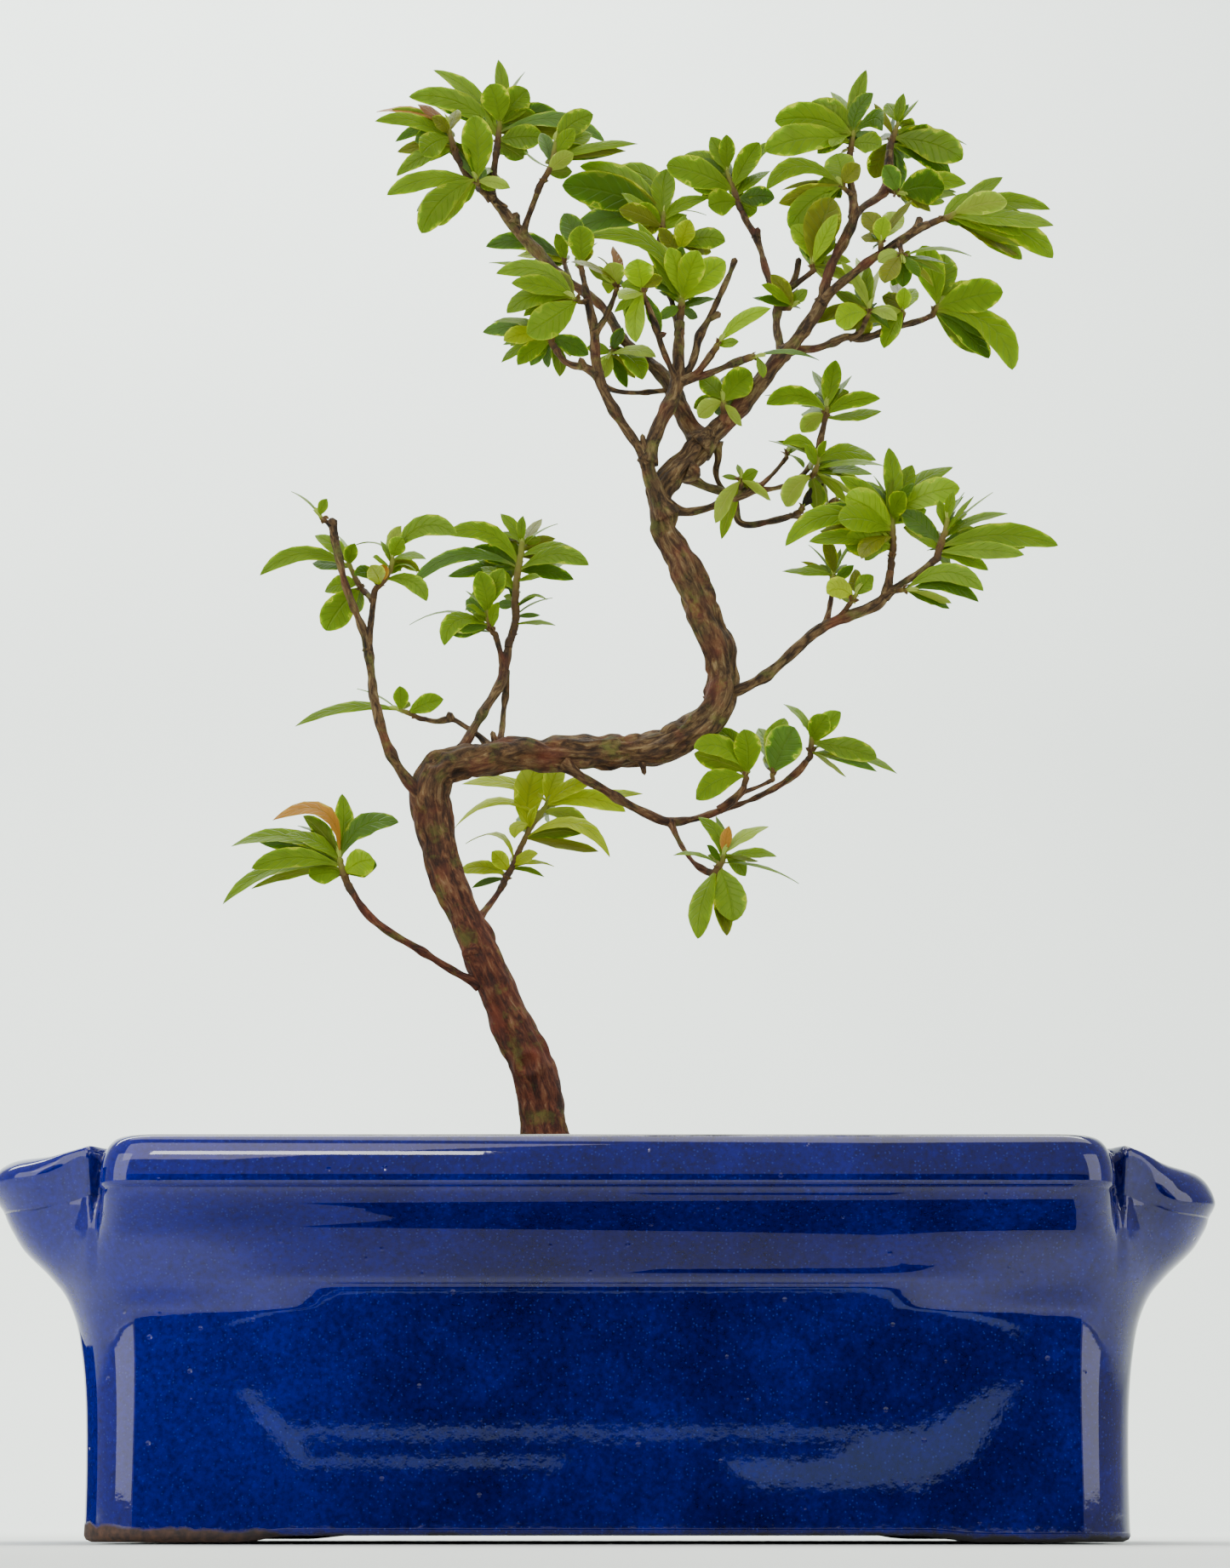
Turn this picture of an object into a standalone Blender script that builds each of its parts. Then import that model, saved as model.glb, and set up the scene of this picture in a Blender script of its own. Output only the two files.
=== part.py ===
"""A satsuki azalea bonsai in a blue glazed pot.

The pot is a loft of plan outlines, the wood a union of tapered limbs, and each leafy shoot a green
stem with blades laid along arched midribs. Limb and leaf places are read in millimetres on the
upright plane through the middle of the pot (x to the right, z up), as seen from the viewing point
EYE; a place at depth y is carried along its line of sight, so the view from the front is kept.
"""
import math

import bmesh
import bpy
import numpy as np
from mathutils.bvhtree import BVHTree

MM = 0.001
SEAT_GAP = 0.35
EYE = np.array((1.5, -641.0, 3.0))

# Pot: the long way is x, the short way is y
RIM_HALF_LENGTH = 120.0
RIM_HALF_DEPTH = 90.0
PANEL_HALF_LENGTH = 97.0
END_HALF_DEPTH = 66.0
LENGTH_FLARE = 18.5
DEPTH_FLARE = 16.0
PANEL_FLARE = 2.5
END_FLARE = 2.0
CORNER_ROUND = 3.2
EAR_ROUND = 7.0
NOTCH_X = 98.5
NOTCH_Y = 67.0
EAR_DROP = 2.5
EAR_DROP_FROM = 50.0
RIM_FULL_DROP = 66.0
FOOT_SPAN_X = 70.0
FOOT_SPAN_Y = 42.0
FOOT_RAMP = 9.0
FOOT_LIFT = 1.2
FOOT_WIDTH = 9.0
FLOOR_UNDER = 2.9
FLOOR_TOP = 8.0
DRAIN_X = 52.0
DRAIN_RADIUS = 11.0

# Walls: height, flare of the ends and of the long sides (1 at the foot, 0 at the rim), notch depth
# (0 to 1), inset
OUTER_LEVELS = (
    (5.0, 1.0, 1.0, 0.0, 0.0), (24.0, 0.965, 1.0, 0.0, 0.0), (37.0, 0.88, 0.998, 0.0, 0.0),
    (44.0, 0.77, 0.99, 0.03, 0.0), (48.5, 0.62, 0.96, 0.16, 0.0), (51.5, 0.47, 0.87, 0.34, 0.0),
    (54.5, 0.31, 0.74, 0.55, 0.0), (58.5, 0.17, 0.51, 0.78, 0.0), (62.0, 0.11, 0.28, 0.93, 0.0),
    (65.2, 0.075, 0.1, 1.0, 0.0), (66.3, 0.01, 0.03, 1.0, 0.0), (73.6, 0.0, 0.0, 1.0, 0.3),
    (76.0, 0.0, 0.0, 1.0, 2.8),
)
INNER_LEVELS = (
    (75.7, 0.0, 0.0, 1.0, 6.4), (73.2, 0.0, 0.0, 1.0, 8.8), (65.5, 0.07, 0.12, 1.0, 8.95),
    (58.0, 0.15, 0.5, 0.97, 9.0), (42.0, 0.8, 0.97, 0.1, 7.6), (8.0, 1.0, 1.0, 0.0, 7.5),
)

SOIL_TOP = 68.0
SOIL_EDGE_TOP = 62.4
SOIL_SHOULDER = 0.8
SOIL_HOLE_BOTTOM = 49.6
PLUG_RADIUS = 7.0
PLUG_BOTTOM = 50.0
TRUNK_X = -12.0
# Root flare on the soil: height, radius
FLARE = ((68.35, 13.0), (70.4, 10.6), (73.6, 8.2), (78.0, 6.6), (83.0, 5.4))
FLARE_LOBES = 5
FLARE_LOBE_SWELL = 0.22

SCREEN_SIDE = 34.0
SCREEN_THICK = 1.2
SCREEN_HOLE = 7.0
SCREEN_PITCH = 10.0
CLIP_RADIUS = 0.7
CLIP_LEG_X = 9.0
CLIP_FOOT_X = 15.5

LIMB_TOLERANCE = 0.6
BLADE_THICK = 0.7
BLADE_FOLD = 0.16
STALK_HALF_WIDTH = 0.33
WELD_STEPS = (0.5, 0.4, 0.3, 0.2, 0.1, 0.04, 0.01, 0.002)
ROOT_SPACING = 0.8
FOLDED_WIDTH = 7.1
SLENDER_WIDTH = 3.7
# Half width along a blade of share s: s to the power LEAF_BASE times (1 - s) to a power that grows from
# BLUNT_TIP as the blade gets narrower than BROAD_WIDTH
LEAF_BASE = 1.1
BLUNT_TIP = 0.65
SLENDER_TIP = 0.06
BROAD_WIDTH = 7.0

# Limbs: name, sides, then points (x, z, depth y, radius)
LIMBS = (
    ("trunk", 8, ((-12.0, 69.2, 0, 7.0), (-12.2, 74, 0, 6.6), (-13.1, 81, 0, 5.7), (-14.2, 88, 0, 5.25),
                  (-16.0, 98, -.5, 4.95), (-18.4, 106, -1, 4.8), (-22.1, 113.5, -1.5, 4.6),
                  (-26.0, 121.5, -2, 4.25), (-29.5, 129.5, -2.4, 4.05), (-32.8, 137, -2.7, 4.0),
                  (-36.3, 144.8, -3, 4.1), (-38.6, 152.5, -3, 4.3), (-40.0, 160, -3, 4.5),
                  (-40.3, 166, -3, 4.7), (-38.4, 170.4, -3, 4.6), (-34.0, 172.3, -2.6, 4.1),
                  (-28.0, 173.4, -2, 3.8), (-20.0, 174.4, -1, 3.7), (-11.0, 174.4, 0, 3.7),
                  (-2.0, 174.5, 1, 3.7), (5.0, 174.7, 2, 4.0), (11.0, 175.6, 2.6, 4.5),
                  (16.5, 178.0, 3, 4.3), (21.5, 181.6, 3, 4.2), (25.2, 186.5, 3, 4.0),
                  (26.3, 192.0, 3, 3.8), (25.6, 198.0, 2, 3.7), (23.3, 205.0, 1, 3.8),
                  (20.8, 212.0, 0, 3.7), (18.0, 219.5, -1, 3.6), (14.4, 226.0, -1.6, 3.5),
                  (12.3, 232.5, -2, 3.4), (12.4, 238.0, -1.6, 3.4), (15.5, 243.0, -.8, 3.4),
                  (19.5, 247.0, .4, 3.5), (23.0, 251.3, 1.2, 3.0))),
    ("bend_knob", 5, ((-39.2, 171, -3.2, 2.2), (-40.4, 175.2, -3.6, 1.1))),
    ("bend_scar", 6, ((-30.6, 128.4, -4.6, 1.8), (-31.0, 128.4, -7.0, 1.3))),
    ("low_left", 5, ((-29, 121, -3.4, 1.3), (-33, 122.9, -5, 1.0), (-38, 125.9, -6.8, .95),
                     (-43.5, 129.4, -8.4, .9), (-49, 132.6, -9.8, .9), (-53.4, 136, -11, .9),
                     (-56.4, 139.4, -11.8, .95), (-58.2, 142.4, -12.2, 1.0))),
    ("behind", 5, ((-30, 135, -1, 1.3), (-27.6, 138.2, 2.4, .85), (-25.6, 140.9, 5, .8),
                   (-24.2, 143.2, 6.8, .8))),
    ("left", 5, ((-40.5, 162.5, -4.2, 2.2), (-44.2, 166, -5.6, 1.6), (-46.6, 169.2, -6.4, 1.35),
                 (-49.2, 173.2, -7.2, 1.25), (-51.3, 178, -7.8, 1.2), (-52.8, 183, -8.2, 1.15),
                 (-54, 188, -8.6, 1.1), (-54.8, 193, -9, 1.1), (-55.4, 198, -9.2, 1.15),
                 (-56.2, 202.4, -9.4, 1.15), (-58.2, 207.2, -9.8, 1.0), (-60.2, 212.2, -10.2, .9),
                 (-61.8, 217.2, -10.4, .9), (-63.1, 222.4, -10.6, .85), (-64.2, 227.4, -10.8, .9),
                 (-64.9, 231.6, -11, 1.15))),
    ("left_spur", 4, ((-64.8, 229.8, -11, .7), (-66.4, 231, -11.4, .5))),
    ("left_inner", 4, ((-55.7, 199, -9.2, 1.0), (-55.3, 204, -9.6, .85), (-54.9, 208.4, -10, .8),
                       (-54.5, 212.6, -10.4, .85))),
    ("left_inner_a", 4, ((-54.8, 211.4, -10.2, .7), (-56.2, 213.0, -8.6, .7))),
    ("inner_left", 5, ((-36, 172.8, -3, 1.7), (-33, 176.8, -1.6, 1.3), (-30.9, 180.6, 0, 1.15),
                       (-28.6, 184.8, 1.6, 1.1), (-26.2, 188.8, 3.2, 1.15), (-24.6, 192, 4.4, 1.2),
                       (-24, 195.6, 5.4, 1.2), (-23.1, 200.6, 6.2, 1.1))),
    ("inner_left_a", 4, ((-24.2, 194, 5, .95), (-25, 198.6, 4.2, .75), (-25.9, 202, 3.4, .7))),
    ("inner_left_back", 4, ((-25.4, 175.4, 1.2, 1.1), (-24.5, 180, 3.4, .8), (-24.1, 185, 5, .75),
                            (-23.6, 190, 6, .8), (-23.6, 195, 6.2, .9))),
    ("inner_left_stub", 4, ((-25.8, 176.4, .8, .9), (-26.8, 180, .2, .6))),
    ("short_left", 4, ((-27, 175.6, .4, 1.2), (-29.6, 178.6, 1.8, .8), (-32.8, 180.9, 3, .7),
                       (-36, 182.7, 4, .75), (-39.6, 182.2, 5, .6), (-42.6, 182.8, 5.8, .6))),
    ("short_left_stub", 4, ((-36, 182.2, 4, .8), (-36.9, 184.5, 3.6, .9))),
    ("under", 5, ((-10.5, 172.4, -1, 1.6), (-5.8, 168.8, -.2, 1.15), (-1, 166, .8, 1.1),
                  (4, 162.8, 1.8, 1.05), (9, 160.2, 2.8, 1.05), (13.6, 158.4, 3.6, 1.1),
                  (18, 158.9, 4.8, .95), (22.5, 160, 6, .85), (27, 161.6, 7.2, .75),
                  (32, 163.4, 8.4, .7), (37, 165.8, 9.6, .7), (40.6, 168, 10.6, .85),
                  (43.6, 170.6, 11.4, .8), (45.6, 173, 11.8, .7))),
    ("under_a", 4, ((25.2, 161.2, 6.8, .8), (28.2, 163.4, 5.6, 1.1), (30.6, 165.8, 4.6, .9),
                    (31.2, 167.6, 4, .7))),
    ("under_b", 4, ((30.2, 165.2, 4.8, .6), (34, 166.6, 5.4, .5), (36.8, 167.9, 6, .5))),
    ("under_low", 4, ((14.2, 158.4, 3.6, .9), (15.4, 155.4, 2.4, .7), (17, 152.2, 1, .65),
                      (19.4, 148.9, -.6, .65), (22, 147, -2, .8), (23.4, 146.5, -2.8, 1.1))),
    ("under_stub", 4, ((7.8, 172.4, 1, .8), (8.3, 169.4, .6, .5))),
    ("right", 5, ((23.5, 185.6, 3, 2.2), (27.5, 188.6, 2.4, 1.5), (32, 190.6, 1, 1.35),
                  (36.5, 193.2, -.6, 1.3), (41, 197.2, -2.4, 1.25), (45.2, 201.2, -4.2, 1.25),
                  (49.5, 204.8, -6, 1.3), (54, 207, -7.8, 1.35), (59, 208.8, -9.6, 1.35),
                  (62.8, 210.8, -11, 1.4), (64.6, 213.4, -11.8, 1.3), (65.4, 217, -12.2, 1.0),
                  (65.8, 219.2, -12.4, .9))),
    ("right_a", 5, ((64.2, 212.4, -11.4, 1.1), (68.4, 215.6, -13.6, .9), (72, 217.9, -15.4, .9),
                    (75.8, 221, -17, .95))),
    ("right_b", 4, ((65.4, 213.6, -11.8, .8), (67.6, 213.8, -14.8, .6))),
    ("right_c", 4, ((53.2, 206.6, -7.4, .9), (55.4, 209.6, -9.8, .6))),
    ("right_d", 4, ((50.2, 205.2, -6.2, .9), (51.2, 209, -4.4, .7), (52, 213.4, -2.4, .65))),
    ("upper_right", 5, ((13.0, 234.6, -1.6, 1.8), (17.5, 233.2, -.4, 1.2), (21.5, 233.6, .8, 1.0),
                        (25.5, 234.9, 2, 1.0), (29.5, 236.4, 3.2, 1.1), (33, 238.3, 4.4, 1.2),
                        (35.8, 239.9, 5.2, 1.2))),
    ("upper_right_a", 4, ((34.2, 238.8, 4.9, .9), (38, 238.8, 6.2, .65), (42, 239.9, 7.8, .65),
                          (46.4, 241.5, 8.6, .7))),
    ("upper_right_b", 4, ((35.4, 239.4, 5.2, .7), (38.8, 242.8, 7.4, .55), (41.4, 246, 9.4, .6))),
    ("upper_right_c", 4, ((43.8, 240.6, 8.4, .65), (46.8, 243.8, 11.8, .7), (49.2, 248.4, 12, .75),
                          (50.3, 252.6, 12, .75), (50.9, 255.2, 12.2, .7))),
    ("upper_right_spur", 4, ((30.4, 236.9, 3.6, .7), (31, 239.2, 2.8, .5))),
    ("trunk_knob", 5, ((18.2, 243.6, -.6, 2.2), (21.6, 242.1, .4, 1.5))),
    ("back_loop", 4, ((18.6, 242, 1.4, 1.4), (22.5, 239.6, 3.4, 1.1), (26, 238.4, 5.6, 1.1),
                      (28.8, 237.2, 7.4, 1.1), (29.7, 233.8, 8.6, 1.0), (30.5, 230.8, 9.6, .9),
                      (33, 229.9, 10.6, .8), (37, 230.6, 11.6, .75), (41, 231.6, 12.6, .75),
                      (44.2, 232.9, 13.4, .8))),
    ("back_loop_a", 4, ((42.6, 232.2, 12.9, .6), (45.8, 232.0, 16.8, .55), (50.4, 234.2, 18.4, .55),
                        (52.2, 235.7, 19, .5))),
    ("thin_loop", 4, ((25.6, 250.6, 2.6, 1.1), (25.8, 246.4, 4.6, .95), (25.2, 243.4, 6, .8),
                      (25.8, 240.4, 6.8, .7), (27.8, 237.6, 7, .8))),
    ("front", 5, ((13.6, 232.0, -2.8, 2.4), (11.2, 238, -5, 2.0), (9.6, 243, -6.4, 1.9),
                  (8.8, 247.6, -7.4, 1.8))),
    ("front_a", 5, ((9.4, 245.2, -7, 1.5), (6.6, 250, -8.2, 1.2), (3.8, 254.4, -9, 1.25),
                    (1.2, 258.8, -9.8, 1.35), (-1, 263.4, -10.4, 1.3), (-2.6, 268.4, -10.8, 1.25),
                    (-3.2, 273.4, -11, 1.2), (-3.5, 278.4, -11, 1.3), (-4.2, 283, -10.8, 1.1),
                    (-5.3, 288, -10.4, 1.0), (-6.2, 293, -10, .8))),
    ("front_a_fork", 4, ((-3.4, 278.2, -11, .95), (-1.2, 281.4, -12.4, .8), (.4, 285, -13.6, .75),
                         (1.6, 288.4, -14.4, .65))),
    ("front_a_low", 4, ((-2.2, 267.2, -10.8, 1.2), (-5.6, 269.4, -9.8, 1.1), (-8.6, 270, -8.8, .9),
                        (-11, 271.6, -7.6, .85), (-12.6, 274.2, -6.4, .8))),
    ("front_a_knob", 4, ((-5.8, 269.2, -9.8, .9), (-6.9, 272, -10.4, .8))),
    ("front_bridge", 4, ((-1.2, 264.8, -10.2, .7), (2, 263.4, -7, .65), (7, 263, -2, .65),
                         (13.6, 263.6, 3.4, .7))),
    ("front_stub", 4, ((8.4, 247.8, -7.6, 1.0), (7.9, 252.8, -8.4, .6))),
    ("front_b", 6, ((9.2, 245.4, -7, 1.8), (10.4, 250.6, -7.2, 1.8), (12, 254.8, -7, 1.8),
                    (13.9, 259, -6.6, 1.8), (15.6, 263, -6.2, 1.8), (16.5, 267, -6, 1.7),
                    (16.6, 272, -6, 1.45), (16.7, 277, -6, 1.35), (17, 281.8, -6, 1.4))),
    ("fan_a", 4, ((16.2, 265.6, -6, 1.3), (20, 266.6, -7.4, 1.0), (25, 268.4, -9.6, .9),
                  (29, 270.2, -11.4, .85), (32.6, 271.6, -13, 1.15))),
    ("fan_b", 4, ((16.4, 266, -6, 1.2), (19.2, 269.2, -5, 1.0), (20.6, 273, -4, 1.05),
                  (21.6, 277.4, -3, 1.1), (24, 282, -2.4, .8), (26.4, 287.4, -1.8, .75),
                  (28.6, 292.6, -1.2, .7), (30.4, 297.6, -.6, 1.0))),
    ("fan_b_knob", 4, ((24.0, 282.0, -2.4, .7), (26.8, 283.3, -1.4, .95))),
    ("fan_c", 4, ((17.4, 266, -6.2, 1.0), (20.6, 267.8, -8.4, .9), (22.8, 270.4, -10.4, .9),
                  (24.9, 273.5, -12.4, 1.2))),
    ("fan_d", 4, ((16.4, 265.4, -6, 1.0), (14.6, 269.6, -8.4, .8), (12.9, 274, -10.8, .85),
                  (11.6, 278.4, -13, .9), (10.2, 283, -15, .75), (8.8, 286.6, -16.2, .7))),
    ("fan_d_knob", 4, ((11.8, 277.4, -12.6, .7), (13.8, 278.2, -13.4, .7))),
    ("centre", 4, ((16.8, 278, -5.8, 1.0), (15.4, 285, -1.5, .8), (14, 291, 3, .8),
                   (12.8, 297, 6.6, .8), (12.4, 302, 8.6, .8))),
    ("back", 5, ((22, 250.2, 1.4, 2.5), (19, 254.8, 2, 2.3), (17.2, 259, 2.8, 2.2),
                 (15.6, 262.8, 3.8, 2.1), (13.6, 266.4, 5.4, 1.8), (10.2, 270.2, 7.5, 1.5),
                 (6.6, 273.4, 9.4, 1.35), (3.2, 276.8, 11, 1.3), (1.2, 280.6, 12.4, 1.2),
                 (-1.2, 284.4, 13.6, 1.15), (-5.2, 288.4, 14.6, 1.15), (-10, 291.6, 15.4, 1.2),
                 (-13.8, 294.8, 16, 1.3), (-16.8, 298.8, 16.4, 1.35), (-19.8, 302.4, 16.6, 1.4),
                 (-23.2, 306.6, 16.6, 1.5), (-26.4, 311, 16.4, 1.3), (-29, 314.2, 16, 1.1))),
    ("back_knob", 4, ((-22.9, 306.2, 16.6, 1.3), (-22.1, 309.6, 16.4, .9))),
    ("back_spine", 4, ((-27.2, 312.2, 16.2, .8), (-25.4, 311.5, 14.8, .5), (-24.2, 310.8, 13.8, .4))),
    ("back_a", 4, ((-28.2, 313.2, 16.2, 1.1), (-31.6, 316.2, 14.2, .95), (-34.4, 319.4, 12.6, .9),
                   (-36.5, 323.4, 11.6, .85))),
    ("back_b", 4, ((-28.4, 313.4, 16.2, 1.1), (-28, 318.4, 18, .95), (-27.2, 325.6, 19.6, .9))),
    ("back_c", 4, ((-20.6, 303.6, 16.4, 1.0), (-19.8, 307, 14.4, .8), (-18.3, 311.4, 11.6, .8),
                   (-17, 315.4, 9, .9))),
    ("back_a_spur", 4, ((-31.2, 315.8, 14.4, .8), (-31.5, 316.6, 11.6, .6))),
    ("back_spur", 4, ((3, 277.2, 11.2, .8), (1.6, 274.8, 9.6, .6))),
    ("back_d", 4, ((-9.2, 291, 15.3, .8), (-10.2, 294.8, 18, .6))),
    ("crown", 6, ((21, 249.2, .8, 2.9), (24.5, 252.6, 1, 2.5), (28.5, 256.3, .6, 2.3),
                  (32, 260.2, 0, 2.1), (35.2, 264.5, -1, 2.0), (38.2, 268.8, -2, 1.9),
                  (41.2, 272.6, -3, 1.9), (44, 275.6, -3.4, 1.7), (47, 279.6, -3.8, 1.6),
                  (49.6, 283.6, -4, 1.6), (51, 287.2, -4, 1.5), (52, 291.5, -4, 1.3),
                  (54, 297, -3.5, 1.2), (56.2, 301.5, -3, 1.1), (58.3, 306, -2.4, 1.1),
                  (59.2, 310.2, -2, 1.1), (58.8, 314.5, -1, .95), (58.4, 319.5, 0, .9),
                  (58.3, 323.4, 1, .9))),
    ("crown_spur", 4, ((58.8, 313.8, -1.2, .8), (57.4, 315.2, -3.2, .6))),
    ("crown_a_spur", 4, ((66.6, 315.6, 4.6, .8), (68.5, 314.9, 2.8, .6))),
    ("crown_d_spur", 4, ((40.2, 284.6, 2.4, .8), (42.4, 284.5, .6, .6))),
    ("centre_spur", 4, ((13.8, 293.6, 4.6, .8), (15.7, 296.6, 2.8, .6))),
    ("front_a_spur", 4, ((-5.1, 286.2, -10.6, .8), (-6.5, 286.2, -12.4, .6))),
    ("crown_stub", 4, ((27.6, 255.4, .4, 1.6), (27.4, 258.4, -1.4, 1.2))),
    ("crown_knob", 4, ((23.4, 252.0, 0, 1.6), (23.4, 254.6, -1.6, 1.0))),
    ("crown_a", 4, ((58.7, 308, -2, 1.0), (61.5, 311, 0, .95), (64.5, 313, 2.5, 1.1),
                    (66.6, 315.2, 4.5, 1.2), (67.4, 319, 6, 1.1), (68.1, 326, 7.4, 1.0))),
    ("crown_b", 5, ((50.4, 285.6, -4, 1.3), (54, 289.6, -5, 1.2), (58, 293, -7, 1.1),
                    (62, 296.4, -9, 1.05), (66.5, 299.6, -10.5, 1.0), (70.5, 302.3, -12, 1.1),
                    (74.5, 305.2, -13.5, 1.1), (78, 306.8, -15, .9))),
    ("crown_b_spur", 4, ((65.2, 298.2, -10.2, .8), (65.3, 300, -11.8, .7))),
    ("crown_b_drop", 4, ((69.8, 302, -11.8, .8), (70.1, 299.6, -13.4, .6))),
    ("crown_b_knob", 4, ((74.0, 304.8, -13.4, 1.0), (75, 308.4, -12.8, .9))),
    ("crown_c", 4, ((40.8, 272.8, -3, 1.4), (45, 274, -2.4, 1.1), (49, 274.2, -1, 1.0),
                    (53, 275.6, .5, 1.0), (56.6, 277.2, 2, 1.0), (60, 276.7, 3.5, .9),
                    (64, 277.9, 5.5, .9), (68, 279.6, 7.5, .9), (74, 281.3, 10, .75),
                    (76.5, 282.4, 11, .7))),
    ("crown_c_spur", 4, ((69.2, 279.8, 8, .7), (70, 282.2, 6.6, .6))),
    ("crown_c_fork", 4, ((57.2, 276.8, 2.2, .8), (60, 278.6, .6, .7), (61.3, 281.6, -.6, .7))),
    ("crown_d", 4, ((41.4, 271.8, -3, 1.4), (40.6, 276, -1.6, 1.1), (40, 280, .4, 1.05),
                    (40.3, 284.5, 2.4, 1.05), (40.6, 287.5, 3.6, 1.0), (38.8, 291, 4.8, .9),
                    (37.4, 295.5, 6.2, .85), (36.3, 300, 7.6, .85), (35.2, 303.5, 8.6, .9),
                    (33.3, 306.8, 9.4, .85), (31.8, 310.2, 10.2, .8))),
    ("crown_d_knob", 4, ((35.4, 302.8, 8.4, .9), (35.9, 305.6, 8.4, .8))),
    ("crown_d_stub", 4, ((40.4, 286.4, 3.2, 1.0), (43, 289.6, 2.2, .85), (44.8, 293, 1.2, .8),
                         (45.7, 297.8, .6, .95))),
    ("crown_d_fork", 4, ((42.4, 288.9, 2.4, .85), (46, 291.8, -.6, .75), (48.3, 293.6, -2.2, .7))),
)

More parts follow.
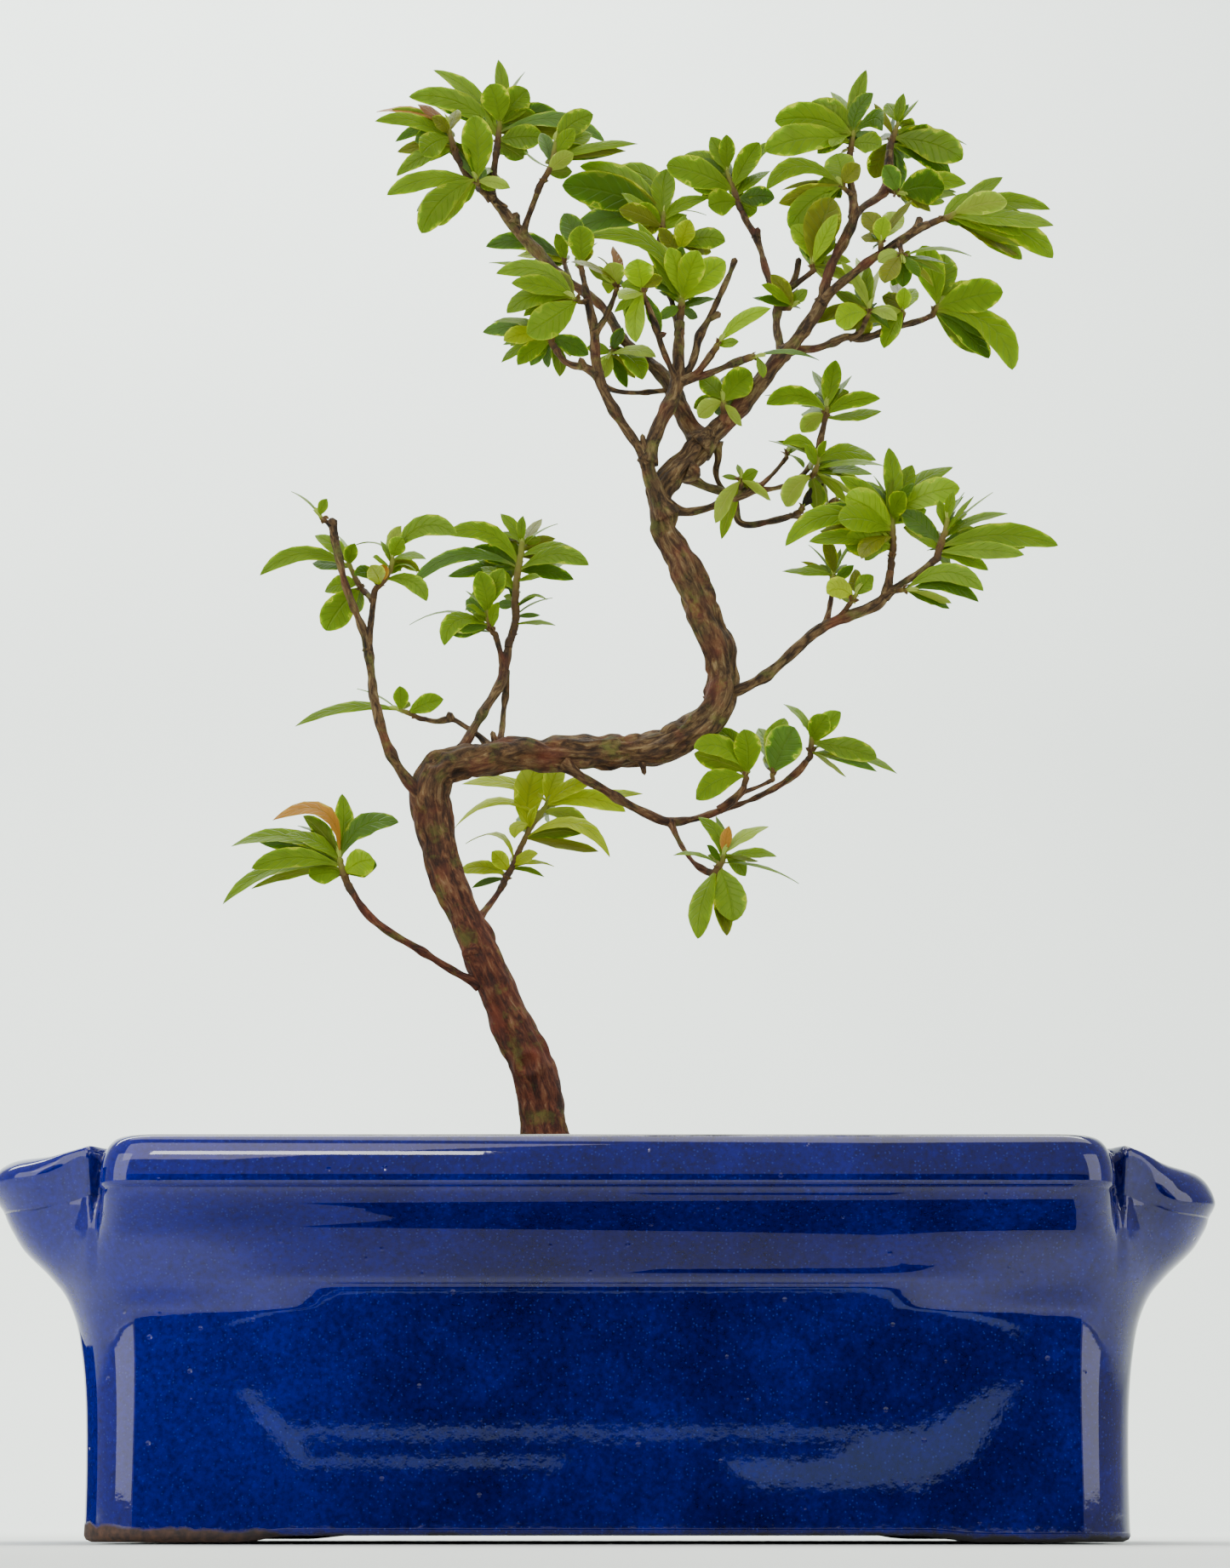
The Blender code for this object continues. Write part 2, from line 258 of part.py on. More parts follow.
# Leafy shoots: name, limb that bears it, stem points (x, z, y, radius),
# then leaves: base x, z, tip x, z, tip depth from base, share of width seen, width, arch.
# A share below zero shows the underside.
SHOOTS = (
    ("shoot_low_left", "low_left", ((-59.6, 145.2, -12.4, .9), (-60.6, 148, -12.6, .8),
                                    (-61.2, 150.4, -12.6, .6)), (
        (-61, 147, -87.2, 139.3, -4, .5, 4.4, .16), (-61, 148, -81, 147.5, -8, .75, 5, .12),
        (-61, 149, -85.7, 152.7, 4, .6, 4.6, .15), (-61, 148, -76.5, 158.8, -2, .5, 4.6, .42),
        (-61.2, 149.5, -60.8, 165, 5, .8, 5, .05), (-60, 150, -47.8, 158.3, 0, .6, 6.5, .25),
        (-60, 149, -53.2, 149.5, -6, 1, 6.4, .1), (-61, 148, -68.5, 149.5, 9, .6, 4, .1),
        (-61.5, 150, -70.8, 157.5, 7, .3, 3.5, .1), (-61.2, 149, -73.4, 155.4, -2, .6, 4.2, .12))),
    ("shoot_behind", "behind", ((-23.4, 145, 7.6, .85), (-22.4, 147, 8.4, .8), (-21, 149.8, 9.4, .75),
                                (-19.5, 153.5, 10.4, .7), (-17.5, 157.5, 11.4, .7), (-15, 161, 12.2, .65),
                                (-13.5, 163.5, 12.6, .6)), (
        (-23, 146, -34, 146.8, 3, .6, 4.2, .12), (-23.4, 145.6, -32, 146.3, 8, .2, 2, .15),
        (-22.8, 147, -26.5, 151.5, -3, .9, 4, .05), (-21.5, 149, -32.5, 153.3, 5, .3, 3, .35),
        (-21.8, 148, -16, 151, -2, .6, 3.6, .1), (-22, 146.5, -12.3, 148, 3, .3, 2.6, .12),
        (-22, 147.5, -20.5, 151.4, 5, .7, 2.2, .05), (-18.8, 156, -16, 173, 5, 1, 7.4, .05),
        (-14, 163, -10.5, 172, 1, .8, 5, .05), (-13.5, 163.5, -6.5, 168.3, 6, .4, 2.5, .05),
        (-13.5, 163, 3.9, 160.8, -1, .75, 5, .15), (-13.5, 163, 7.8, 165, 8, .5, 3.4, .05),
        (-14.5, 161.5, -4.9, 158, 4, -.55, 5, .1), (-18.5, 154.5, .3, 150.2, -2, .5, 4.6, .3),
        (-16, 160, -35, 157, 4, .5, 3, .25), (-14, 163, -33.5, 167.3, 8, .6, 4, .1),
        (-18, 158, -21.3, 154.6, -3, .7, 3.6, .3), (-18.5, 157, -16.5, 162, -5, .7, 2.2, .05),
        (-14.6, 162, -3.4, 168, -5, .65, 4.4, .1))),
    ("shoot_left_tip", "left_spur", ((-67.2, 231.6, -11.6, .5), (-67.7, 232.2, -11.7, .45)), (
        (-67.3, 231.3, -74.5, 238.2, 0, .25, 1.8, .08), (-67.3, 231.5, -66, 236.4, -3, .8, 2.6, .05))),
    ("shoot_left_hang", "left_inner_a", ((-57.3, 214.2, -7.6, .7), (-58.8, 216.4, -7, .65),
                                         (-59.9, 218.8, -6.6, .6), (-60.9, 221, -6.2, .5)), (
        (-60.5, 219.5, -81.2, 217.5, -3, .65, 4.4, .2), (-60.8, 220.5, -68.7, 227.3, 3, .8, 4, .08),
        (-60.8, 220.5, -63.5, 227.5, 10, .5, 3, .05), (-60.6, 220.4, -59.3, 225.4, -4, .9, 3.4, .05),
        (-57.5, 214.6, -65.5, 204, 3, 1, 7.2, .08), (-58, 215, -66, 213.5, 6, .8, 4.6, .1),
        (-57.5, 214.6, -58.7, 208, 8, .9, 3.4, .05))),
    ("shoot_left_inner", "left_inner", ((-53.9, 214.4, -10.4, .75), (-52.4, 216.2, -10.6, .7),
                                        (-50.9, 219, -10.8, .65), (-50.3, 222.2, -11, .5)), (
        (-54, 214.5, -59.3, 217.5, -5, .6, 4, .3), (-53.4, 214.4, -55.5, 220, -10, 1, 4.4, .05),
        (-52.5, 215.6, -51.9, 220.4, -3, .8, 3, .05), (-52, 216, -42.3, 211.2, -2, .7, 4.4, .2),
        (-51.8, 216.6, -47.6, 221, 3, .7, 3, .05), (-50.3, 221, -48.5, 229.7, 5, -.8, 3.8, .05),
        (-50.3, 221.5, -48, 226.8, -3, .9, 4.4, .05), (-50.4, 221.4, -53.3, 226, 0, .5, 2.4, .05),
        (-50.4, 221.6, -59.5, 224.8, 5, .2, 1.8, .2), (-50.6, 220, -55, 222, -9, .5, 2.4, .05),
        (-50.2, 222, -35.5, 227.5, -6, .75, 5.5, .28), (-50.2, 221.5, -42.6, 221.5, -2, .5, 3, .1),
        (-50.7, 219.8, -44.5, 218, 0, .2, 1.6, .3))),
    ("shoot_inner_left_top", "inner_left", ((-22.4, 202.8, 6.8, 1), (-21.6, 207, 7.4, .95),
                                            (-21.7, 212, 7.8, .9), (-21.3, 217, 8.2, .85),
                                            (-20.6, 222, 8.4, .75), (-20.1, 226, 8.6, .6)), (
        (-20.3, 225, -25.3, 232.7, 2, .8, 3.4, .05), (-20.2, 225.6, -20, 232.2, -2, .8, 2.6, .05),
        (-20.2, 224.5, -11.9, 230.2, 3, .2, 1.6, .08), (-20.5, 222, -7.6, 223.6, -1, .55, 3.6, .12),
        (-20.8, 218.5, -4.6, 220, -7, .7, 4.8, .18), (-21, 216, -16, 217, -6, .6, 2.4, .05),
        (-20.8, 220, -38, 227.5, -4, .75, 5.4, .25), (-20.6, 221, -29.5, 225.8, 3, .6, 4, .2),
        (-21.2, 219.5, -46.3, 214.5, -1, .6, 4.4, .22), (-21.8, 205.5, -12.3, 205.3, -3, .35, 2.6, .05),
        (-21.6, 207.5, -13, 212, 3, .2, 1.6, .08), (-21.6, 209.5, -14.3, 211.5, -4, .25, 1.8, .25),
        (-21.6, 210, -23.7, 216.4, 5, .6, 3, .05), (-20.3, 224.6, -15.6, 231.4, 8, .7, 3.4, .04),
        (-21.4, 213.6, -29.8, 219.4, 3, .6, 4, .08))),
    ("shoot_inner_left_low", "inner_left_a", ((-27, 204, 2.6, .7), (-27.9, 206.5, 2, .65),
                                              (-28.4, 209.4, 1.4, .5)), (
        (-28, 208, -30.3, 218.5, -5, 1, 5.4, .05), (-28.3, 209, -24.5, 219.2, -2, .9, 5, .05),
        (-28.3, 208.6, -33.2, 213.7, 2, .3, 1.8, .05), (-28.3, 208.6, -33, 210, -7, .4, 3, .05),
        (-26.8, 203.6, -46.2, 205.4, 6, .2, 1.8, .2), (-27.5, 205, -38, 200.4, -5, .7, 5, .35),
        (-27.6, 205.5, -31.5, 208, -1, .5, 3, .1), (-27, 204.4, -25.5, 211, -6, .7, 3, .05))),
    ("shoot_short_left", "short_left", ((-45, 183.8, 6, .6), (-47, 184.5, 6, .55), (-48.6, 185, 6, .45)), (
        (-47, 184.5, -72, 181, 2, .5, 3.6, .1), (-47.5, 184.8, -48.2, 190.7, -2, 1, 3.8, .05),
        (-46.5, 184.6, -38, 187.5, -6, .9, 4.6, .05), (-47.8, 184.8, -58, 190, 5, .2, 1.6, .06))),
    ("shoot_under_tip", "under", ((46.4, 175, 12, .7), (46.5, 177, 12.2, .65), (46.5, 179.4, 12.4, .5)), (
        (46.5, 179, 40.3, 186.3, 3, .5, 3, .1), (46.5, 177.5, 50.5, 183.6, -3, .9, 5.5, .05),
        (46.5, 176.5, 53.5, 184.4, 2, .9, 5, .08), (46.6, 176, 59.2, 177, 4, .3, 2.6, .05),
        (46.6, 177, 61.5, 173.4, -4, .7, 6, .05), (46.4, 175.4, 66, 169.8, -1, .45, 3.4, .1),
        (46.2, 175, 54.3, 169, -8, -.35, 2.8, .02))),
    ("shoot_under_mid", "under_b", ((37.5, 169.6, 6.2, .6), (37.9, 171.2, 6.2, .45)), (
        (37.5, 169.6, 42.8, 180.8, -5, 1, 8.8, .05), (37.8, 170.8, 40.5, 183, 3, .7, 6, .05),
        (37.6, 170, 34.5, 180.6, 10, .8, 5, .05))),
    ("shoot_under_inner", "under_a", ((31.4, 169.2, 3.8, .7), (31.7, 171, 3.6, .5)), (
        (31.6, 170.5, 19.6, 175.8, -7, .7, 6, .2), (31.6, 170.5, 31, 180.3, -6, .9, 6.5, .05),
        (31.6, 170.2, 25, 180.5, 5, .8, 5, .1), (31.3, 169, 20, 163.7, -10, 1, 6, .1))),
    ("shoot_under_low", "under_low", ((24.6, 147.2, -3.4, .9), (25.5, 148.8, -3.8, .8), (26.4, 151, -4, .6)), (
        (24.6, 147.2, 20.2, 131.3, -11, 1, 5.4, .05), (25.3, 148, 28.2, 135.3, -4, 1, 7.4, .05),
        (26, 148.5, 43.2, 144, 3, .25, 2.2, .08), (26.3, 149.5, 38.2, 150.3, -2, .4, 4, .1),
        (26, 149, 34, 149.2, -7, -.35, 3, .02), (26.5, 150.5, 36.5, 157.3, 2, .5, 4.4, .08),
        (26.3, 150.5, 27.5, 157.5, 0, .9, 2.8, .02), (25.6, 149.4, 20.5, 159.5, 4, .7, 4, .15),
        (26, 150.3, 24.5, 159.8, 10, .7, 3, .05), (25, 148.5, 14.8, 150.6, -3, .3, 2.4, .12),
        (25.4, 148.9, 22.4, 153, -5, .6, 2.4, .02))),
    ("shoot_right_top", "right", ((66, 221.4, -12.6, .85), (66.5, 225, -12.8, .8), (66.4, 229, -12.8, .7),
                                  (66.5, 233, -12.8, .6)), (
        (66.4, 232, 66, 249.2, 0, .9, 4.6, .03), (66.5, 232, 71.5, 244.8, 3, .9, 5, .03),
        (66.5, 231.6, 81, 244.3, 7, .7, 5, .1), (66.5, 232.6, 82.5, 239, -3, .7, 7, .08),
        (66.4, 232, 54.3, 241.8, -2, .7, 4.6, .1), (66.4, 231.6, 62.3, 242.1, 4, .3, 2, .05),
        (66.4, 231.4, 55.5, 237, -7, .9, 8, .05), (66.4, 230.6, 53.8, 231, -12, .8, 7, .08),
        (66.4, 226, 41.3, 224.7, -9, .75, 5.4, .25), (66.4, 229, 45, 231.2, 6, .5, 3, .08),
        (66.2, 223.4, 49.5, 228.3, 2, .75, 4.6, .08), (66.3, 224.5, 55, 225.5, -4, .9, 7, .05),
        (66.5, 231, 69.5, 238, -10, .8, 5, .03), (66.4, 227, 59, 221.6, -10, .8, 4.6, .1),
        (66.5, 230, 74.5, 233.6, 2, .8, 5, .08))),
    ("shoot_right_tip", "right_a", ((77.1, 223.6, -17.6, .9), (78, 226.6, -18, .8), (79, 229.4, -18.2, .7),
                                    (79.5, 232, -18.4, .5)), (
        (78, 224.4, 105, 224.8, -2, .75, 6, .1), (77.2, 223.4, 97, 222.5, -6, .7, 4.6, .05),
        (78, 226, 93.5, 232.7, 5, .5, 3, .08), (78.5, 228, 90.2, 238, 2, .2, 1.8, .03),
        (78.3, 227, 85.7, 237, -3, .3, 2.4, .03), (79, 230, 83.5, 238, 5, .3, 2, .02),
        (77.2, 223.4, 88.5, 218.7, 3, .6, 4, .12), (78.5, 228, 77.5, 236, 1, .7, 3, .02),
        (79.2, 231, 81, 238.4, -2, .6, 3, .02), (77.6, 225, 68.5, 233.5, 3, .8, 5.4, .05),
        (77.3, 224.5, 72.4, 226.5, 0, .6, 2.6, .05))),
    ("shoot_right_spur", "right_b", ((68.6, 213.9, -16, .6), (69.8, 213.9, -16.6, .5)), (
        (69, 213.9, 87.2, 213.7, -6, .7, 5, .25), (69, 213.8, 86, 211, -3, .6, 4, .15),
        (69.2, 213.8, 79.7, 210.7, 4, -.4, 3.6, .02))),
    ("shoot_right_short", "right_c", ((56.7, 211.4, -11, .6), (57.8, 213.2, -11.6, .5)), (
        (57, 211.8, 50.8, 213, -3, .85, 5.6, .25), (57.4, 212.6, 61.7, 217.4, -2, .7, 5, .05),
        (57.4, 212.6, 57.4, 219, 5, .8, 3.6, .03))),
    ("shoot_right_back", "right_d", ((52.3, 215.6, -1.8, .6), (52.6, 218, -1.4, .5)), (
        (52.5, 217.6, 40.5, 218.5, 1, .5, 3, .04), (52.5, 217.6, 46.7, 225, 3, .25, 1.8, .06),
        (52.5, 217.6, 57.5, 226.7, -2, .3, 1.8, .02), (52.5, 217, 57.2, 220, -3, .9, 2.6, 0),
        (52.5, 217.6, 50.4, 226.6, -4, .7, 3.6, .04))),
    ("shoot_upper_right_top", "upper_right_c", ((51.3, 257, 12.4, .65), (51.7, 259.8, 12.6, .5)), (
        (51.5, 259, 54, 271.3, 2, .9, 4.8, .03), (51.5, 259, 48.3, 268.6, 8, .7, 3, .03),
        (51.5, 259, 57.7, 267.3, 4, .5, 2.6, .03), (51.5, 258.6, 64.3, 261.5, 1, .7, 4.4, .12),
        (51.5, 258.2, 64.5, 258.3, -4, .45, 4, -.02), (51.4, 258.4, 37.3, 260, -2, .8, 5.2, .2),
        (51.5, 258.8, 37, 262.3, 5, .3, 2.4, .08), (51.3, 257.6, 45.5, 253, 3, -.8, 4.8, .1))),
    ("shoot_upper_right_low", "upper_right_a", ((47.9, 242.2, 7, .65), (48.8, 244.2, 6, .6),
                                                (49.5, 247.6, 5.4, .5)), (
        (49.4, 247, 41, 250, -3, .6, 3.6, .25), (49.4, 247, 37.7, 250.9, 3, .2, 1.6, .05),
        (49.2, 246, 63, 246, 6, .7, 5, .15), (48.5, 243.6, 65, 244.5, 0, .4, 2.8, .08),
        (48.4, 243.2, 62, 242.5, 9, .5, 3.8, .05), (48.8, 245, 46.3, 250, -5, .7, 3, .02),
        (49.3, 246.4, 51.4, 251, -4, .6, 2.4, .02), (47.8, 242.6, 41.5, 234.5, -5, -.8, 5.8, .1),
        (48, 242.8, 50, 235.2, 10, -.7, 3, .05), (48.2, 243, 57.5, 237, 5, -.4, 2.8, .05))),
    ("shoot_upper_right_spur", "upper_right_spur", ((31.1, 240.6, 2.4, .5), (31.1, 241.4, 2.2, .45)), (
        (31.1, 240.8, 35.2, 243.3, -3, .9, 3.2, .03), (31.1, 240.8, 30.3, 245, 2, .7, 1.8, .02),
        (31.1, 240.6, 26.6, 242, 0, .5, 2, .05), (31.1, 240.6, 25, 230.4, -9, -.8, 4.2, .05),
        (31.1, 240.6, 38, 236, -6, -.6, 3.2, .05))),
    ("shoot_back_loop", "back_loop_a", ((53, 236.2, 19.4, .45), (53.8, 236.6, 19.8, .4)), (
        (53.2, 236, 59, 233, 0, .4, 2.4, .05), (53.2, 236, 46, 230, 5, .3, 2, .05),
        (53.2, 236, 51.5, 241, 1, .3, 1.6, .05))),
    ("wilted_bud", "back_loop", ((45.2, 234, 12.8, .7), (46, 235, 12.4, .55)), (
        (45.4, 233.8, 50.6, 240.2, -4, 1, 3.2, .05),)),
    ("shoot_upper_right_twig", "upper_right_b", ((41.9, 247, 10, .55), (42.3, 248, 10.4, .45)), (
        (42.1, 247.4, 45.9, 244, -3, .4, 2, .1), (42.1, 247.4, 46.5, 250.4, 2, .5, 2, .05))),
    ("shoot_top_left", "back_a", ((-37.2, 325.2, 11.2, .8), (-38.3, 329, 10.6, .7), (-39.3, 333, 10, .5)), (
        (-39.3, 332.5, -56.5, 336, 4, .45, 3.4, .1), (-37.8, 327, -56.8, 333.5, -3, .6, 4.2, .15),
        (-39.2, 332.6, -46.5, 338, -1, .55, 3.6, .05), (-39.1, 332, -36.8, 336.6, 3, .7, 4.4, .02),
        (-38.3, 329, -45.4, 324.6, -5, .9, 6.4, .1), (-37.4, 326, -51.3, 319, 4, .7, 4.6, .12),
        (-38.6, 330, -43, 334.6, -4, .7, 3.6, .1))),
    ("shoot_top_left_low", "back_a_spur", ((-31.8, 317.2, 10.2, .65), (-32.2, 318.2, 9.2, .55)), (
        (-31.8, 317.2, -53.5, 314, -3, .7, 5.4, .12), (-31.8, 317.2, -45, 304, -4, 1, 7.2, .12),
        (-32, 317.8, -33, 335, -6, 1, 8, .05), (-32, 317.8, -30.2, 334.6, 3, .9, 5, .03),
        (-31.9, 317.6, -23.8, 315.8, 1, .7, 3.4, .1))),
    ("shoot_top_centre", "back_b", ((-27, 327.6, 20, .85), (-26.8, 330, 20.4, .75),
                                    (-26.5, 333.8, 20.8, .55)), (
        (-26.6, 333, -29, 343.5, -5, 1, 7.4, .05), (-26.6, 333, -19.8, 342, -1, 1, 7.4, .05),
        (-26.5, 333.4, -27, 350, 3, .9, 3.8, .03), (-26.6, 332.6, -20.5, 346.7, 7, .4, 2, .05),
        (-26.8, 331, -12, 335, 5, .85, 6.2, .15), (-26.8, 330, -42.8, 347.2, 2, .7, 4.8, .12),
        (-26.8, 331, -48.7, 340, -1, .85, 6, .18), (-26.9, 328.4, -16, 329, -3, .8, 6.5, .05),
        (-26.7, 330.5, -1, 328, -6, .65, 4.8, .18), (-26.9, 328, -20.6, 323.6, 3, -.85, 5, .05))),
    ("shoot_top_inner", "back_c", ((-16.3, 317, 8.2, .85), (-14.8, 320, 7.2, .75), (-13.5, 323.5, 6.4, .7),
                                   (-12.8, 328.5, 5.6, .5)), (
        (-12.9, 328, -3.8, 335.3, 3, .95, 6.2, .1), (-13.4, 324.6, -4, 330, 5, .8, 5, .08),
        (-13.6, 323, 7, 327.5, 3, .55, 3.2, .08), (-14, 322, -16.5, 330.4, 3, .8, 4.2, .03),
        (-14.8, 320, -8.6, 325, -3, -.7, 4.6, .05), (-14.2, 321.4, -20.4, 325.6, 0, .2, 1.6, -.1),
        (-13.8, 322.4, -8.2, 331.6, -2, .9, 4.2, .04))),
    ("shoot_front_low", "front_a_low", ((-13.6, 275.8, -6, .75), (-14.4, 277.4, -5.8, .7),
                                        (-15.2, 279.4, -5.6, .5)), (
        (-14.2, 277, -25.5, 270.7, 4, .6, 3.6, .1), (-14, 276.6, -21.6, 270, -3, .9, 4.2, .08),
        (-15, 279, -30, 278.4, 6, .8, 4.6, .08), (-15, 279, -27.4, 281.2, 0, .4, 3.4, .1),
        (-14.6, 278, -25, 276.2, -5, .7, 4.8, .1), (-14.2, 277, -4.8, 272.6, 3, .8, 5, .05))),
    ("shoot_front_left", "front_a_spur", ((-7.2, 286.4, -13.4, .65), (-8.6, 287.4, -14.2, .5)), (
        (-7.4, 286.4, -19.5, 278, -6, 1, 8, -.02), (-7.8, 286.8, -24.3, 283.3, 2, .7, 6, .18),
        (-7.6, 286.6, -20.3, 282.5, 6, .8, 4.2, .15), (-7.8, 287, -15, 288, 9, .7, 4, .05),
        (-8.2, 287.2, -23.3, 291, -2, .75, 4.8, .08), (-8.2, 287.2, -27, 293.5, 1, .7, 5, .2),
        (-8.2, 287.2, -28.7, 296.3, 7, .5, 3.2, .12), (-8.2, 287.2, -17.4, 293.6, 6, .8, 4.4, .12))),
    ("shoot_front_top", "front_a", ((-6.5, 295, -9.8, .7), (-6.8, 297.8, -9.6, .5)), (
        (-6.7, 297, -10.8, 309.2, 4, .9, 6, .05), (-6.6, 296.4, -7, 306, -4, 1, 6.4, .03),
        (-6.6, 296.6, -1, 304.7, 8, .5, 3, .1))),
    ("shoot_back_spur", "back_d", ((-10.6, 296.4, 18.8, .55), (-11, 297.8, 19.4, .45)), (
        (-10.9, 297.4, -29.5, 300.5, 2, .7, 5.4, .15), (-10.9, 297.4, -12.7, 304, -2, .7, 4, .05),
        (-10.8, 297, -22, 298, 5, .6, 4, .1))),
    ("shoot_front_fork", "front_a_fork", ((2, 289.6, -14.8, .6), (2.2, 291, -15, .5)), (
        (2, 290.2, .2, 296.4, -4, -1, 5.6, .02), (2, 290, -9, 296.5, -10, .35, 3.2, .08),
        (2.1, 290.6, 1, 300.6, 5, .6, 4.2, .05))),
    ("shoot_front_right", "front_b", ((17.2, 284, -6.2, 1), (17.5, 287.4, -6.6, .7)), (
        (17.2, 285, -6.3, 302.8, -5, .6, 4.8, .28), (17.4, 286.6, 28, 296.7, -3, .9, 7.4, .05),
        (17.4, 286.8, 14.5, 300.3, -7, 1, 5.6, .03), (17.4, 286, 26.7, 291.2, 4, .4, 2, .05),
        (17.3, 285.4, 25.5, 287, 3, .5, 3.2, .1), (17.4, 286, 10.5, 292, 2, .8, 3.8, .1),
        (17.4, 286.8, 9, 303.4, 6, .6, 3.4, .1), (17.4, 286.8, 21.6, 299.4, -11, .9, 6.6, .03),
        (17.2, 285, 12.3, 281.6, -2, .7, 3.2, .06), (17.3, 286, 11, 297, 7, .8, 4.6, .1))),
    ("shoot_fan", "fan_d", ((8.4, 288.2, -16.6, .65), (7.9, 290, -17, .5)), (
        (8, 289.6, 6.8, 297.4, -6, 1, 7, 0), (8.2, 289, 1.3, 283.5, 3, .5, 3.6, .05),
        (8.3, 288.6, 6.5, 275.8, -3, .9, 4.8, .08), (8.1, 289.4, 3, 290.5, 0, .7, 4, .05),
        (8.1, 289.4, 12.9, 292.4, -1, .8, 3.4, .05), (8.2, 288.8, 2.4, 287, -6, .7, 3.6, .1))),
    ("shoot_back_low", "back_spur", ((1, 273.8, 8.8, .6), (.4, 272.8, 8, .5)), (
        (.7, 273.2, -1.2, 266.6, 0, -.9, 3.8, .03), (.7, 273.2, 8, 266.3, -6, .8, 5.2, .15),
        (.6, 273, 11.2, 272, -7, .6, 3.6, .12), (.7, 273.4, 3.4, 279.6, 0, .8, 3.4, .03),
        (.6, 273, -5.2, 274.6, 3, .8, 3.4, .05))),
    ("shoot_centre", "centre", ((12.7, 304.4, 9, .75), (12.9, 307, 9.4, .65), (13.3, 310, 9.6, .5)), (
        (13.2, 309.4, -7, 321.6, 3, .8, 6, .12), (13.1, 308.6, -11.3, 316.5, -3, .9, 9.2, .08),
        (13.2, 309.6, .5, 320.7, 7, .85, 6.4, .2), (13.2, 309.4, 14, 320.9, 0, 1, 6, .02),
        (13.2, 309, 24, 313.2, 3, .7, 4, .12), (13, 307.6, 6.5, 311.5, -6, .9, 4.4, .03),
        (12.9, 306.8, 2.5, 310.3, -12, -1, 4.8, .05), (13, 307, 23.5, 308.7, 8, .2, 1.6, .15),
        (13, 306.8, 18.8, 308.8, 3, .8, 3.8, .05), (13, 307, 8.2, 303.6, 0, .9, 4, .1))),
    ("shoot_centre_spur", "centre_spur", ((16.6, 298.4, 2, .6), (17.4, 300.6, 1.6, .5)), (
        (17, 299.8, 19.5, 307.6, -6, 1, 5, .02), (17, 299.8, 28, 301.8, -2, .8, 5.6, .12),
        (17.1, 300, 18.3, 308.7, 2, .8, 4, .02), (17, 299.8, 12, 305.4, -2, .8, 3.8, .05))),
    ("shoot_crown_left", "crown_d", ((31, 312.4, 10.6, .75), (30.2, 315, 10.8, .7), (29.2, 317.8, 11, .65),
                                     (28.5, 320.8, 11.2, .5)), (
        (30, 315, 13.9, 321.8, -5, .8, 8, .06), (29.2, 318, 18.3, 324.6, 3, .75, 4.8, .15),
        (28.7, 320, 24.7, 329.4, -1, .9, 4.6, .03), (28.6, 320.4, 28.5, 330, -4, .9, 4.2, .02),
        (30.2, 315, 36.5, 327.9, -2, .9, 5.6, .03), (30.3, 314.8, 41, 328.5, 3, .7, 4, .1),
        (30.6, 314, 39, 320.3, 4, .7, 3.4, .08), (30.8, 313.2, 40, 313.2, -4, .9, 5.2, .08),
        (30.9, 312.8, 24, 311, -3, .9, 6.8, .1), (30.4, 314.6, 20.4, 315.6, 2, .8, 5.4, .1))),
    ("shoot_crown_mid", "crown_d_fork", ((48.8, 295, -2.6, .65), (49, 296.8, -2.8, .5)), (
        (48.9, 296.2, 54, 313.2, -4, 1, 9, .04), (48.9, 296.2, 43.8, 305.8, 1, .8, 6.2, .12),
        (48.9, 296.2, 47, 305, 5, .6, 3, .02), (48.9, 296, 54.5, 303, 2, .8, 3.8, .03),
        (48.8, 295.4, 53.6, 291.8, 4, -.6, 2.6, 0), (48.9, 296, 58, 296.5, 8, -.7, 3.4, .05),
        (48.8, 295.6, 58.4, 290.6, 6, -.6, 3.4, .1), (48.9, 296.2, 55, 309, -7, .8, 4.4, .03))),
    ("shoot_crown_spur", "crown_d_spur", ((43.4, 284.9, -.2, .6), (44.2, 285.3, -.8, .5)), (
        (43.8, 285.1, 47.6, 289.3, -2, .6, 3.6, .05), (43.6, 285, 38.8, 293.3, -4, .8, 4.2, 0),
        (43.6, 285, 36.5, 290.6, -10, .7, 3, .05))),
    ("shoot_crown_top", "crown", ((58.5, 325.2, 1.2, .8), (58.9, 328, 1.6, .7), (59.5, 331.2, 2, .5)), (
        (58.9, 328, 37.8, 325.5, -4, .8, 8, .1), (59.2, 330, 40.3, 333.5, 1, .85, 8, .13),
        (59.3, 330.4, 48, 336.8, 2, .9, 7.6, .1), (59.4, 330.8, 54, 341.4, 6, .7, 3.4, .05),
        (59.4, 330.8, 62.8, 347.3, 2, .9, 4.2, .03), (59.4, 330.4, 64.4, 341, -3, .7, 5, .15),
        (58.9, 328, 66, 326.8, -3, .7, 6, .08), (59.3, 330, 66.4, 331, -8, .8, 5, .38))),
    ("shoot_crown_low", "crown_spur", ((56.6, 316, -4.2, .6), (56.1, 316.8, -4.8, .5)), (
        (56.3, 316.4, 55, 324.9, 3, 1, 7.6, .03), (56.4, 316.2, 38.1, 315.4, -4, .7, 5, .3),
        (56.3, 316.4, 40, 320.4, 3, .25, 1.8, .2), (56.3, 316.4, 43.5, 305.2, 4, .8, 6.4, .1),
        (56.2, 316.6, 60.8, 322, -3, .8, 5, .03))),
    ("shoot_crown_right", "crown_a", ((68.5, 328, 7.8, .85), (69.3, 330.5, 8, .7), (70.3, 333.4, 8.2, .5)), (
        (70, 332.6, 71.8, 341, -2, .8, 3, .02), (70, 332.6, 75.4, 339.2, 0, .4, 1.8, .02),
        (70, 332.6, 67.6, 338.4, 3, .8, 4.6, .02), (69.4, 331, 81, 330, 4, .6, 3.6, .05),
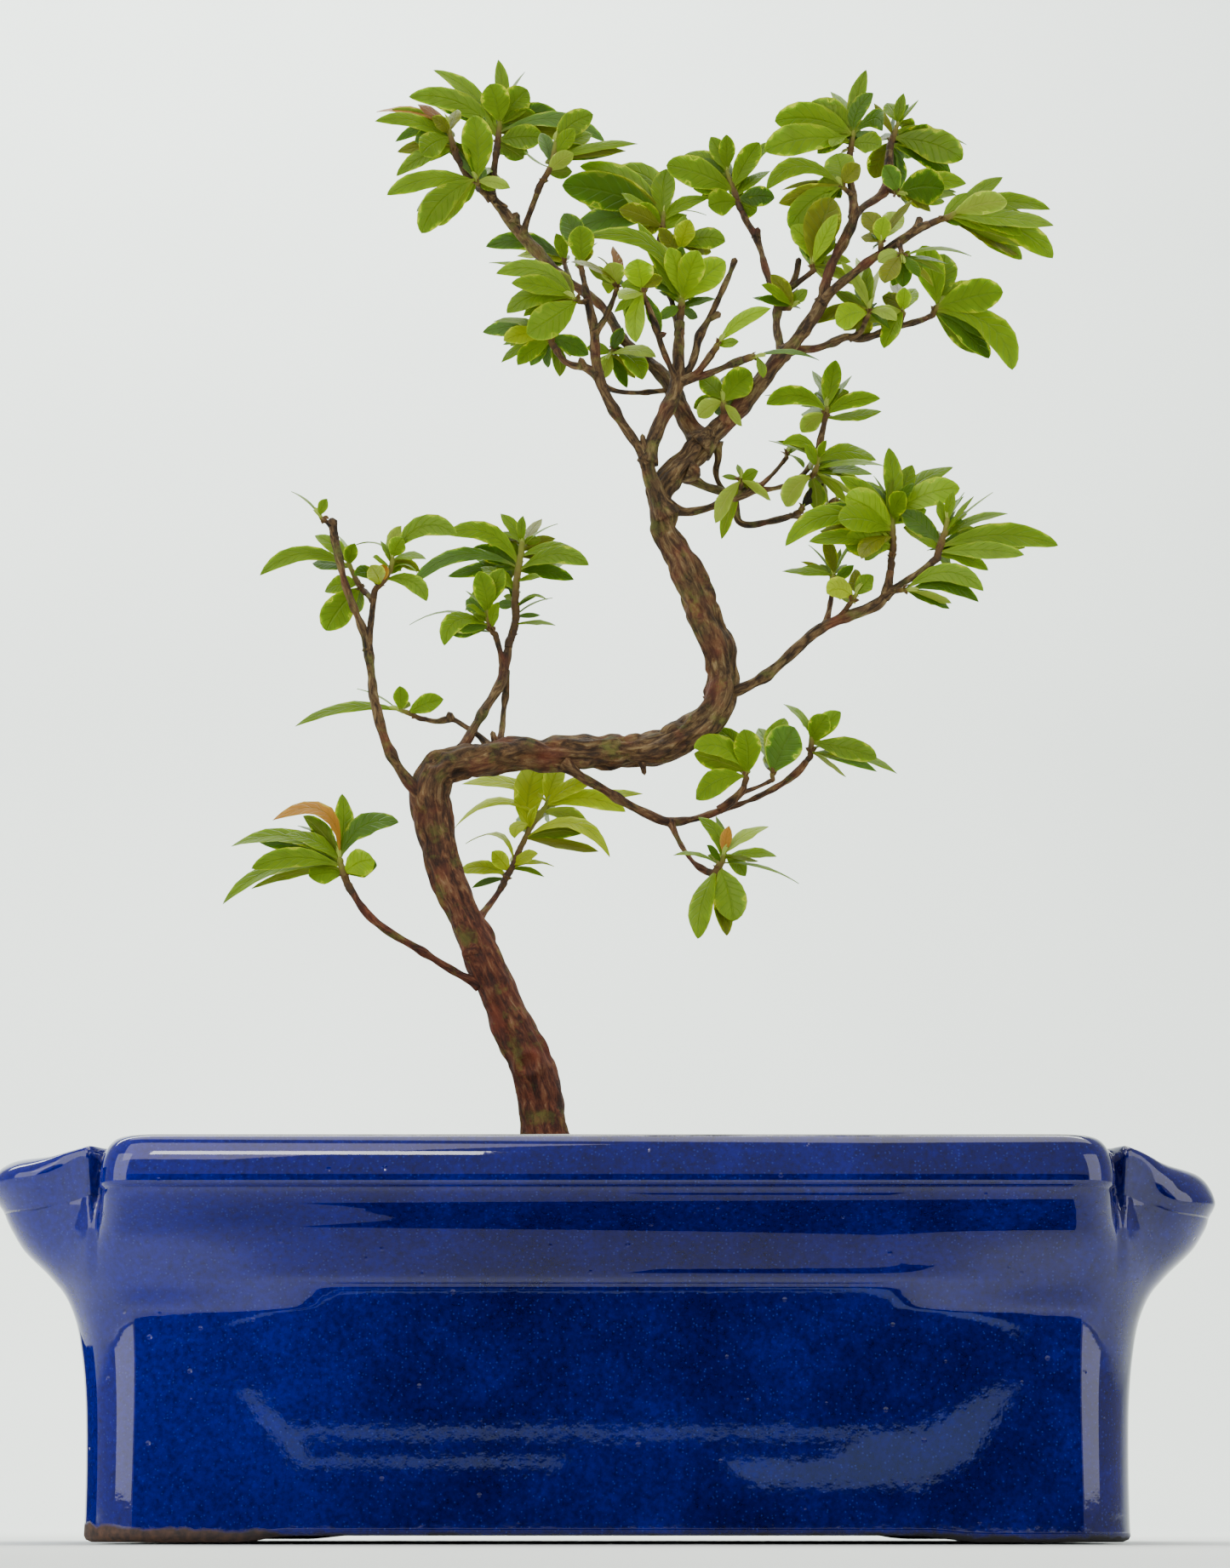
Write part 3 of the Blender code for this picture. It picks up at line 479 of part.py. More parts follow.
        (69.2, 330.4, 86.7, 327.3, 1, .35, 2.4, .08), (68.8, 329, 85.6, 323.4, -3, .8, 8.4, .08),
        (68.6, 328.6, 64, 318.4, 8, 1, 6, .05), (68.8, 329, 64.5, 338.3, -1, .45, 3, .04),
        (68.8, 329, 82.6, 319, 3, .7, 5.6, .1))),
    ("shoot_crown_side", "crown_a_spur", ((69.4, 314.6, 1.8, .65), (70.2, 314.4, 1, .55)), (
        (69.8, 314.5, 81, 315.6, -2, 1, 8.8, .1), (69.8, 314.5, 86.3, 317, 3, .8, 5.4, .1),
        (69.6, 314.6, 66.6, 321.8, -4, .8, 5, .05), (69.9, 314.4, 77.5, 309.6, 4, .6, 3.4, .1))),
    ("shoot_crown_far", "crown_b", ((80, 307.6, -16, .85), (82, 308.4, -17, .75), (84, 309.8, -18, .5)), (
        (83.4, 309.4, 95.2, 318.7, 3, .7, 4, .05), (83.4, 309.4, 106.3, 310.2, -1, .65, 5, .12),
        (83, 309, 107, 306, -8, .65, 5, .05), (82.6, 308.8, 106.5, 297.5, -1, .6, 7.4, .14),
        (83, 309, 96, 312.4, -10, -.85, 6, .05), (82.4, 308.6, 99.4, 303.4, -3, .7, 4.6, .08),
        (82.2, 308.6, 86.5, 314.6, -2, .7, 3.4, .03))),
    ("shoot_crown_back", "crown_b_spur", ((65.4, 301.2, -12.6, .65), (65.4, 302.6, -13.2, .5)), (
        (65.4, 301.8, 66.4, 308.4, -4, 1, 4.4, .03), (65.3, 301.8, 61.2, 309.4, 2, .85, 5, .05),
        (65.5, 302, 70.8, 309.2, 5, .9, 5.4, .05), (65.5, 302.2, 73.2, 312.6, 0, .5, 2.8, .03),
        (65.4, 301.6, 60.6, 303, 4, .7, 3.6, .1))),
    ("shoot_crown_drop", "crown_b_drop", ((70.2, 298.6, -14.2, .6), (70.3, 297.8, -14.8, .5)), (
        (70.2, 298.2, 70.4, 290, 3, .9, 4.4, .03), (70.2, 298.4, 87, 298, 2, .35, 2.2, .12),
        (70.2, 298.2, 66, 291, -2, .8, 5, .06), (70.2, 298.4, 64.6, 296.4, 1, .7, 4, .1),
        (70.3, 298.2, 74.4, 292.6, -1, .7, 3, .06))),
    ("shoot_right_upper", "crown_c", ((77.6, 283.8, 11.2, .7), (79, 285.8, 11.4, .5)), (
        (78.6, 285.2, 75.2, 300.8, -3, 1, 7.2, .03), (78.4, 285, 94.3, 288.7, -5, 1, 8.4, .05),
        (78, 284.4, 95.8, 268.8, -1, .7, 7.4, .22), (78.6, 285.4, 80.6, 298.6, 3, 1, 7.6, .03),
        (78.2, 284.8, 88, 283.2, 3, .7, 4.6, .04))),
    ("shoot_right_upper_spur", "crown_c_spur", ((70.2, 283.4, 6, .6), (70.3, 284.4, 5.6, .5)), (
        (70.2, 284, 70.8, 290, -4, .9, 3.8, .02), (70.2, 283.8, 65.3, 287.6, 2, .8, 4.2, .08),
        (70.2, 283.6, 65.5, 274.3, -4, .8, 4.6, .02), (70.2, 284, 73.4, 289.6, 5, .9, 4.6, .03),
        (70.2, 284, 67.8, 292, 11, .8, 4.4, .03), (70.2, 283.8, 62.2, 281, -5, .8, 4.4, .1))),
    ("shoot_right_upper_fork", "crown_c_fork", ((61.9, 283, -1.2, .65), (62.3, 284.6, -1.6, .5)), (
        (61.9, 283.2, 54.2, 280.5, -5, 1, 6.4, .1), (61.9, 283.2, 49.6, 280.6, 0, .6, 4.2, .15),
        (62.2, 284.2, 62, 296, 3, .8, 3.6, .02), (62.2, 284.2, 65.6, 295.6, 7, .6, 3, .03),
        (62.2, 284.4, 59.4, 297.6, 14, .8, 4.4, .04), (62.1, 284, 55.6, 296.6, -2, .6, 3.4, .06),
        (62, 283.6, 68.6, 281.4, -3, .6, 3.4, .15))),
    ("shoot_fan_stub", "fan_a", ((33.9, 272, -13.4, .9), (35.2, 272.2, -13.8, .5)), (
        (34.4, 272, 50, 271.2, 2, .35, 2.6, .12), (34.2, 272, 36.6, 266.8, -2, .8, 2.4, .05))),
    ("shoot_fan_knob", "fan_c", ((25.8, 275, -13.2, .8), (26.6, 276.2, -13.8, .5)), (
        (26.2, 275.6, 38.7, 284.5, -4, .8, 3.8, .1), (26, 275.4, 31, 276, -2, .7, 2.6, .02))),
    ("shoot_crown_stub", "crown_stub", ((27.2, 259.8, -2, .9), (27, 261.4, -2.6, .6)), (
        (27.1, 260.6, 34, 268, -3, .9, 7.4, .08), (27.1, 260.8, 21.5, 267, 2, .9, 5, .05),
        (27, 261, 24.3, 268, 6, .8, 3, .02), (27.1, 260.4, 31.5, 254.6, -7, -.8, 2.8, .02),
        (27.1, 260.4, 21.2, 256.8, -2, -.8, 4.6, .08))),
)


def carried(point):
    """Place a reading (x, z, depth) along its line of sight, in mm."""
    x, z, depth = point
    scale = (depth - EYE[1]) / -EYE[1]
    return np.array((EYE[0] + (x - EYE[0]) * scale, depth, EYE[2] + (z - EYE[2]) * scale))


def unit(vector):
    """The vector at length 1."""
    return vector / np.linalg.norm(vector)


def remove_everything():
    """Empty the file of objects."""
    for obj in list(bpy.data.objects):
        bpy.data.objects.remove(obj)


def make_material(name, hex_colour, roughness, metallic=0.0):
    """A principled material from an sRGB colour."""
    value = int(hex_colour[1:], 16)
    parts = [((value >> shift) & 255) / 255 for shift in (16, 8, 0)]
    linear = [c / 12.92 if c <= 0.04045 else ((c + 0.055) / 1.055) ** 2.4 for c in parts]
    material = bpy.data.materials.new(name)
    material.use_nodes = True
    shader = material.node_tree.nodes["Principled BSDF"]
    shader.inputs["Base Color"].default_value = (*linear, 1.0)
    shader.inputs["Roughness"].default_value = roughness
    shader.inputs["Metallic"].default_value = metallic
    material.diffuse_color = (*linear, 1.0)
    return material


def set_material(obj, material):
    """Give every face of the object this one material."""
    obj.data.materials.clear()
    obj.data.materials.append(material)
    for face in obj.data.polygons:
        face.material_index = 0


def make_object(name, points, faces):
    """An object from points in mm and faces, with its faces turned outward."""
    mesh = bpy.data.meshes.new(name)
    mesh.from_pydata([tuple(point) for point in np.asarray(points) * MM], [], faces)
    shape = bmesh.new()
    shape.from_mesh(mesh)
    bmesh.ops.recalc_face_normals(shape, faces=shape.faces)
    bmesh.ops.triangulate(shape, faces=shape.faces, quad_method="FIXED", ngon_method="EAR_CLIP")
    shape.to_mesh(mesh)
    shape.free()
    obj = bpy.data.objects.new(name, mesh)
    bpy.context.scene.collection.objects.link(obj)
    return obj


def boolean(target, cutter_list, operation, solver="EXACT"):
    """Join or cut the listed objects with the target, then remove them."""
    group = bpy.data.collections.new(target.name + "_operands")
    bpy.context.scene.collection.children.link(group)
    for cutter in cutter_list:
        bpy.context.scene.collection.objects.unlink(cutter)
        group.objects.link(cutter)
    modifier = target.modifiers.new(operation.lower(), "BOOLEAN")
    modifier.operation = operation
    modifier.operand_type = "COLLECTION"
    modifier.collection = group
    modifier.solver = solver
    evaluated = target.evaluated_get(bpy.context.evaluated_depsgraph_get())
    result = bpy.data.meshes.new_from_object(evaluated)
    target.modifiers.clear()
    target.data = result
    for cutter in cutter_list:
        bpy.data.objects.remove(cutter)
    bpy.data.collections.remove(group)


def is_sound(shape):
    """Whether every edge has two faces and no face crosses one it shares no point with."""
    if not all(len(edge.link_faces) == 2 for edge in shape.edges):
        return False
    shape.faces.ensure_lookup_table()
    search = BVHTree.FromBMesh(shape)
    for first, second in search.overlap(search):
        if first < second:
            corners = set(shape.faces[first].verts)
            if not corners.intersection(shape.faces[second].verts):
                return False
    return True


def can_merge(edge, middle):
    """Whether merging the edge's ends at the middle keeps the surface around it whole and unfolded."""
    first, second = edge.verts
    near_first = {link.other_vert(first) for link in first.link_edges}
    near_second = {link.other_vert(second) for link in second.link_edges}
    if len(near_first & near_second) != 2:
        return False
    for vert, other in ((first, second), (second, first)):
        for face in vert.link_faces:
            if other in face.verts:
                continue
            corners = [middle if corner is vert else corner.co for corner in face.verts]
            turned = (corners[1] - corners[0]).cross(corners[2] - corners[0])
            if turned.length < 1e-10 or turned.normalized().dot(face.normal) < 0.35:
                return False
    return True


def collapse_short_edges(shape, limit):
    """Merge the ends of edges below the limit, shortest first."""
    for sweep in range(3):
        shape.normal_update()
        short = sorted((edge.calc_length(), edge.index) for edge in shape.edges if edge.calc_length() < limit)
        shape.edges.ensure_lookup_table()
        for edge in [shape.edges[index] for length, index in short]:
            if not edge.is_valid or edge.calc_length() >= limit:
                continue
            middle = (edge.verts[0].co + edge.verts[1].co) / 2
            if can_merge(edge, middle):
                around = edge.verts[:]
                bmesh.ops.pointmerge(shape, verts=around, merge_co=middle)
                for vert in around:
                    if vert.is_valid:
                        for face in vert.link_faces:
                            face.normal_update()
        shape.edges.index_update()


def weld(shape):
    """Collapse short edges, as long a limit as leaves the surface sound."""
    bmesh.ops.triangulate(shape, faces=shape.faces)
    for limit in WELD_STEPS:
        trial = shape.copy()
        trial.edges.index_update()
        collapse_short_edges(trial, limit * MM)
        sound = is_sound(trial)
        trial.free()
        if sound:
            shape.edges.index_update()
            collapse_short_edges(shape, limit * MM)
            return


def finish_mesh(obj, smooth_below):
    """Weld stray points, keep the largest piece, triangulate and shade smooth between sharp edges."""
    shape = bmesh.new()
    shape.from_mesh(obj.data)
    weld(shape)
    left = set(shape.verts)
    pieces = []
    while left:
        seed = left.pop()
        piece = {seed}
        front = [seed]
        while front:
            vert = front.pop()
            for edge in vert.link_edges:
                other = edge.other_vert(vert)
                if other not in piece:
                    piece.add(other)
                    front.append(other)
        left -= piece
        pieces.append(piece)
    largest = max(pieces, key=len)
    scraps = [vert for vert in shape.verts if vert not in largest]
    bmesh.ops.delete(shape, geom=scraps, context="VERTS")
    bmesh.ops.triangulate(shape, faces=shape.faces)
    bmesh.ops.recalc_face_normals(shape, faces=shape.faces)
    shape.to_mesh(obj.data)
    shape.free()
    obj.data.shade_smooth()
    obj.data.set_sharp_from_angle(angle=math.radians(smooth_below))


def plan_loop(height, flare, side_flare, notch, inset, follow_ear=True):
    """One closed outline of the pot at a height: flare 1 at the foot, 0 at the rim."""
    depth = RIM_HALF_DEPTH - DEPTH_FLARE * side_flare - inset
    panel = PANEL_HALF_LENGTH - PANEL_FLARE * flare - inset
    length = RIM_HALF_LENGTH - LENGTH_FLARE * flare - inset
    end = END_HALF_DEPTH - END_FLARE * flare - inset
    turn = CORNER_ROUND
    middle = 0.3 * turn
    ear_turn = CORNER_ROUND + (EAR_ROUND - CORNER_ROUND) * (1 - flare)
    ear_middle = 0.3 * ear_turn
    chamfer = np.array(((panel + length) / 2, (depth + end) / 2))
    pinch = np.array((NOTCH_X - inset, NOTCH_Y - inset))
    notch_x, notch_y = chamfer + (pinch - chamfer) * notch
    quarter = (
        (FOOT_SPAN_X - FOOT_RAMP, depth), (FOOT_SPAN_X, depth), (panel - turn, depth),
        (panel - middle, depth - middle), (panel, depth - turn), (notch_x, notch_y),
        (length - ear_turn, end), (length - ear_middle, end - ear_middle), (length, end - ear_turn),
        (length, FOOT_SPAN_Y), (length, FOOT_SPAN_Y - FOOT_RAMP),
    )
    front_right = [(x, -y) for x, y in quarter]
    back_right = [(x, y) for x, y in reversed(quarter)]
    back_left = [(-x, y) for x, y in quarter]
    front_left = [(-x, -y) for x, y in reversed(quarter)]
    loop = [(0.0, -depth), *front_right, (length, 0.0), *back_right, (0.0, depth), *back_left,
            (-length, 0.0), *front_left]
    share = min(max((height - EAR_DROP_FROM) / (RIM_FULL_DROP - EAR_DROP_FROM), 0.0), 1.0)
    drop = EAR_DROP * share if follow_ear else 0.0
    reach = NOTCH_X - inset + 1.0
    return [(x, y, height - drop * (abs(x) > reach)) for x, y in loop]


def foot_arch(loop):
    """Lift the outline between the four corner feet."""
    lifted = []
    for x, y, z in loop:
        along_x = min(max((FOOT_SPAN_X - abs(x)) / FOOT_RAMP, 0.0), 1.0)
        along_y = min(max((FOOT_SPAN_Y - abs(y)) / FOOT_RAMP, 0.0), 1.0)
        lifted.append((x, y, z + FOOT_LIFT * max(along_x, along_y)))
    return lifted


def loft(name, loops):
    """A closed solid through outlines of equal count, capped at both ends."""
    count = len(loops[0])
    points = [point for loop in loops for point in loop]
    faces = [list(range(count))]
    for level in range(len(loops) - 1):
        first = level * count
        for index in range(count):
            after = (index + 1) % count
            faces.append([first + index, first + after, first + count + after, first + count + index])
    faces.append(list(range(len(points) - count, len(points))))
    return make_object(name, points, faces)


def cylinder(name, centre_x, radius, bottom, top, sides):
    """An upright cylinder on the long axis of the pot."""
    turns = [2 * math.pi * index / sides for index in range(sides)]
    ring = [(centre_x + radius * math.cos(turn), radius * math.sin(turn)) for turn in turns]
    return loft(name, [[(x, y, bottom) for x, y in ring], [(x, y, top) for x, y in ring]])


def block(name, centre_x, half, bottom, top):
    """An upright square block."""
    low, high = centre_x - half, centre_x + half
    ring = [(low, -half), (high, -half), (high, half), (low, half)]
    return loft(name, [[(x, y, bottom) for x, y in ring], [(x, y, top) for x, y in ring]])


def build_pot():
    """Walls lofted from the feet over the rim and down to the floor, with two drain holes."""
    under = plan_loop(FLOOR_UNDER, 1.0, 1.0, 0.0, FOOT_WIDTH + 1.0)
    foot_inner = foot_arch(plan_loop(0.0, 1.0, 1.0, 0.0, FOOT_WIDTH))
    foot_outer = foot_arch(plan_loop(0.0, 1.0, 1.0, 0.0, 0.6))
    outer = [plan_loop(*level) for level in OUTER_LEVELS]
    inner = [plan_loop(*level) for level in INNER_LEVELS]
    pot = loft("pot", [under, foot_inner, foot_outer, *outer, *inner])
    cutters = [cylinder("drain", x, DRAIN_RADIUS, -1.0, FLOOR_TOP + 2.0, 16) for x in (-DRAIN_X, DRAIN_X)]
    boolean(pot, cutters, "DIFFERENCE")
    finish_mesh(pot, 32)
    set_material(pot, make_material("blue_glazed_stoneware", "#14246E", 0.12))


def build_soil():
    """Grit filling the pot, with a plain hole for the trunk and room for the screens."""
    gap = SEAT_GAP + 0.25
    bottom = FLOOR_TOP + SEAT_GAP
    mouth, shoulder_level, bend, floor = INNER_LEVELS[-4:]
    share = (SOIL_EDGE_TOP - shoulder_level[0]) / (mouth[0] - shoulder_level[0])
    levels = (mouth, shoulder_level, bend, (bottom, *floor[1:]))
    mouth_loop, *lower = [plan_loop(*form, inset + gap, False) for *form, inset in levels]
    edge = [tuple(low + (high - low) * share for low, high in zip(*pair)) for pair in zip(lower[0], mouth_loop)]
    crest = [(x * SOIL_SHOULDER, y * SOIL_SHOULDER, SOIL_TOP) for x, y, z in edge]
    loops = [crest, edge, *lower]
    soil = loft("soil", loops)
    recess_top = bottom + SCREEN_THICK + 2 * CLIP_RADIUS + 3 * SEAT_GAP
    cutters = [cylinder("trunk_hole", TRUNK_X, PLUG_RADIUS + SEAT_GAP, SOIL_HOLE_BOTTOM, SOIL_TOP + 2.0, 12)]
    for x in (-DRAIN_X, DRAIN_X):
        cutters.append(block("recess", x, SCREEN_SIDE / 2 + SEAT_GAP, bottom - 2.0, recess_top))
    boolean(soil, cutters, "DIFFERENCE")
    finish_mesh(soil, 30)
    set_material(soil, make_material("bonsai_grit", "#6B4A32", 0.95))


def build_screen(side, centre_x):
    """A square plastic screen with nine square holes over a drain hole."""
    half = SCREEN_SIDE / 2
    lines = [-half, half]
    for step in (-1, 0, 1):
        lines += [step * SCREEN_PITCH - SCREEN_HOLE / 2, step * SCREEN_PITCH + SCREEN_HOLE / 2]
    lines = sorted(lines)
    count = len(lines)
    bottom = FLOOR_TOP + SEAT_GAP
    points = [(centre_x + x, y, z) for z in (bottom, bottom + SCREEN_THICK) for y in lines for x in lines]
    solid = [[not (column % 2 and row % 2) for column in range(count - 1)] for row in range(count - 1)]
    faces = []
    for row in range(count - 1):
        for column in range(count - 1):
            if not solid[row][column]:
                continue
            corners = [row * count + column, row * count + column + 1, (row + 1) * count + column + 1,
                       (row + 1) * count + column]
            faces.append(corners[::-1])
            faces.append([corner + count * count for corner in corners])
            neighbours = ((row - 1, column), (row, column + 1), (row + 1, column), (row, column - 1))
            for index, (next_row, next_column) in enumerate(neighbours):
                inside = 0 <= next_row < count - 1 and 0 <= next_column < count - 1
                if inside and solid[next_row][next_column]:
                    continue
                start = corners[index]
                end = corners[(index + 1) % 4]
                faces.append([start, end, end + count * count, start + count * count])
    screen = make_object("drain_screen_" + side, points, faces)
    set_material(screen, make_material("black_screen_" + side, "#1C1C1C", 0.6))


def tube(name, points, radii, sides):
    """A closed round limb along points with a radius at each."""
    points = [np.asarray(point, dtype=float) for point in points]
    along = []
    for index in range(len(points)):
        before = points[max(index - 1, 0)]
        after = points[min(index + 1, len(points) - 1)]
        along.append(unit(after - before))
    aside = unit(np.cross(along[0], (0.31, 0.83, 0.46)))
    loops = []
    for point, forward, radius in zip(points, along, radii):
        aside = unit(aside - forward * np.dot(aside, forward))
        across = np.cross(forward, aside)
        ring = []
        for step in range(sides):
            turn = 2 * math.pi * step / sides
            ring.append(point + radius * (math.cos(turn) * aside + math.sin(turn) * across))
        loops.append(ring)
    return loft(name, loops)


def build_clip(side, centre_x):
    """A bent wire that holds the screen down through its drain hole."""
    top = FLOOR_TOP + 2 * SEAT_GAP + SCREEN_THICK + CLIP_RADIUS
    low = FLOOR_UNDER - SEAT_GAP - CLIP_RADIUS
    path = ((-CLIP_FOOT_X, low), (-CLIP_LEG_X, low), (-CLIP_LEG_X, top), (CLIP_LEG_X, top),
            (CLIP_LEG_X, low), (CLIP_FOOT_X, low))
    bend = math.sqrt(2)
    radii = [CLIP_RADIUS] + [CLIP_RADIUS * bend] * 4 + [CLIP_RADIUS]
    clip = wire("screen_clip_" + side, [(centre_x + x, z) for x, z in path], radii)
    finish_mesh(clip, 30)
    set_material(clip, make_material("clip_wire_" + side, "#8A8A86", 0.35, 1.0))


def wire(name, path, radii):
    """A square wire bent in the upright plane y = 0; each radius is the half reach at its bend."""
    loops = []
    for index, (x, z) in enumerate(path):
        before = path[max(index - 1, 0)]
        after = path[min(index + 1, len(path) - 1)]
        forward = np.array((after[0] - before[0], after[1] - before[1]), dtype=float)
        if 0 < index < len(path) - 1:
            first = unit(np.array((x - before[0], z - before[1]), dtype=float))
            second = unit(np.array((after[0] - x, after[1] - z), dtype=float))
            forward = first + second
        forward = unit(forward)
        aside = np.array((-forward[1], forward[0])) * radii[index]
        loops.append([(x + aside[0], -CLIP_RADIUS, z + aside[1]), (x + aside[0], CLIP_RADIUS, z + aside[1]),
                      (x - aside[0], CLIP_RADIUS, z - aside[1]), (x - aside[0], -CLIP_RADIUS, z - aside[1])])
    return loft(name, loops)


def limb_path(points):
    """Carried points and radii of a limb or stem."""
    places = [carried((x, z, depth)) for x, z, depth, radius in points]
    radii = [radius * (depth - EYE[1]) / -EYE[1] for x, z, depth, radius in points]
    return places, radii


def thinned(points):
    """A limb without the points that lie close to the line between their neighbours."""
    if len(points) < 3:
        return points
    line = np.array(points, dtype=float)
    run = line[-1] - line[0]
    share = np.clip(((line - line[0]) @ run) / (run @ run), 0.0, 1.0)
    off = np.linalg.norm((line - line[0] - share[:, None] * run) * (1.0, 1.0, 1.0, 1.5), axis=1)
    worst = int(np.argmax(off))
    if off[worst] < LIMB_TOLERANCE:
        return (points[0], points[-1])
    return thinned(points[:worst + 1])[:-1] + thinned(points[worst:])


def build_root_flare():
    """The lobed foot of the trunk that rests on the soil."""
    loops = []
    sides = FLARE_LOBES * 3
    foot_height = FLARE[0][0]
    top_height = FLARE[-1][0]
    for height, radius in FLARE:
        fade = (top_height - height) / (top_height - foot_height)
        loop = []
        for step in range(sides):
            turn = 2 * math.pi * step / sides
            lobe = 1 + FLARE_LOBE_SWELL * fade * math.cos(FLARE_LOBES * turn)
            lean = TRUNK_X - 1.4 * (1 - fade)
            loop.append((lean + radius * lobe * math.cos(turn), radius * lobe * math.sin(turn), height))
        loops.append(loop)
    return loft("root_flare", loops)


def build_tree():
    """Plug, root flare and all limbs fused into one piece of wood."""
    name, sides, points = LIMBS[0]
    places, radii = limb_path(thinned(points))
    tree = tube("tree", places, radii, sides)
    limbs = [build_root_flare(), cylinder("plug", TRUNK_X, PLUG_RADIUS, PLUG_BOTTOM, SOIL_TOP + 4.0, 12)]
    for name, sides, points in LIMBS[1:]:
        places, radii = limb_path(thinned(points))
        limbs.append(tube(name, places, radii, sides))
    boolean(tree, limbs, "UNION", "MANIFOLD")
    finish_mesh(tree, 50)
    set_material(tree, make_material("azalea_bark", "#7A5A44", 0.85))


def stem_path(limb_name, points):
    """Stem from just beyond the cut end of its limb through its own points."""
    limb = next(points for name, sides, points in LIMBS if name == limb_name)
    places, radii = limb_path(limb)
    outward = unit(places[-1] - places[-2])
    own_places, own_radii = limb_path(points)
    start = places[-1] + outward * SEAT_GAP
    collar = min(radii[-1], own_radii[0])
    return [start, start + outward * 0.7, *own_places], [collar, collar, *own_radii]


def root_place(path, x, z, taken):
    """The point of the stem whose reading lies nearest x, z, clear of the limb end and earlier leaves."""
    best = None
    for index in range(len(path) - 1):
        steps = max(int(np.linalg.norm(path[index + 1] - path[index]) / 0.25), 2)
        for share in np.linspace(0.0, 1.0, steps):
            place = path[index] + (path[index + 1] - path[index]) * share
            if np.linalg.norm(place - path[0]) < 1.1:
                continue
            scale = -EYE[1] / (place[1] - EYE[1])
            seen = EYE + (place - EYE) * scale
            gap = math.hypot(seen[0] - x, seen[2] - z)
            nearest = min([np.linalg.norm(place - other) for other in taken] or [ROOT_SPACING])
            gap += 4 * max(ROOT_SPACING - nearest, 0.0)
            if best is None or gap < best[0] - 1e-6:
                best = (gap, place)
    return best[1]


def leaf_curve(root, tip, arch, face):
    """Functions of t for the midrib, and the side and upper directions of a leaf."""
    chord = tip - root
    length = np.linalg.norm(chord)
    forward = chord / length
    sight = unit((root + tip) / 2 - EYE)
    rise = unit(np.array((-forward[2], 0.0, forward[0])) * (1.0 if forward[0] >= 0 else -1.0))
    control = (root + tip) / 2 + rise * arch * length * 2
    seen_turn = face * math.pi / 2
    edge_on = unit(sight - forward * np.dot(sight, forward)) * (-1.0 if forward[0] >= 0 else 1.0)
    flat_on = np.cross(sight, forward)
    side = unit(edge_on * math.cos(seen_turn) + flat_on * math.sin(seen_turn))

    def at(share):
        place = (1 - share) ** 2 * root + 2 * share * (1 - share) * control + share ** 2 * tip
        tangent = unit((1 - share) * (control - root) + share * (tip - control))
        across = unit(side - tangent * np.dot(side, tangent))
        return place, across, np.cross(across, tangent)

    return at, length


def leaf_half_width(share, width):
    """Half width along a blade with a short stalk, broadest beyond its middle; slender ones are more pointed."""
    blunt = BLUNT_TIP + SLENDER_TIP * min(max(BROAD_WIDTH - width, 0.0), 4.0)
    whole = LEAF_BASE + blunt
    peak = (LEAF_BASE / whole) ** LEAF_BASE * (blunt / whole) ** blunt
    blade = share ** LEAF_BASE * (1 - share) ** blunt / peak
    return max(width / 2 * blade, STALK_HALF_WIDTH)


def blade_shape(root, tip, arch, face, width):
    """Points and faces of a closed thin blade."""
    at, length = leaf_curve(root, tip, arch, face)
    folded = width > FOLDED_WIDTH
    shares = (0.3, 0.6, 0.86) if folded else (0.36, 0.74) if width > SLENDER_WIDTH else (0.52,)
    half_thick = BLADE_THICK / 2
    points = []
    rings = []

    def add_ring(share, half, columns):
        place, across, upper = at(share)
        ring = []
        for layer, order in ((1, columns), (-1, columns[::-1])):
            for column in order:
                lift = abs(column) * BLADE_FOLD * half
                ring.append(len(points))
                points.append(place + across * column * half + upper * (lift + layer * half_thick))
        rings.append(ring)

    columns = (-1, 0, 1) if folded else (-1, 1)
    add_ring(0.0, STALK_HALF_WIDTH, (-1, 1))
    for share in shares:
        add_ring(share, leaf_half_width(share, width), columns)
    place, across, upper = at(1.0)
    tip_ring = [len(points), len(points) + 1]
    points.append(place + upper * half_thick)
    points.append(place - upper * half_thick)
    faces = [rings[0]]
    if folded:
        a, b, c, d = rings[0]
        e, f, g, h, i, j = rings[1]
        faces += [(a, f, e), (a, b, f), (b, g, f), (b, h, g), (b, c, h), (c, i, h), (c, d, i), (d, j, i),
                  (d, e, j), (d, a, e)]
    else:
        faces += strip_faces(rings[0], rings[1])
    for first, second in zip(rings[1:-1], rings[2:]):
        faces += strip_faces(first, second)
    last = rings[-1]
    half_count = len(last) // 2
    for index in range(half_count - 1):
        faces.append((last[index], last[index + 1], tip_ring[0]))
        faces.append((last[half_count + index], last[half_count + index + 1], tip_ring[1]))
    edge, edge_under = last[half_count - 1], last[half_count]
    faces += [(edge, edge_under, tip_ring[1]), (edge, tip_ring[1], tip_ring[0]),
              (last[-1], last[0], tip_ring[0]), (last[-1], tip_ring[0], tip_ring[1])]
    return points, faces


def strip_faces(first, second):
    """Triangles between two rings of equal count, cut alike on the upper and lower layer."""
    count = len(first)
    half = count // 2
    faces = []
    for index in range(count):
        after = (index + 1) % count
        a, b, c, d = first[index], first[after], second[after], second[index]
        faces += [(a, b, c), (a, c, d)] if index < half else [(a, b, d), (b, c, d)]
    return faces


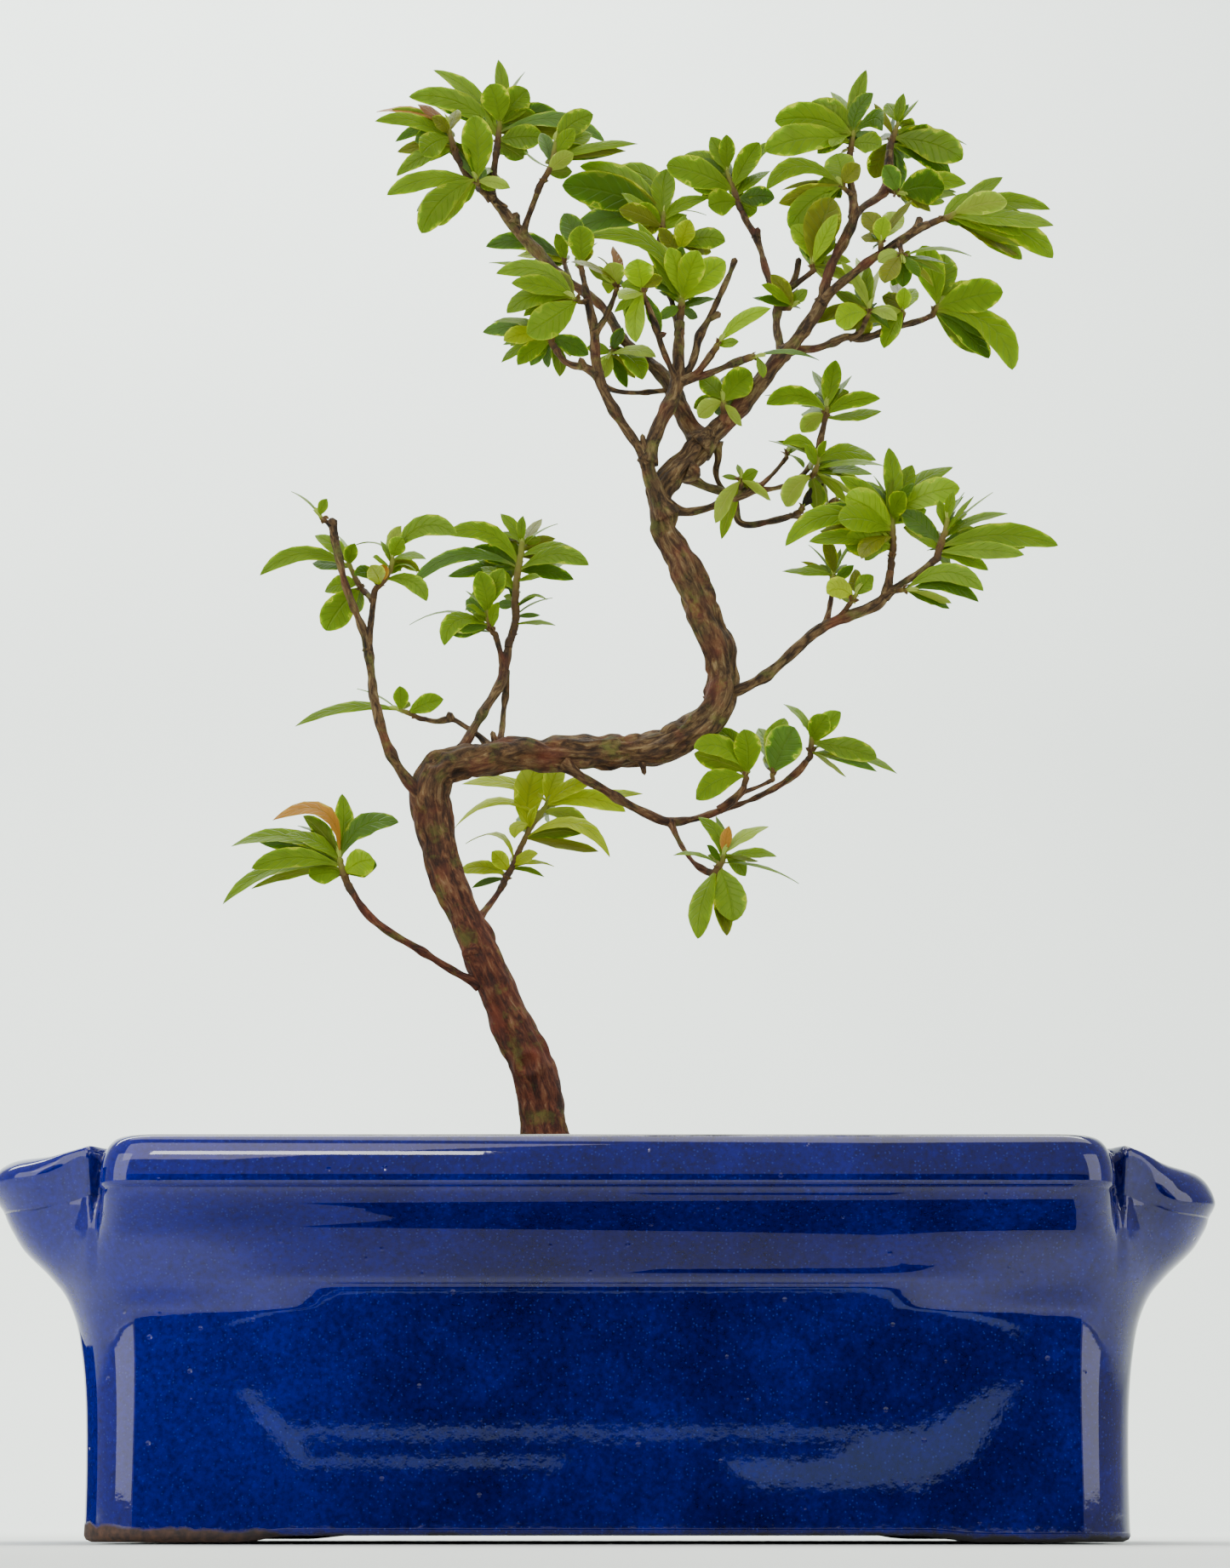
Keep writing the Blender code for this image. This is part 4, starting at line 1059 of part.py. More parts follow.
def build_shoot(name, limb_name, stem, leaves, colour):
    """A green stem and its blades, fused into one body."""
    path, radii = stem_path(limb_name, stem)
    shoot = tube(name, path, radii, 5)
    blades = []
    taken = []
    for base_x, base_z, tip_x, tip_z, tip_depth, face, width, arch in leaves:
        root = root_place(path, base_x, base_z, taken)
        taken.append(root)
        tip = carried((tip_x, tip_z, root[1] + tip_depth))
        points, faces = blade_shape(root, tip, arch, face, width)
        blades.append(make_object(name + "_blade", points, faces))
    boolean(shoot, blades, "UNION", "MANIFOLD")
    finish_mesh(shoot, 40)
    set_material(shoot, make_material(name + "_green", colour, 0.42))
    return shoot


def build_shoots():
    """All leafy shoots, one solid each."""
    greens = ("#7FB02C", "#6FA324", "#8DB52B", "#5F9A26")
    for index, (name, limb_name, stem, leaves) in enumerate(SHOOTS):
        colour = "#2E1C14" if name == "wilted_bud" else greens[index % len(greens)]
        build_shoot(name, limb_name, stem, leaves, colour)


remove_everything()
build_pot()
build_soil()
for side_name, side_x in (("left", -DRAIN_X), ("right", DRAIN_X)):
    build_screen(side_name, side_x)
    build_clip(side_name, side_x)
build_tree()
build_shoots()
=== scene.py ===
"""Finished surfaces of a satsuki azalea bonsai in a blue glazed pot.

The sections follow the making: pot, drain screens, clips, grit, wood, leafy shoots, then the floor, the
lights and the camera. Lengths in the tables are millimetres, and every mesh is in metres.
"""
import math

import bpy
import numpy as np
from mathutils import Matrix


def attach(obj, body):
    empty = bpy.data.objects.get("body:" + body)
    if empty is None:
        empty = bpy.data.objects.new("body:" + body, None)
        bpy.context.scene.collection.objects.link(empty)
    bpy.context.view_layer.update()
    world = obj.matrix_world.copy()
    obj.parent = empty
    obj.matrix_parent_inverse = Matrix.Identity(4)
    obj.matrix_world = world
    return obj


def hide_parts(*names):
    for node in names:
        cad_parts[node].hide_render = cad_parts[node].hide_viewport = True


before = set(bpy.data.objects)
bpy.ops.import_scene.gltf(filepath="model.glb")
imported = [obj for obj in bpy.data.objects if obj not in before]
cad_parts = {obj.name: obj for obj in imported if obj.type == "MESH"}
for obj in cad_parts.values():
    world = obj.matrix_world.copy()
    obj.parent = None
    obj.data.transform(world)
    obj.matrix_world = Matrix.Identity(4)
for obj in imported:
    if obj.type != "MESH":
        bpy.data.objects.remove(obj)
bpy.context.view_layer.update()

# The pot is one piece of pressed stoneware: four panels with pinched corners, a rolled rim and four
# low feet. It was dipped in cobalt glaze and fired; the foot was wiped bare and stayed brown.
MM = 0.001
RIM_HALF_LENGTH = 120.0
RIM_HALF_DEPTH = 90.0
PANEL_HALF_LENGTH = 97.0
END_HALF_DEPTH = 64.5
LENGTH_FLARE = 18.5
DEPTH_FLARE = 16.0
PANEL_FLARE = 5.0
END_FLARE = 1.0
NOTCH_X = 98.5
NOTCH_Y = 73.0
EAR_DROP = 2.5
EAR_DROP_FROM = 50.0
RIM_FULL_DROP = 66.0
FOOT_SPAN_X = 70.0
FOOT_SPAN_Y = 42.0
FOOT_RAMP = 9.0
FOOT_LIFT = 1.2
ARCH_FADE = 5.0
FLOOR_UNDER = 2.9
FLOOR_TOP = 8.0
DRAIN_X = 52.0
DRAIN_RADIUS = 11.0
FLOOR_STEPS = 96
# The floor runs into the wall: distance of its ends, sides and cut corners from the middle, growth upwards
FLOOR_END = 91.8
FLOOR_SIDE = 64.3
FLOOR_CORNER = 114.5
FLOOR_GROW = 2.4
CORNER_SWELL = 1.3
PANEL_ROUND = 7.5
NOTCH_ROUND = 4.5
EAR_ROUND = 8.5
STRAIGHT_STEPS = 26
CORNER_STEPS = 12
# Height, flare of the ends, flare of the long sides, pinch of the corner, inset
UNDER_ROWS = ((2.9, 1, 1, 0, 10.2), (0.5, 1, 1, 0, 9.5), (0, 1, 1, 0, 8.7), (0, 1, 1, 0, 1.3),
              (0.45, 1, 1, 0, 0.35))
WALL_ROWS = ((1.2, 1, 1, 0, 0), (5, 1, 1, 0, 0), (14, 0.99, 1, 0, 0), (24, 0.965, 1, 0, 0),
             (31, 0.93, 0.9992, 0, 0), (37, 0.88, 0.998, 0.01, 0), (41, 0.83, 0.9962, 0.04, 0),
             (44, 0.77, 0.993, 0.09, 0), (46.5, 0.7, 0.989, 0.15, 0), (48.3, 0.63, 0.983, 0.21, 0),
             (49.5, 0.57, 0.97, 0.26, 0), (51.5, 0.47, 0.9, 0.37, 0), (54.5, 0.32, 0.77, 0.54, 0),
             (57, 0.22, 0.645, 0.68, 0), (59, 0.17, 0.53, 0.78, 0), (61, 0.135, 0.39, 0.87, 0),
             (63, 0.105, 0.25, 0.94, 0), (64.5, 0.09, 0.165, 0.98, 0), (65.7, 0.08, 0.11, 1, 0.1))
INSIDE_ROWS = ((75.95, 0, 0, 1, 4.7), (75.6, 0, 0, 1, 6.3), (74.6, 0, 0, 1, 7.9), (73.2, 0, 0, 1, 8.7),
               (65.5, 0.07, 0.12, 1, 8.95), (58, 0.15, 0.5, 0.97, 9), (42, 0.8, 0.97, 0.1, 7.8),
               (8, 1, 1, 0, 7.5))
# The roll of the rim: angles from below to above its front, rows, and the plain edge on an ear's flat
ROLL_FROM = -9
KNOB_FROM = -42
ROLL_TO = 88
ROLL_STEPS = 22
FLAT_FOOT = 66.2
FLAT_HEIGHT = 9.7
ROLL_FOOT = 67.4
ROLL_HEIGHT = 8.5
ROLL_DEPTH = 4.5
KNOB_MIDDLE = 69.6
KNOB_HEIGHT = 6.3
# Near the panel ends the sides begin to flare a little lower, by this much, up to this height
END_FLARE_SHIFT = 5.5
SHIFT_TOP = 58.5
WALL_TOP = 65.8
SHIFT_FADE = 12.0
# Distance along x from the middle, and width, of each change of shape: panel end, ear, its tip
PANEL_END_FROM = 52.0
PANEL_END_OVER = 42.0
FLAT_FROM = 97.8
FLAT_OVER = 3.0
TIP_FROM = 104.0
TIP_OVER = 8.0
# How far the face of an ear leans out at its top, and how far its knob stands out
WING_LEAN = 7.0
LEAN_FROM = 48.0
LEAN_OVER = 28.0
LEAN_POWER = 1.3
CREASE_WIDTH = 2.6
KNOB_SWELL = 2.6
KNOB_RISE = 1.5
KNOB_REACH = 4.2
INSIDE_INSET = 9.0
EAR_FROM = 101.0
EAR_OVER = 15.0
SWELL_REACH = 8.5
DROOP_FROM = 54.0
DROOP_OVER = 16.0
# Side, outward swell of each ear in mm, its height, how far its top droops
EARS = ((-1, 2.4, 68.0, 0.0), (1, 0.9, 63.0, 2.0))


def linear(hex_colour):
    """Linear red, green, blue and alpha of an sRGB hex colour."""
    parts = np.array([int(hex_colour[place:place + 2], 16) for place in (1, 3, 5)]) / 255
    parts = np.where(parts <= 0.04045, parts / 12.92, ((parts + 0.055) / 1.055) ** 2.4)
    return (*[float(part) for part in parts], 1.0)


def output_of(value):
    """A socket as it is, or the first output in use of a node."""
    if isinstance(value, bpy.types.Node):
        return next(socket for socket in value.outputs if socket.enabled)
    return value


def add(material, kind, inputs=None, stops=None, **settings):
    """A shader node with its settings; a node or socket given as an input is linked; stops colour a ramp."""
    tree = material.node_tree
    made = tree.nodes.new("ShaderNode" + kind)
    for name, value in settings.items():
        setattr(made, name, value)
    for name, value in (inputs or {}).items():
        if isinstance(value, (bpy.types.Node, bpy.types.NodeSocket)):
            tree.links.new(output_of(value), made.inputs[name])
        else:
            made.inputs[name].default_value = value
    for index, (place, hex_colour) in enumerate(stops or ()):
        stop = made.color_ramp.elements[index] if index < 2 else made.color_ramp.elements.new(place)
        stop.position = place
        stop.color = linear(hex_colour)
    return made


def new_material(name, inputs):
    """A material with these values on its Principled shader."""
    material = bpy.data.materials.new(name)
    material.use_nodes = True
    shader = material.node_tree.nodes["Principled BSDF"]
    for key, value in inputs.items():
        shader.inputs[key].default_value = value
    return material


def join(material, value, name):
    """Link a node or socket to a named input of the material's Principled shader."""
    shader = material.node_tree.nodes["Principled BSDF"]
    material.node_tree.links.new(output_of(value), shader.inputs[name])


def grid_faces(rows, columns, wrap_rows=False, wrap_columns=True):
    """Corner numbers of the quads of one grid whose points are counted row by row."""
    row = np.arange(rows if wrap_rows else rows - 1)[:, None]
    column = np.arange(columns if wrap_columns else columns - 1)[None, :]
    next_row = (row + 1) % rows
    next_column = (column + 1) % columns
    corners = (row * columns + column, row * columns + next_column,
               next_row * columns + next_column, next_row * columns + column)
    shape = (len(row), column.shape[1])
    return np.stack([np.broadcast_to(corner, shape) for corner in corners], -1).reshape(-1, 4)


def new_piece(name, points, quads, caps=(), values=None, materials=(), picks=None):
    """A smooth object from points in mm, quads and end caps, with named values at its points."""
    mesh = bpy.data.meshes.new(name)
    flat = np.concatenate([np.asarray(quads).ravel(), *[np.asarray(cap) for cap in caps]]).astype(np.int32)
    sizes = np.concatenate([np.full(len(quads), 4), [len(cap) for cap in caps]]).astype(np.int32)
    mesh.vertices.add(len(points))
    mesh.vertices.foreach_set("co", (np.asarray(points) * MM).astype(np.float32).ravel())
    mesh.loops.add(len(flat))
    mesh.loops.foreach_set("vertex_index", flat)
    mesh.polygons.add(len(sizes))
    mesh.polygons.foreach_set("loop_start", np.concatenate([[0], np.cumsum(sizes)[:-1]]).astype(np.int32))
    mesh.polygons.foreach_set("loop_total", sizes)
    for key, value in (values or {}).items():
        kind = {1: "FLOAT", 3: "FLOAT_VECTOR"}[1 if value.ndim == 1 else value.shape[1]]
        field = {"FLOAT": "value", "FLOAT_VECTOR": "vector"}[kind]
        mesh.attributes.new(key, kind, "POINT").data.foreach_set(field, value.astype(np.float32).ravel())
    for material in materials:
        mesh.materials.append(material)
    if picks is not None:
        mesh.polygons.foreach_set("material_index", np.asarray(picks, dtype=np.int32))
    mesh.update(calc_edges=True)
    mesh.shade_smooth()
    piece = bpy.data.objects.new(name, mesh)
    bpy.context.scene.collection.objects.link(piece)
    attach(piece, "root")
    return piece


def smooth_rows(rows, steps):
    """Catmull-Rom curve through rows of numbers: each stretch is a cubic whose slopes at its ends are half
    the step between the neighbours."""
    rows = np.asarray(rows, dtype=float)
    rows = np.vstack((2 * rows[0] - rows[1], rows, 2 * rows[-1] - rows[-2]))
    before, first, second, after = rows[:-3], rows[1:-2], rows[2:-1], rows[3:]
    share = (np.arange(steps) / steps)[None, :, None]
    before, first, second, after = [part[:, None, :] for part in (before, first, second, after)]
    curve = 0.5 * (2 * first + (second - before) * share
                   + (2 * before - 5 * first + 4 * second - after) * share ** 2
                   + (3 * first - before - 3 * second + after) * share ** 3)
    return np.vstack((curve.reshape(-1, rows.shape[1]), rows[-2]))


def ease(share):
    """0 to 1 with level ends: 3 s^2 - 2 s^3."""
    share = np.clip(share, 0.0, 1.0)
    return share * share * (3 - 2 * share)


def noise(places, size, seed):
    """Value noise from -1 to 1: seeded numbers at the corners of cells of this size, eased between them."""
    cell = np.asarray(places, dtype=float) / size
    low = np.floor(cell).astype(np.int64)
    part = ease(cell - low)
    total = np.zeros(cell.shape[:-1])
    for corner in range(8):
        step = np.array([(corner >> axis) & 1 for axis in range(3)])
        mixed = ((low + step) * (73856093, 19349663, 83492791)).sum(-1) + seed * 97561
        mixed = (mixed ^ (mixed >> 13)) * 1274126177
        value = ((mixed ^ (mixed >> 16)) & 65535) / 32767.5 - 1
        total += value * np.prod(np.where(step, part, 1 - part), axis=-1)
    return total


def plan(rows):
    """Outlines of the pot, one for each row: a quarter is straight runs between three corners (panel end,
    pinch, ear), each corner a parabola that touches both runs, then mirrored three times."""
    height, end_flare, side_flare, pinch, inset = np.asarray(rows, dtype=float).T[:, :, None]
    depth = RIM_HALF_DEPTH - DEPTH_FLARE * side_flare - inset
    panel = PANEL_HALF_LENGTH - PANEL_FLARE * end_flare - inset
    length = RIM_HALF_LENGTH - LENGTH_FLARE * end_flare - inset
    end = END_HALF_DEPTH - END_FLARE * end_flare - inset
    notch_x = ((panel + length) / 2 + CORNER_SWELL) * (1 - pinch) + (NOTCH_X - inset) * pinch
    notch_y = ((depth + end) / 2 + CORNER_SWELL) * (1 - pinch) + (NOTCH_Y - inset) * pinch
    knots = [np.concatenate(knot, -1) for knot in (
        (0 * depth, depth), (panel, depth), (notch_x, notch_y), (length, end), (length, 0 * end))]
    ears = np.clip(1 - end_flare, 0, 1)
    rounds = (PANEL_ROUND, NOTCH_ROUND, PANEL_ROUND + (EAR_ROUND - PANEL_ROUND) * ears)
    quarter = []
    start = knots[0]
    for place, reach in enumerate(rounds, 1):
        back = knots[place - 1] - knots[place]
        onward = knots[place + 1] - knots[place]
        back_length = np.linalg.norm(back, axis=-1, keepdims=True)
        onward_length = np.linalg.norm(onward, axis=-1, keepdims=True)
        limit = np.minimum(reach, 0.47 * np.minimum(back_length, onward_length))
        enter = knots[place] + back / back_length * limit
        leave = knots[place] + onward / onward_length * limit
        steps = STRAIGHT_STEPS if place == 1 else 5
        share = (np.arange(steps) / steps)[None, :, None]
        quarter.append(start[:, None] * (1 - share) + enter[:, None] * share)
        share = (np.arange(CORNER_STEPS) / CORNER_STEPS)[None, :, None]
        quarter.append(enter[:, None] * (1 - share) ** 2 + knots[place][:, None] * 2 * share * (1 - share)
                       + leave[:, None] * share ** 2)
        start = leave
    share = (np.arange(STRAIGHT_STEPS + 1) / STRAIGHT_STEPS)[None, :, None]
    quarter.append(start[:, None] * (1 - share) + knots[4][:, None] * share)
    quarter = np.concatenate(quarter, 1)
    right = np.concatenate((quarter * (1, -1), quarter[:, -2:0:-1]), 1)
    loop = np.concatenate((right, quarter[:, :1], (right * (-1, 1))[:, :0:-1]), 1)
    x, y = loop[..., 0], loop[..., 1]
    height = height + 0 * x
    drop = ease((height - EAR_DROP_FROM) / (RIM_FULL_DROP - EAR_DROP_FROM))
    height = height - EAR_DROP * drop * ease((np.abs(x) - (NOTCH_X - inset - 1)) / 14)
    arch = np.maximum(ease((FOOT_SPAN_X - np.abs(x)) / FOOT_RAMP),
                      ease((FOOT_SPAN_Y - np.abs(y)) / FOOT_RAMP))
    height = height + FOOT_LIFT * arch * np.clip(1 - height / ARCH_FADE, 0, 1) * (inset < 10)
    return np.stack((x, y, height), -1)


def pot_rows(part):
    """Rows of the whole wall: under the foot, up the outside, over the roll and down the inside. On a panel
    the roll is a quarter round with a sharp lower edge, on an ear's tip a half round that the wall meets,
    and on the flat of an ear the wall runs straight up to a rounded edge."""
    turn = np.radians(np.linspace(ROLL_FROM, ROLL_TO, ROLL_STEPS))
    wall = smooth_rows(WALL_ROWS, 5)
    roll = np.zeros((len(turn), 5))
    roll[:, 3] = 1
    if part == "tip":
        turn = np.radians(np.linspace(KNOB_FROM, ROLL_TO, ROLL_STEPS))
        roll[:, 0] = KNOB_MIDDLE + KNOB_HEIGHT * np.sin(turn)
        roll[:, 4] = ROLL_DEPTH * (1 - np.cos(np.maximum(turn, 0)))
        roll[:, 1] = 0.085 * ease(turn / math.radians(KNOB_FROM))
    elif part == "flat":
        share = np.linspace(0, 1, ROLL_STEPS)
        roll[:, 0] = FLAT_FOOT + FLAT_HEIGHT * np.sin(share * math.pi / 2)
        roll[:, 4] = 0.1 + (ROLL_DEPTH - 0.3) * (1 - np.sqrt(1 - np.clip(share - 0.02, 0, 1) ** 4))
        roll[:, 1] = 0.075 * (1 - share)
    else:
        roll[:, 0] = ROLL_FOOT + ROLL_HEIGHT * np.sin(turn)
        roll[:, 4] = ROLL_DEPTH * (1 - np.abs(np.cos(turn)) ** 0.75)
    return np.vstack((UNDER_ROWS, wall, roll, smooth_rows(INSIDE_ROWS, 3)))


def flared_lower(rows):
    """The same rows with the flare of the long sides read a little higher up, so that it starts lower."""
    moved = rows.copy()
    wall = (rows[:, 4] < 0.2) & (rows[:, 0] > 2) & (rows[:, 0] < WALL_TOP)
    shift = END_FLARE_SHIFT * ease((SHIFT_TOP - rows[wall, 0]) / SHIFT_FADE)
    moved[wall, 2] = np.interp(rows[wall, 0] + shift, rows[wall, 0], rows[wall, 2])
    return moved


def shaped_outline():
    """Outlines mixed along the pot from four sets of rows (middle of a panel, its ends, the flat of an ear
    and its tip), with each ear swelled and let down."""
    panel = pot_rows("panel")
    middle, edge = plan(panel), plan(flared_lower(panel))
    flat, tip_shape = [plan(flared_lower(pot_rows(part))) for part in ("flat", "tip")]
    out = np.abs(middle[..., :1])
    outline = middle + (edge - middle) * ease((out - PANEL_END_FROM) / PANEL_END_OVER)
    outline = outline + (flat - outline) * ease((out - FLAT_FROM) / FLAT_OVER)
    outline = outline + (tip_shape - outline) * ease((out - TIP_FROM) / TIP_OVER)
    outside = ease((INSIDE_INSET - panel[:, 4:]) / ROLL_DEPTH)
    for side, swell, level, droop in EARS:
        x, y, z = side * outline[..., 0], outline[..., 1], outline[..., 2]
        tip = ease((x - EAR_FROM) / EAR_OVER)
        near = np.exp(-((z - level) / SWELL_REACH) ** 2)
        rim = ease((z - DROOP_FROM) / DROOP_OVER)
        rise = np.clip((z - LEAN_FROM) / LEAN_OVER, 0, 1) ** LEAN_POWER
        lean = WING_LEAN * ease((x - NOTCH_X) / CREASE_WIDTH) * rise
        knob = KNOB_SWELL * np.exp(-((z - level - KNOB_RISE) / KNOB_REACH) ** 2) * ease((x - TIP_FROM) / 7)
        forward = (lean + knob) * outside * np.sign(y) * ease((np.abs(y) - 30) / 30)
        outline = outline + np.stack((side * swell * tip * near, forward, -droop * tip * rim), -1)
    return outline


def glaze_material():
    """Cobalt glaze over stoneware: glassy, deep blue, a little uneven where it ran and pooled, with pin
    pits, pale specks and a thin olive edge at the lip; towards the left end the blue is painted lighter,
    as painted light. The foot is bare brown clay at the left and is nearly black elsewhere."""
    made = new_material("cobalt_glazed_stoneware", {"IOR": 1.5})
    place = add(made, "TexCoord").outputs["Object"]
    parts = add(made, "SeparateXYZ", {0: place})
    height = parts.outputs["Z"]
    cloud = add(made, "TexNoise", {"Vector": place, "Scale": 1 / 0.02, "Detail": 7.0, "Roughness": 0.66})
    blue = add(made, "ValToRGB", {0: cloud}, stops=((0.34, "#01013C"), (0.68, "#020562"), (0.5, "#01024C")))
    wide = add(made, "Mapping", {"Vector": place, "Scale": (1 / 0.06, 1 / 0.06, 1 / 0.022)})
    run = add(made, "TexNoise", {"Vector": wide, "Scale": 1.0, "Detail": 4.0})
    pooled = add(made, "MapRange", {"Value": run, "From Min": 0.5, "From Max": 0.72, "To Max": 0.25})
    pooled_blue = add(made, "Mix", {0: pooled, 6: blue, 7: linear("#01012C")}, data_type="RGBA")
    # Painted light: towards the left end the blue is mixed brighter, standing in for the light that falls
    # from that side.
    left = add(made, "MapRange", {"Value": parts.outputs["X"], "From Min": -0.03, "From Max": -0.105,
                                  "To Max": 0.6})
    painted_light_blue = add(made, "Mix", {0: left, 6: pooled_blue, 7: linear("#02057C")}, data_type="RGBA")
    sand = add(made, "TexNoise", {"Vector": place, "Scale": 1 / 0.0011, "Detail": 3.0, "Roughness": 0.7})
    sand_shade = add(made, "MapRange", {"Value": sand, "From Min": 0.3, "From Max": 0.7, "To Min": 0.6,
                                        "To Max": 1.5})
    sanded = add(made, "Mix", {0: 1.0, 6: painted_light_blue, 7: sand_shade}, data_type="RGBA", blend_type="MULTIPLY")
    speck = add(made, "TexVoronoi", {"Vector": place, "Scale": 1 / 0.0007, "Randomness": 1.0})
    pick = add(made, "SeparateColor", {0: speck.outputs["Color"]})
    few = add(made, "Math", {0: pick, 1: 0.6}, operation="GREATER_THAN")
    dot = add(made, "MapRange", {"Value": speck.outputs["Distance"], "From Min": 0.34, "From Max": 0.12,
                                 "To Max": 0.4})
    speck_mask = add(made, "Math", {0: few, 1: dot}, operation="MULTIPLY")
    specked = add(made, "Mix", {0: speck_mask, 6: sanded, 7: linear("#2C3C96")}, data_type="RGBA")
    lip_low = add(made, "MapRange", {"Value": height, "From Min": 0.0752, "From Max": 0.0759})
    lipped = add(made, "Mix", {0: lip_low, 6: specked, 7: linear("#57522C")}, data_type="RGBA")
    ragged = add(made, "TexNoise", {"Vector": place, "Scale": 1 / 0.006, "Detail": 5.0})
    bare_left = add(made, "MapRange", {"Value": parts.outputs["X"], "From Min": -0.055, "From Max": -0.1,
                                       "To Min": -0.0007, "To Max": 0.0012})
    lift = add(made, "Math", {0: ragged, 1: 0.0034, 2: bare_left}, operation="MULTIPLY_ADD")
    edge = add(made, "Math", {0: height, 1: lift}, operation="SUBTRACT")
    bare = add(made, "MapRange", {"Value": edge, "From Min": 0.0006, "From Max": -0.0001})
    clay_grain = add(made, "TexNoise", {"Vector": place, "Scale": 1 / 0.0012, "Detail": 6.0})
    clay = add(made, "ValToRGB", {0: clay_grain}, stops=((0.3, "#23140D"), (0.72, "#5E3D28")))
    # Along x the bare foot goes from brown clay at the left end to nearly black from the middle on.
    foot_dark_share = add(made, "MapRange", {"Value": parts.outputs["X"], "From Min": -0.1, "From Max": -0.05,
                                   "To Max": 0.97})
    foot = add(made, "Mix", {0: foot_dark_share, 6: clay, 7: linear("#060509")}, data_type="RGBA")
    colour = add(made, "Mix", {0: bare, 6: lipped, 7: foot}, data_type="RGBA")
    join(made, colour, "Base Color")
    smear = add(made, "MapRange", {"Value": cloud, "To Min": 0.015, "To Max": 0.04})
    rough = add(made, "Mix", {0: bare, 2: smear, 3: 0.7})
    join(made, rough, "Roughness")
    ripple = add(made, "TexNoise", {"Vector": place, "Scale": 1 / 0.011, "Detail": 2.0})
    peel = add(made, "TexNoise", {"Vector": place, "Scale": 1 / 0.0016, "Detail": 2.0})
    soft = add(made, "Math", {0: ripple, 1: 0.05}, operation="MULTIPLY")
    heights = add(made, "Math", {0: peel, 1: 0.025, 2: soft}, operation="MULTIPLY_ADD")
    pit = add(made, "TexVoronoi", {"Vector": place, "Scale": 1 / 0.006, "Randomness": 1.0})
    hole = add(made, "MapRange", {"Value": pit.outputs["Distance"], "From Min": 0.09, "From Max": 0.03,
                                  "To Max": -0.6})
    pitted = add(made, "Math", {0: heights, 1: hole}, operation="ADD")
    bump = add(made, "Bump", {"Height": pitted, "Strength": 0.3, "Distance": 0.0005})
    join(made, bump, "Normal")
    return made


def build_pot():
    """The wall as one closed loop of outlines, and the floor with its two drain holes."""
    glaze = glaze_material()
    outline = shaped_outline()
    rows, columns = outline.shape[:2]
    wall = new_piece("glazed_pot_wall", outline.reshape(-1, 3), grid_faces(rows, columns, True),
                     materials=[glaze])
    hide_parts("pot")
    turn = np.linspace(0, 2 * math.pi, FLOOR_STEPS, endpoint=False)
    facing = np.stack((np.cos(turn), np.sin(turn)), -1)
    for side, name in ((-1, "left"), (1, "right")):
        rings = []
        for grow, height, outer in ((0, FLOOR_UNDER, 0), (0, FLOOR_UNDER, 1), (FLOOR_GROW, FLOOR_TOP, 1),
                                    (0, FLOOR_TOP, 0)):
            flats = ((-side, 0, 0.2), (side, 0, FLOOR_END + grow),
                     (0, 1, FLOOR_SIDE + grow), (0, -1, FLOOR_SIDE + grow),
                     (side * 0.82, 0.574, FLOOR_CORNER + grow), (side * 0.82, -0.574, FLOOR_CORNER + grow))
            centre = np.array((side * DRAIN_X, 0.0))
            reach = np.full(len(turn), 400.0)
            for normal_x, normal_y, distance in flats:
                normal = np.array((normal_x, normal_y))
                facing_flat = facing @ normal
                room = distance - centre @ normal
                nearer = np.minimum(reach, room / np.maximum(facing_flat, 1e-3))
                reach = np.where(facing_flat > 1e-3, nearer, reach)
            distance = reach if outer else np.full(len(turn), DRAIN_RADIUS)
            rings.append(np.column_stack((centre + facing * distance[:, None], np.full(len(turn), height))))
        floor = new_piece("pot_floor_" + name, np.vstack(rings), grid_faces(4, len(turn), True)[:, ::-1],
                          materials=[glaze])
        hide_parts("pot")


build_pot()

# The drain screens are squares of black plastic mesh cut with scissors, one over each drain hole. They
# are moulded polyethylene: dull, slightly waxy, and dusted with clay.
def screen_material():
    """Moulded black polyethylene, dulled by grit dust in cloudy patches."""
    made = new_material("black_polyethylene_mesh", {"IOR": 1.51, "Specular IOR Level": 0.4})
    place = add(made, "TexCoord").outputs["Object"]
    dust = add(made, "TexNoise", {"Vector": place, "Scale": 1 / 0.004, "Detail": 5.0})
    colour = add(made, "ValToRGB", {0: dust}, stops=((0.4, "#171716"), (0.75, "#4A4036")))
    join(made, colour, "Base Color")
    rough = add(made, "MapRange", {"Value": dust, "To Min": 0.45, "To Max": 0.8})
    join(made, rough, "Roughness")
    bump = add(made, "Bump", {"Height": dust, "Strength": 0.3, "Distance": 0.0002})
    join(made, bump, "Normal")
    return made


# Each screen is held by a bent aluminium wire: its legs go down through the drain hole and turn out under
# the floor. The wire is drawn, so fine lines run along it, and it has dulled with water.
def wire_material():
    """Drawn aluminium wire gone grey, with water marks."""
    made = new_material("dulled_aluminium_wire", {"Metallic": 1.0})
    place = add(made, "TexCoord").outputs["Object"]
    mark = add(made, "TexNoise", {"Vector": place, "Scale": 1 / 0.0018, "Detail": 5.0})
    colour = add(made, "ValToRGB", {0: mark}, stops=((0.35, "#6E6B66"), (0.7, "#A9A7A2")))
    join(made, colour, "Base Color")
    rough = add(made, "MapRange", {"Value": mark, "To Min": 0.25, "To Max": 0.6})
    join(made, rough, "Roughness")
    return made


screen_plastic = screen_material()
clip_wire = wire_material()
for side in ("left", "right"):
    for node_name, finish in (("drain_screen_" + side, screen_plastic), ("screen_clip_" + side, clip_wire)):
        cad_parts[node_name].data.materials.clear()
        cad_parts[node_name].data.materials.append(finish)

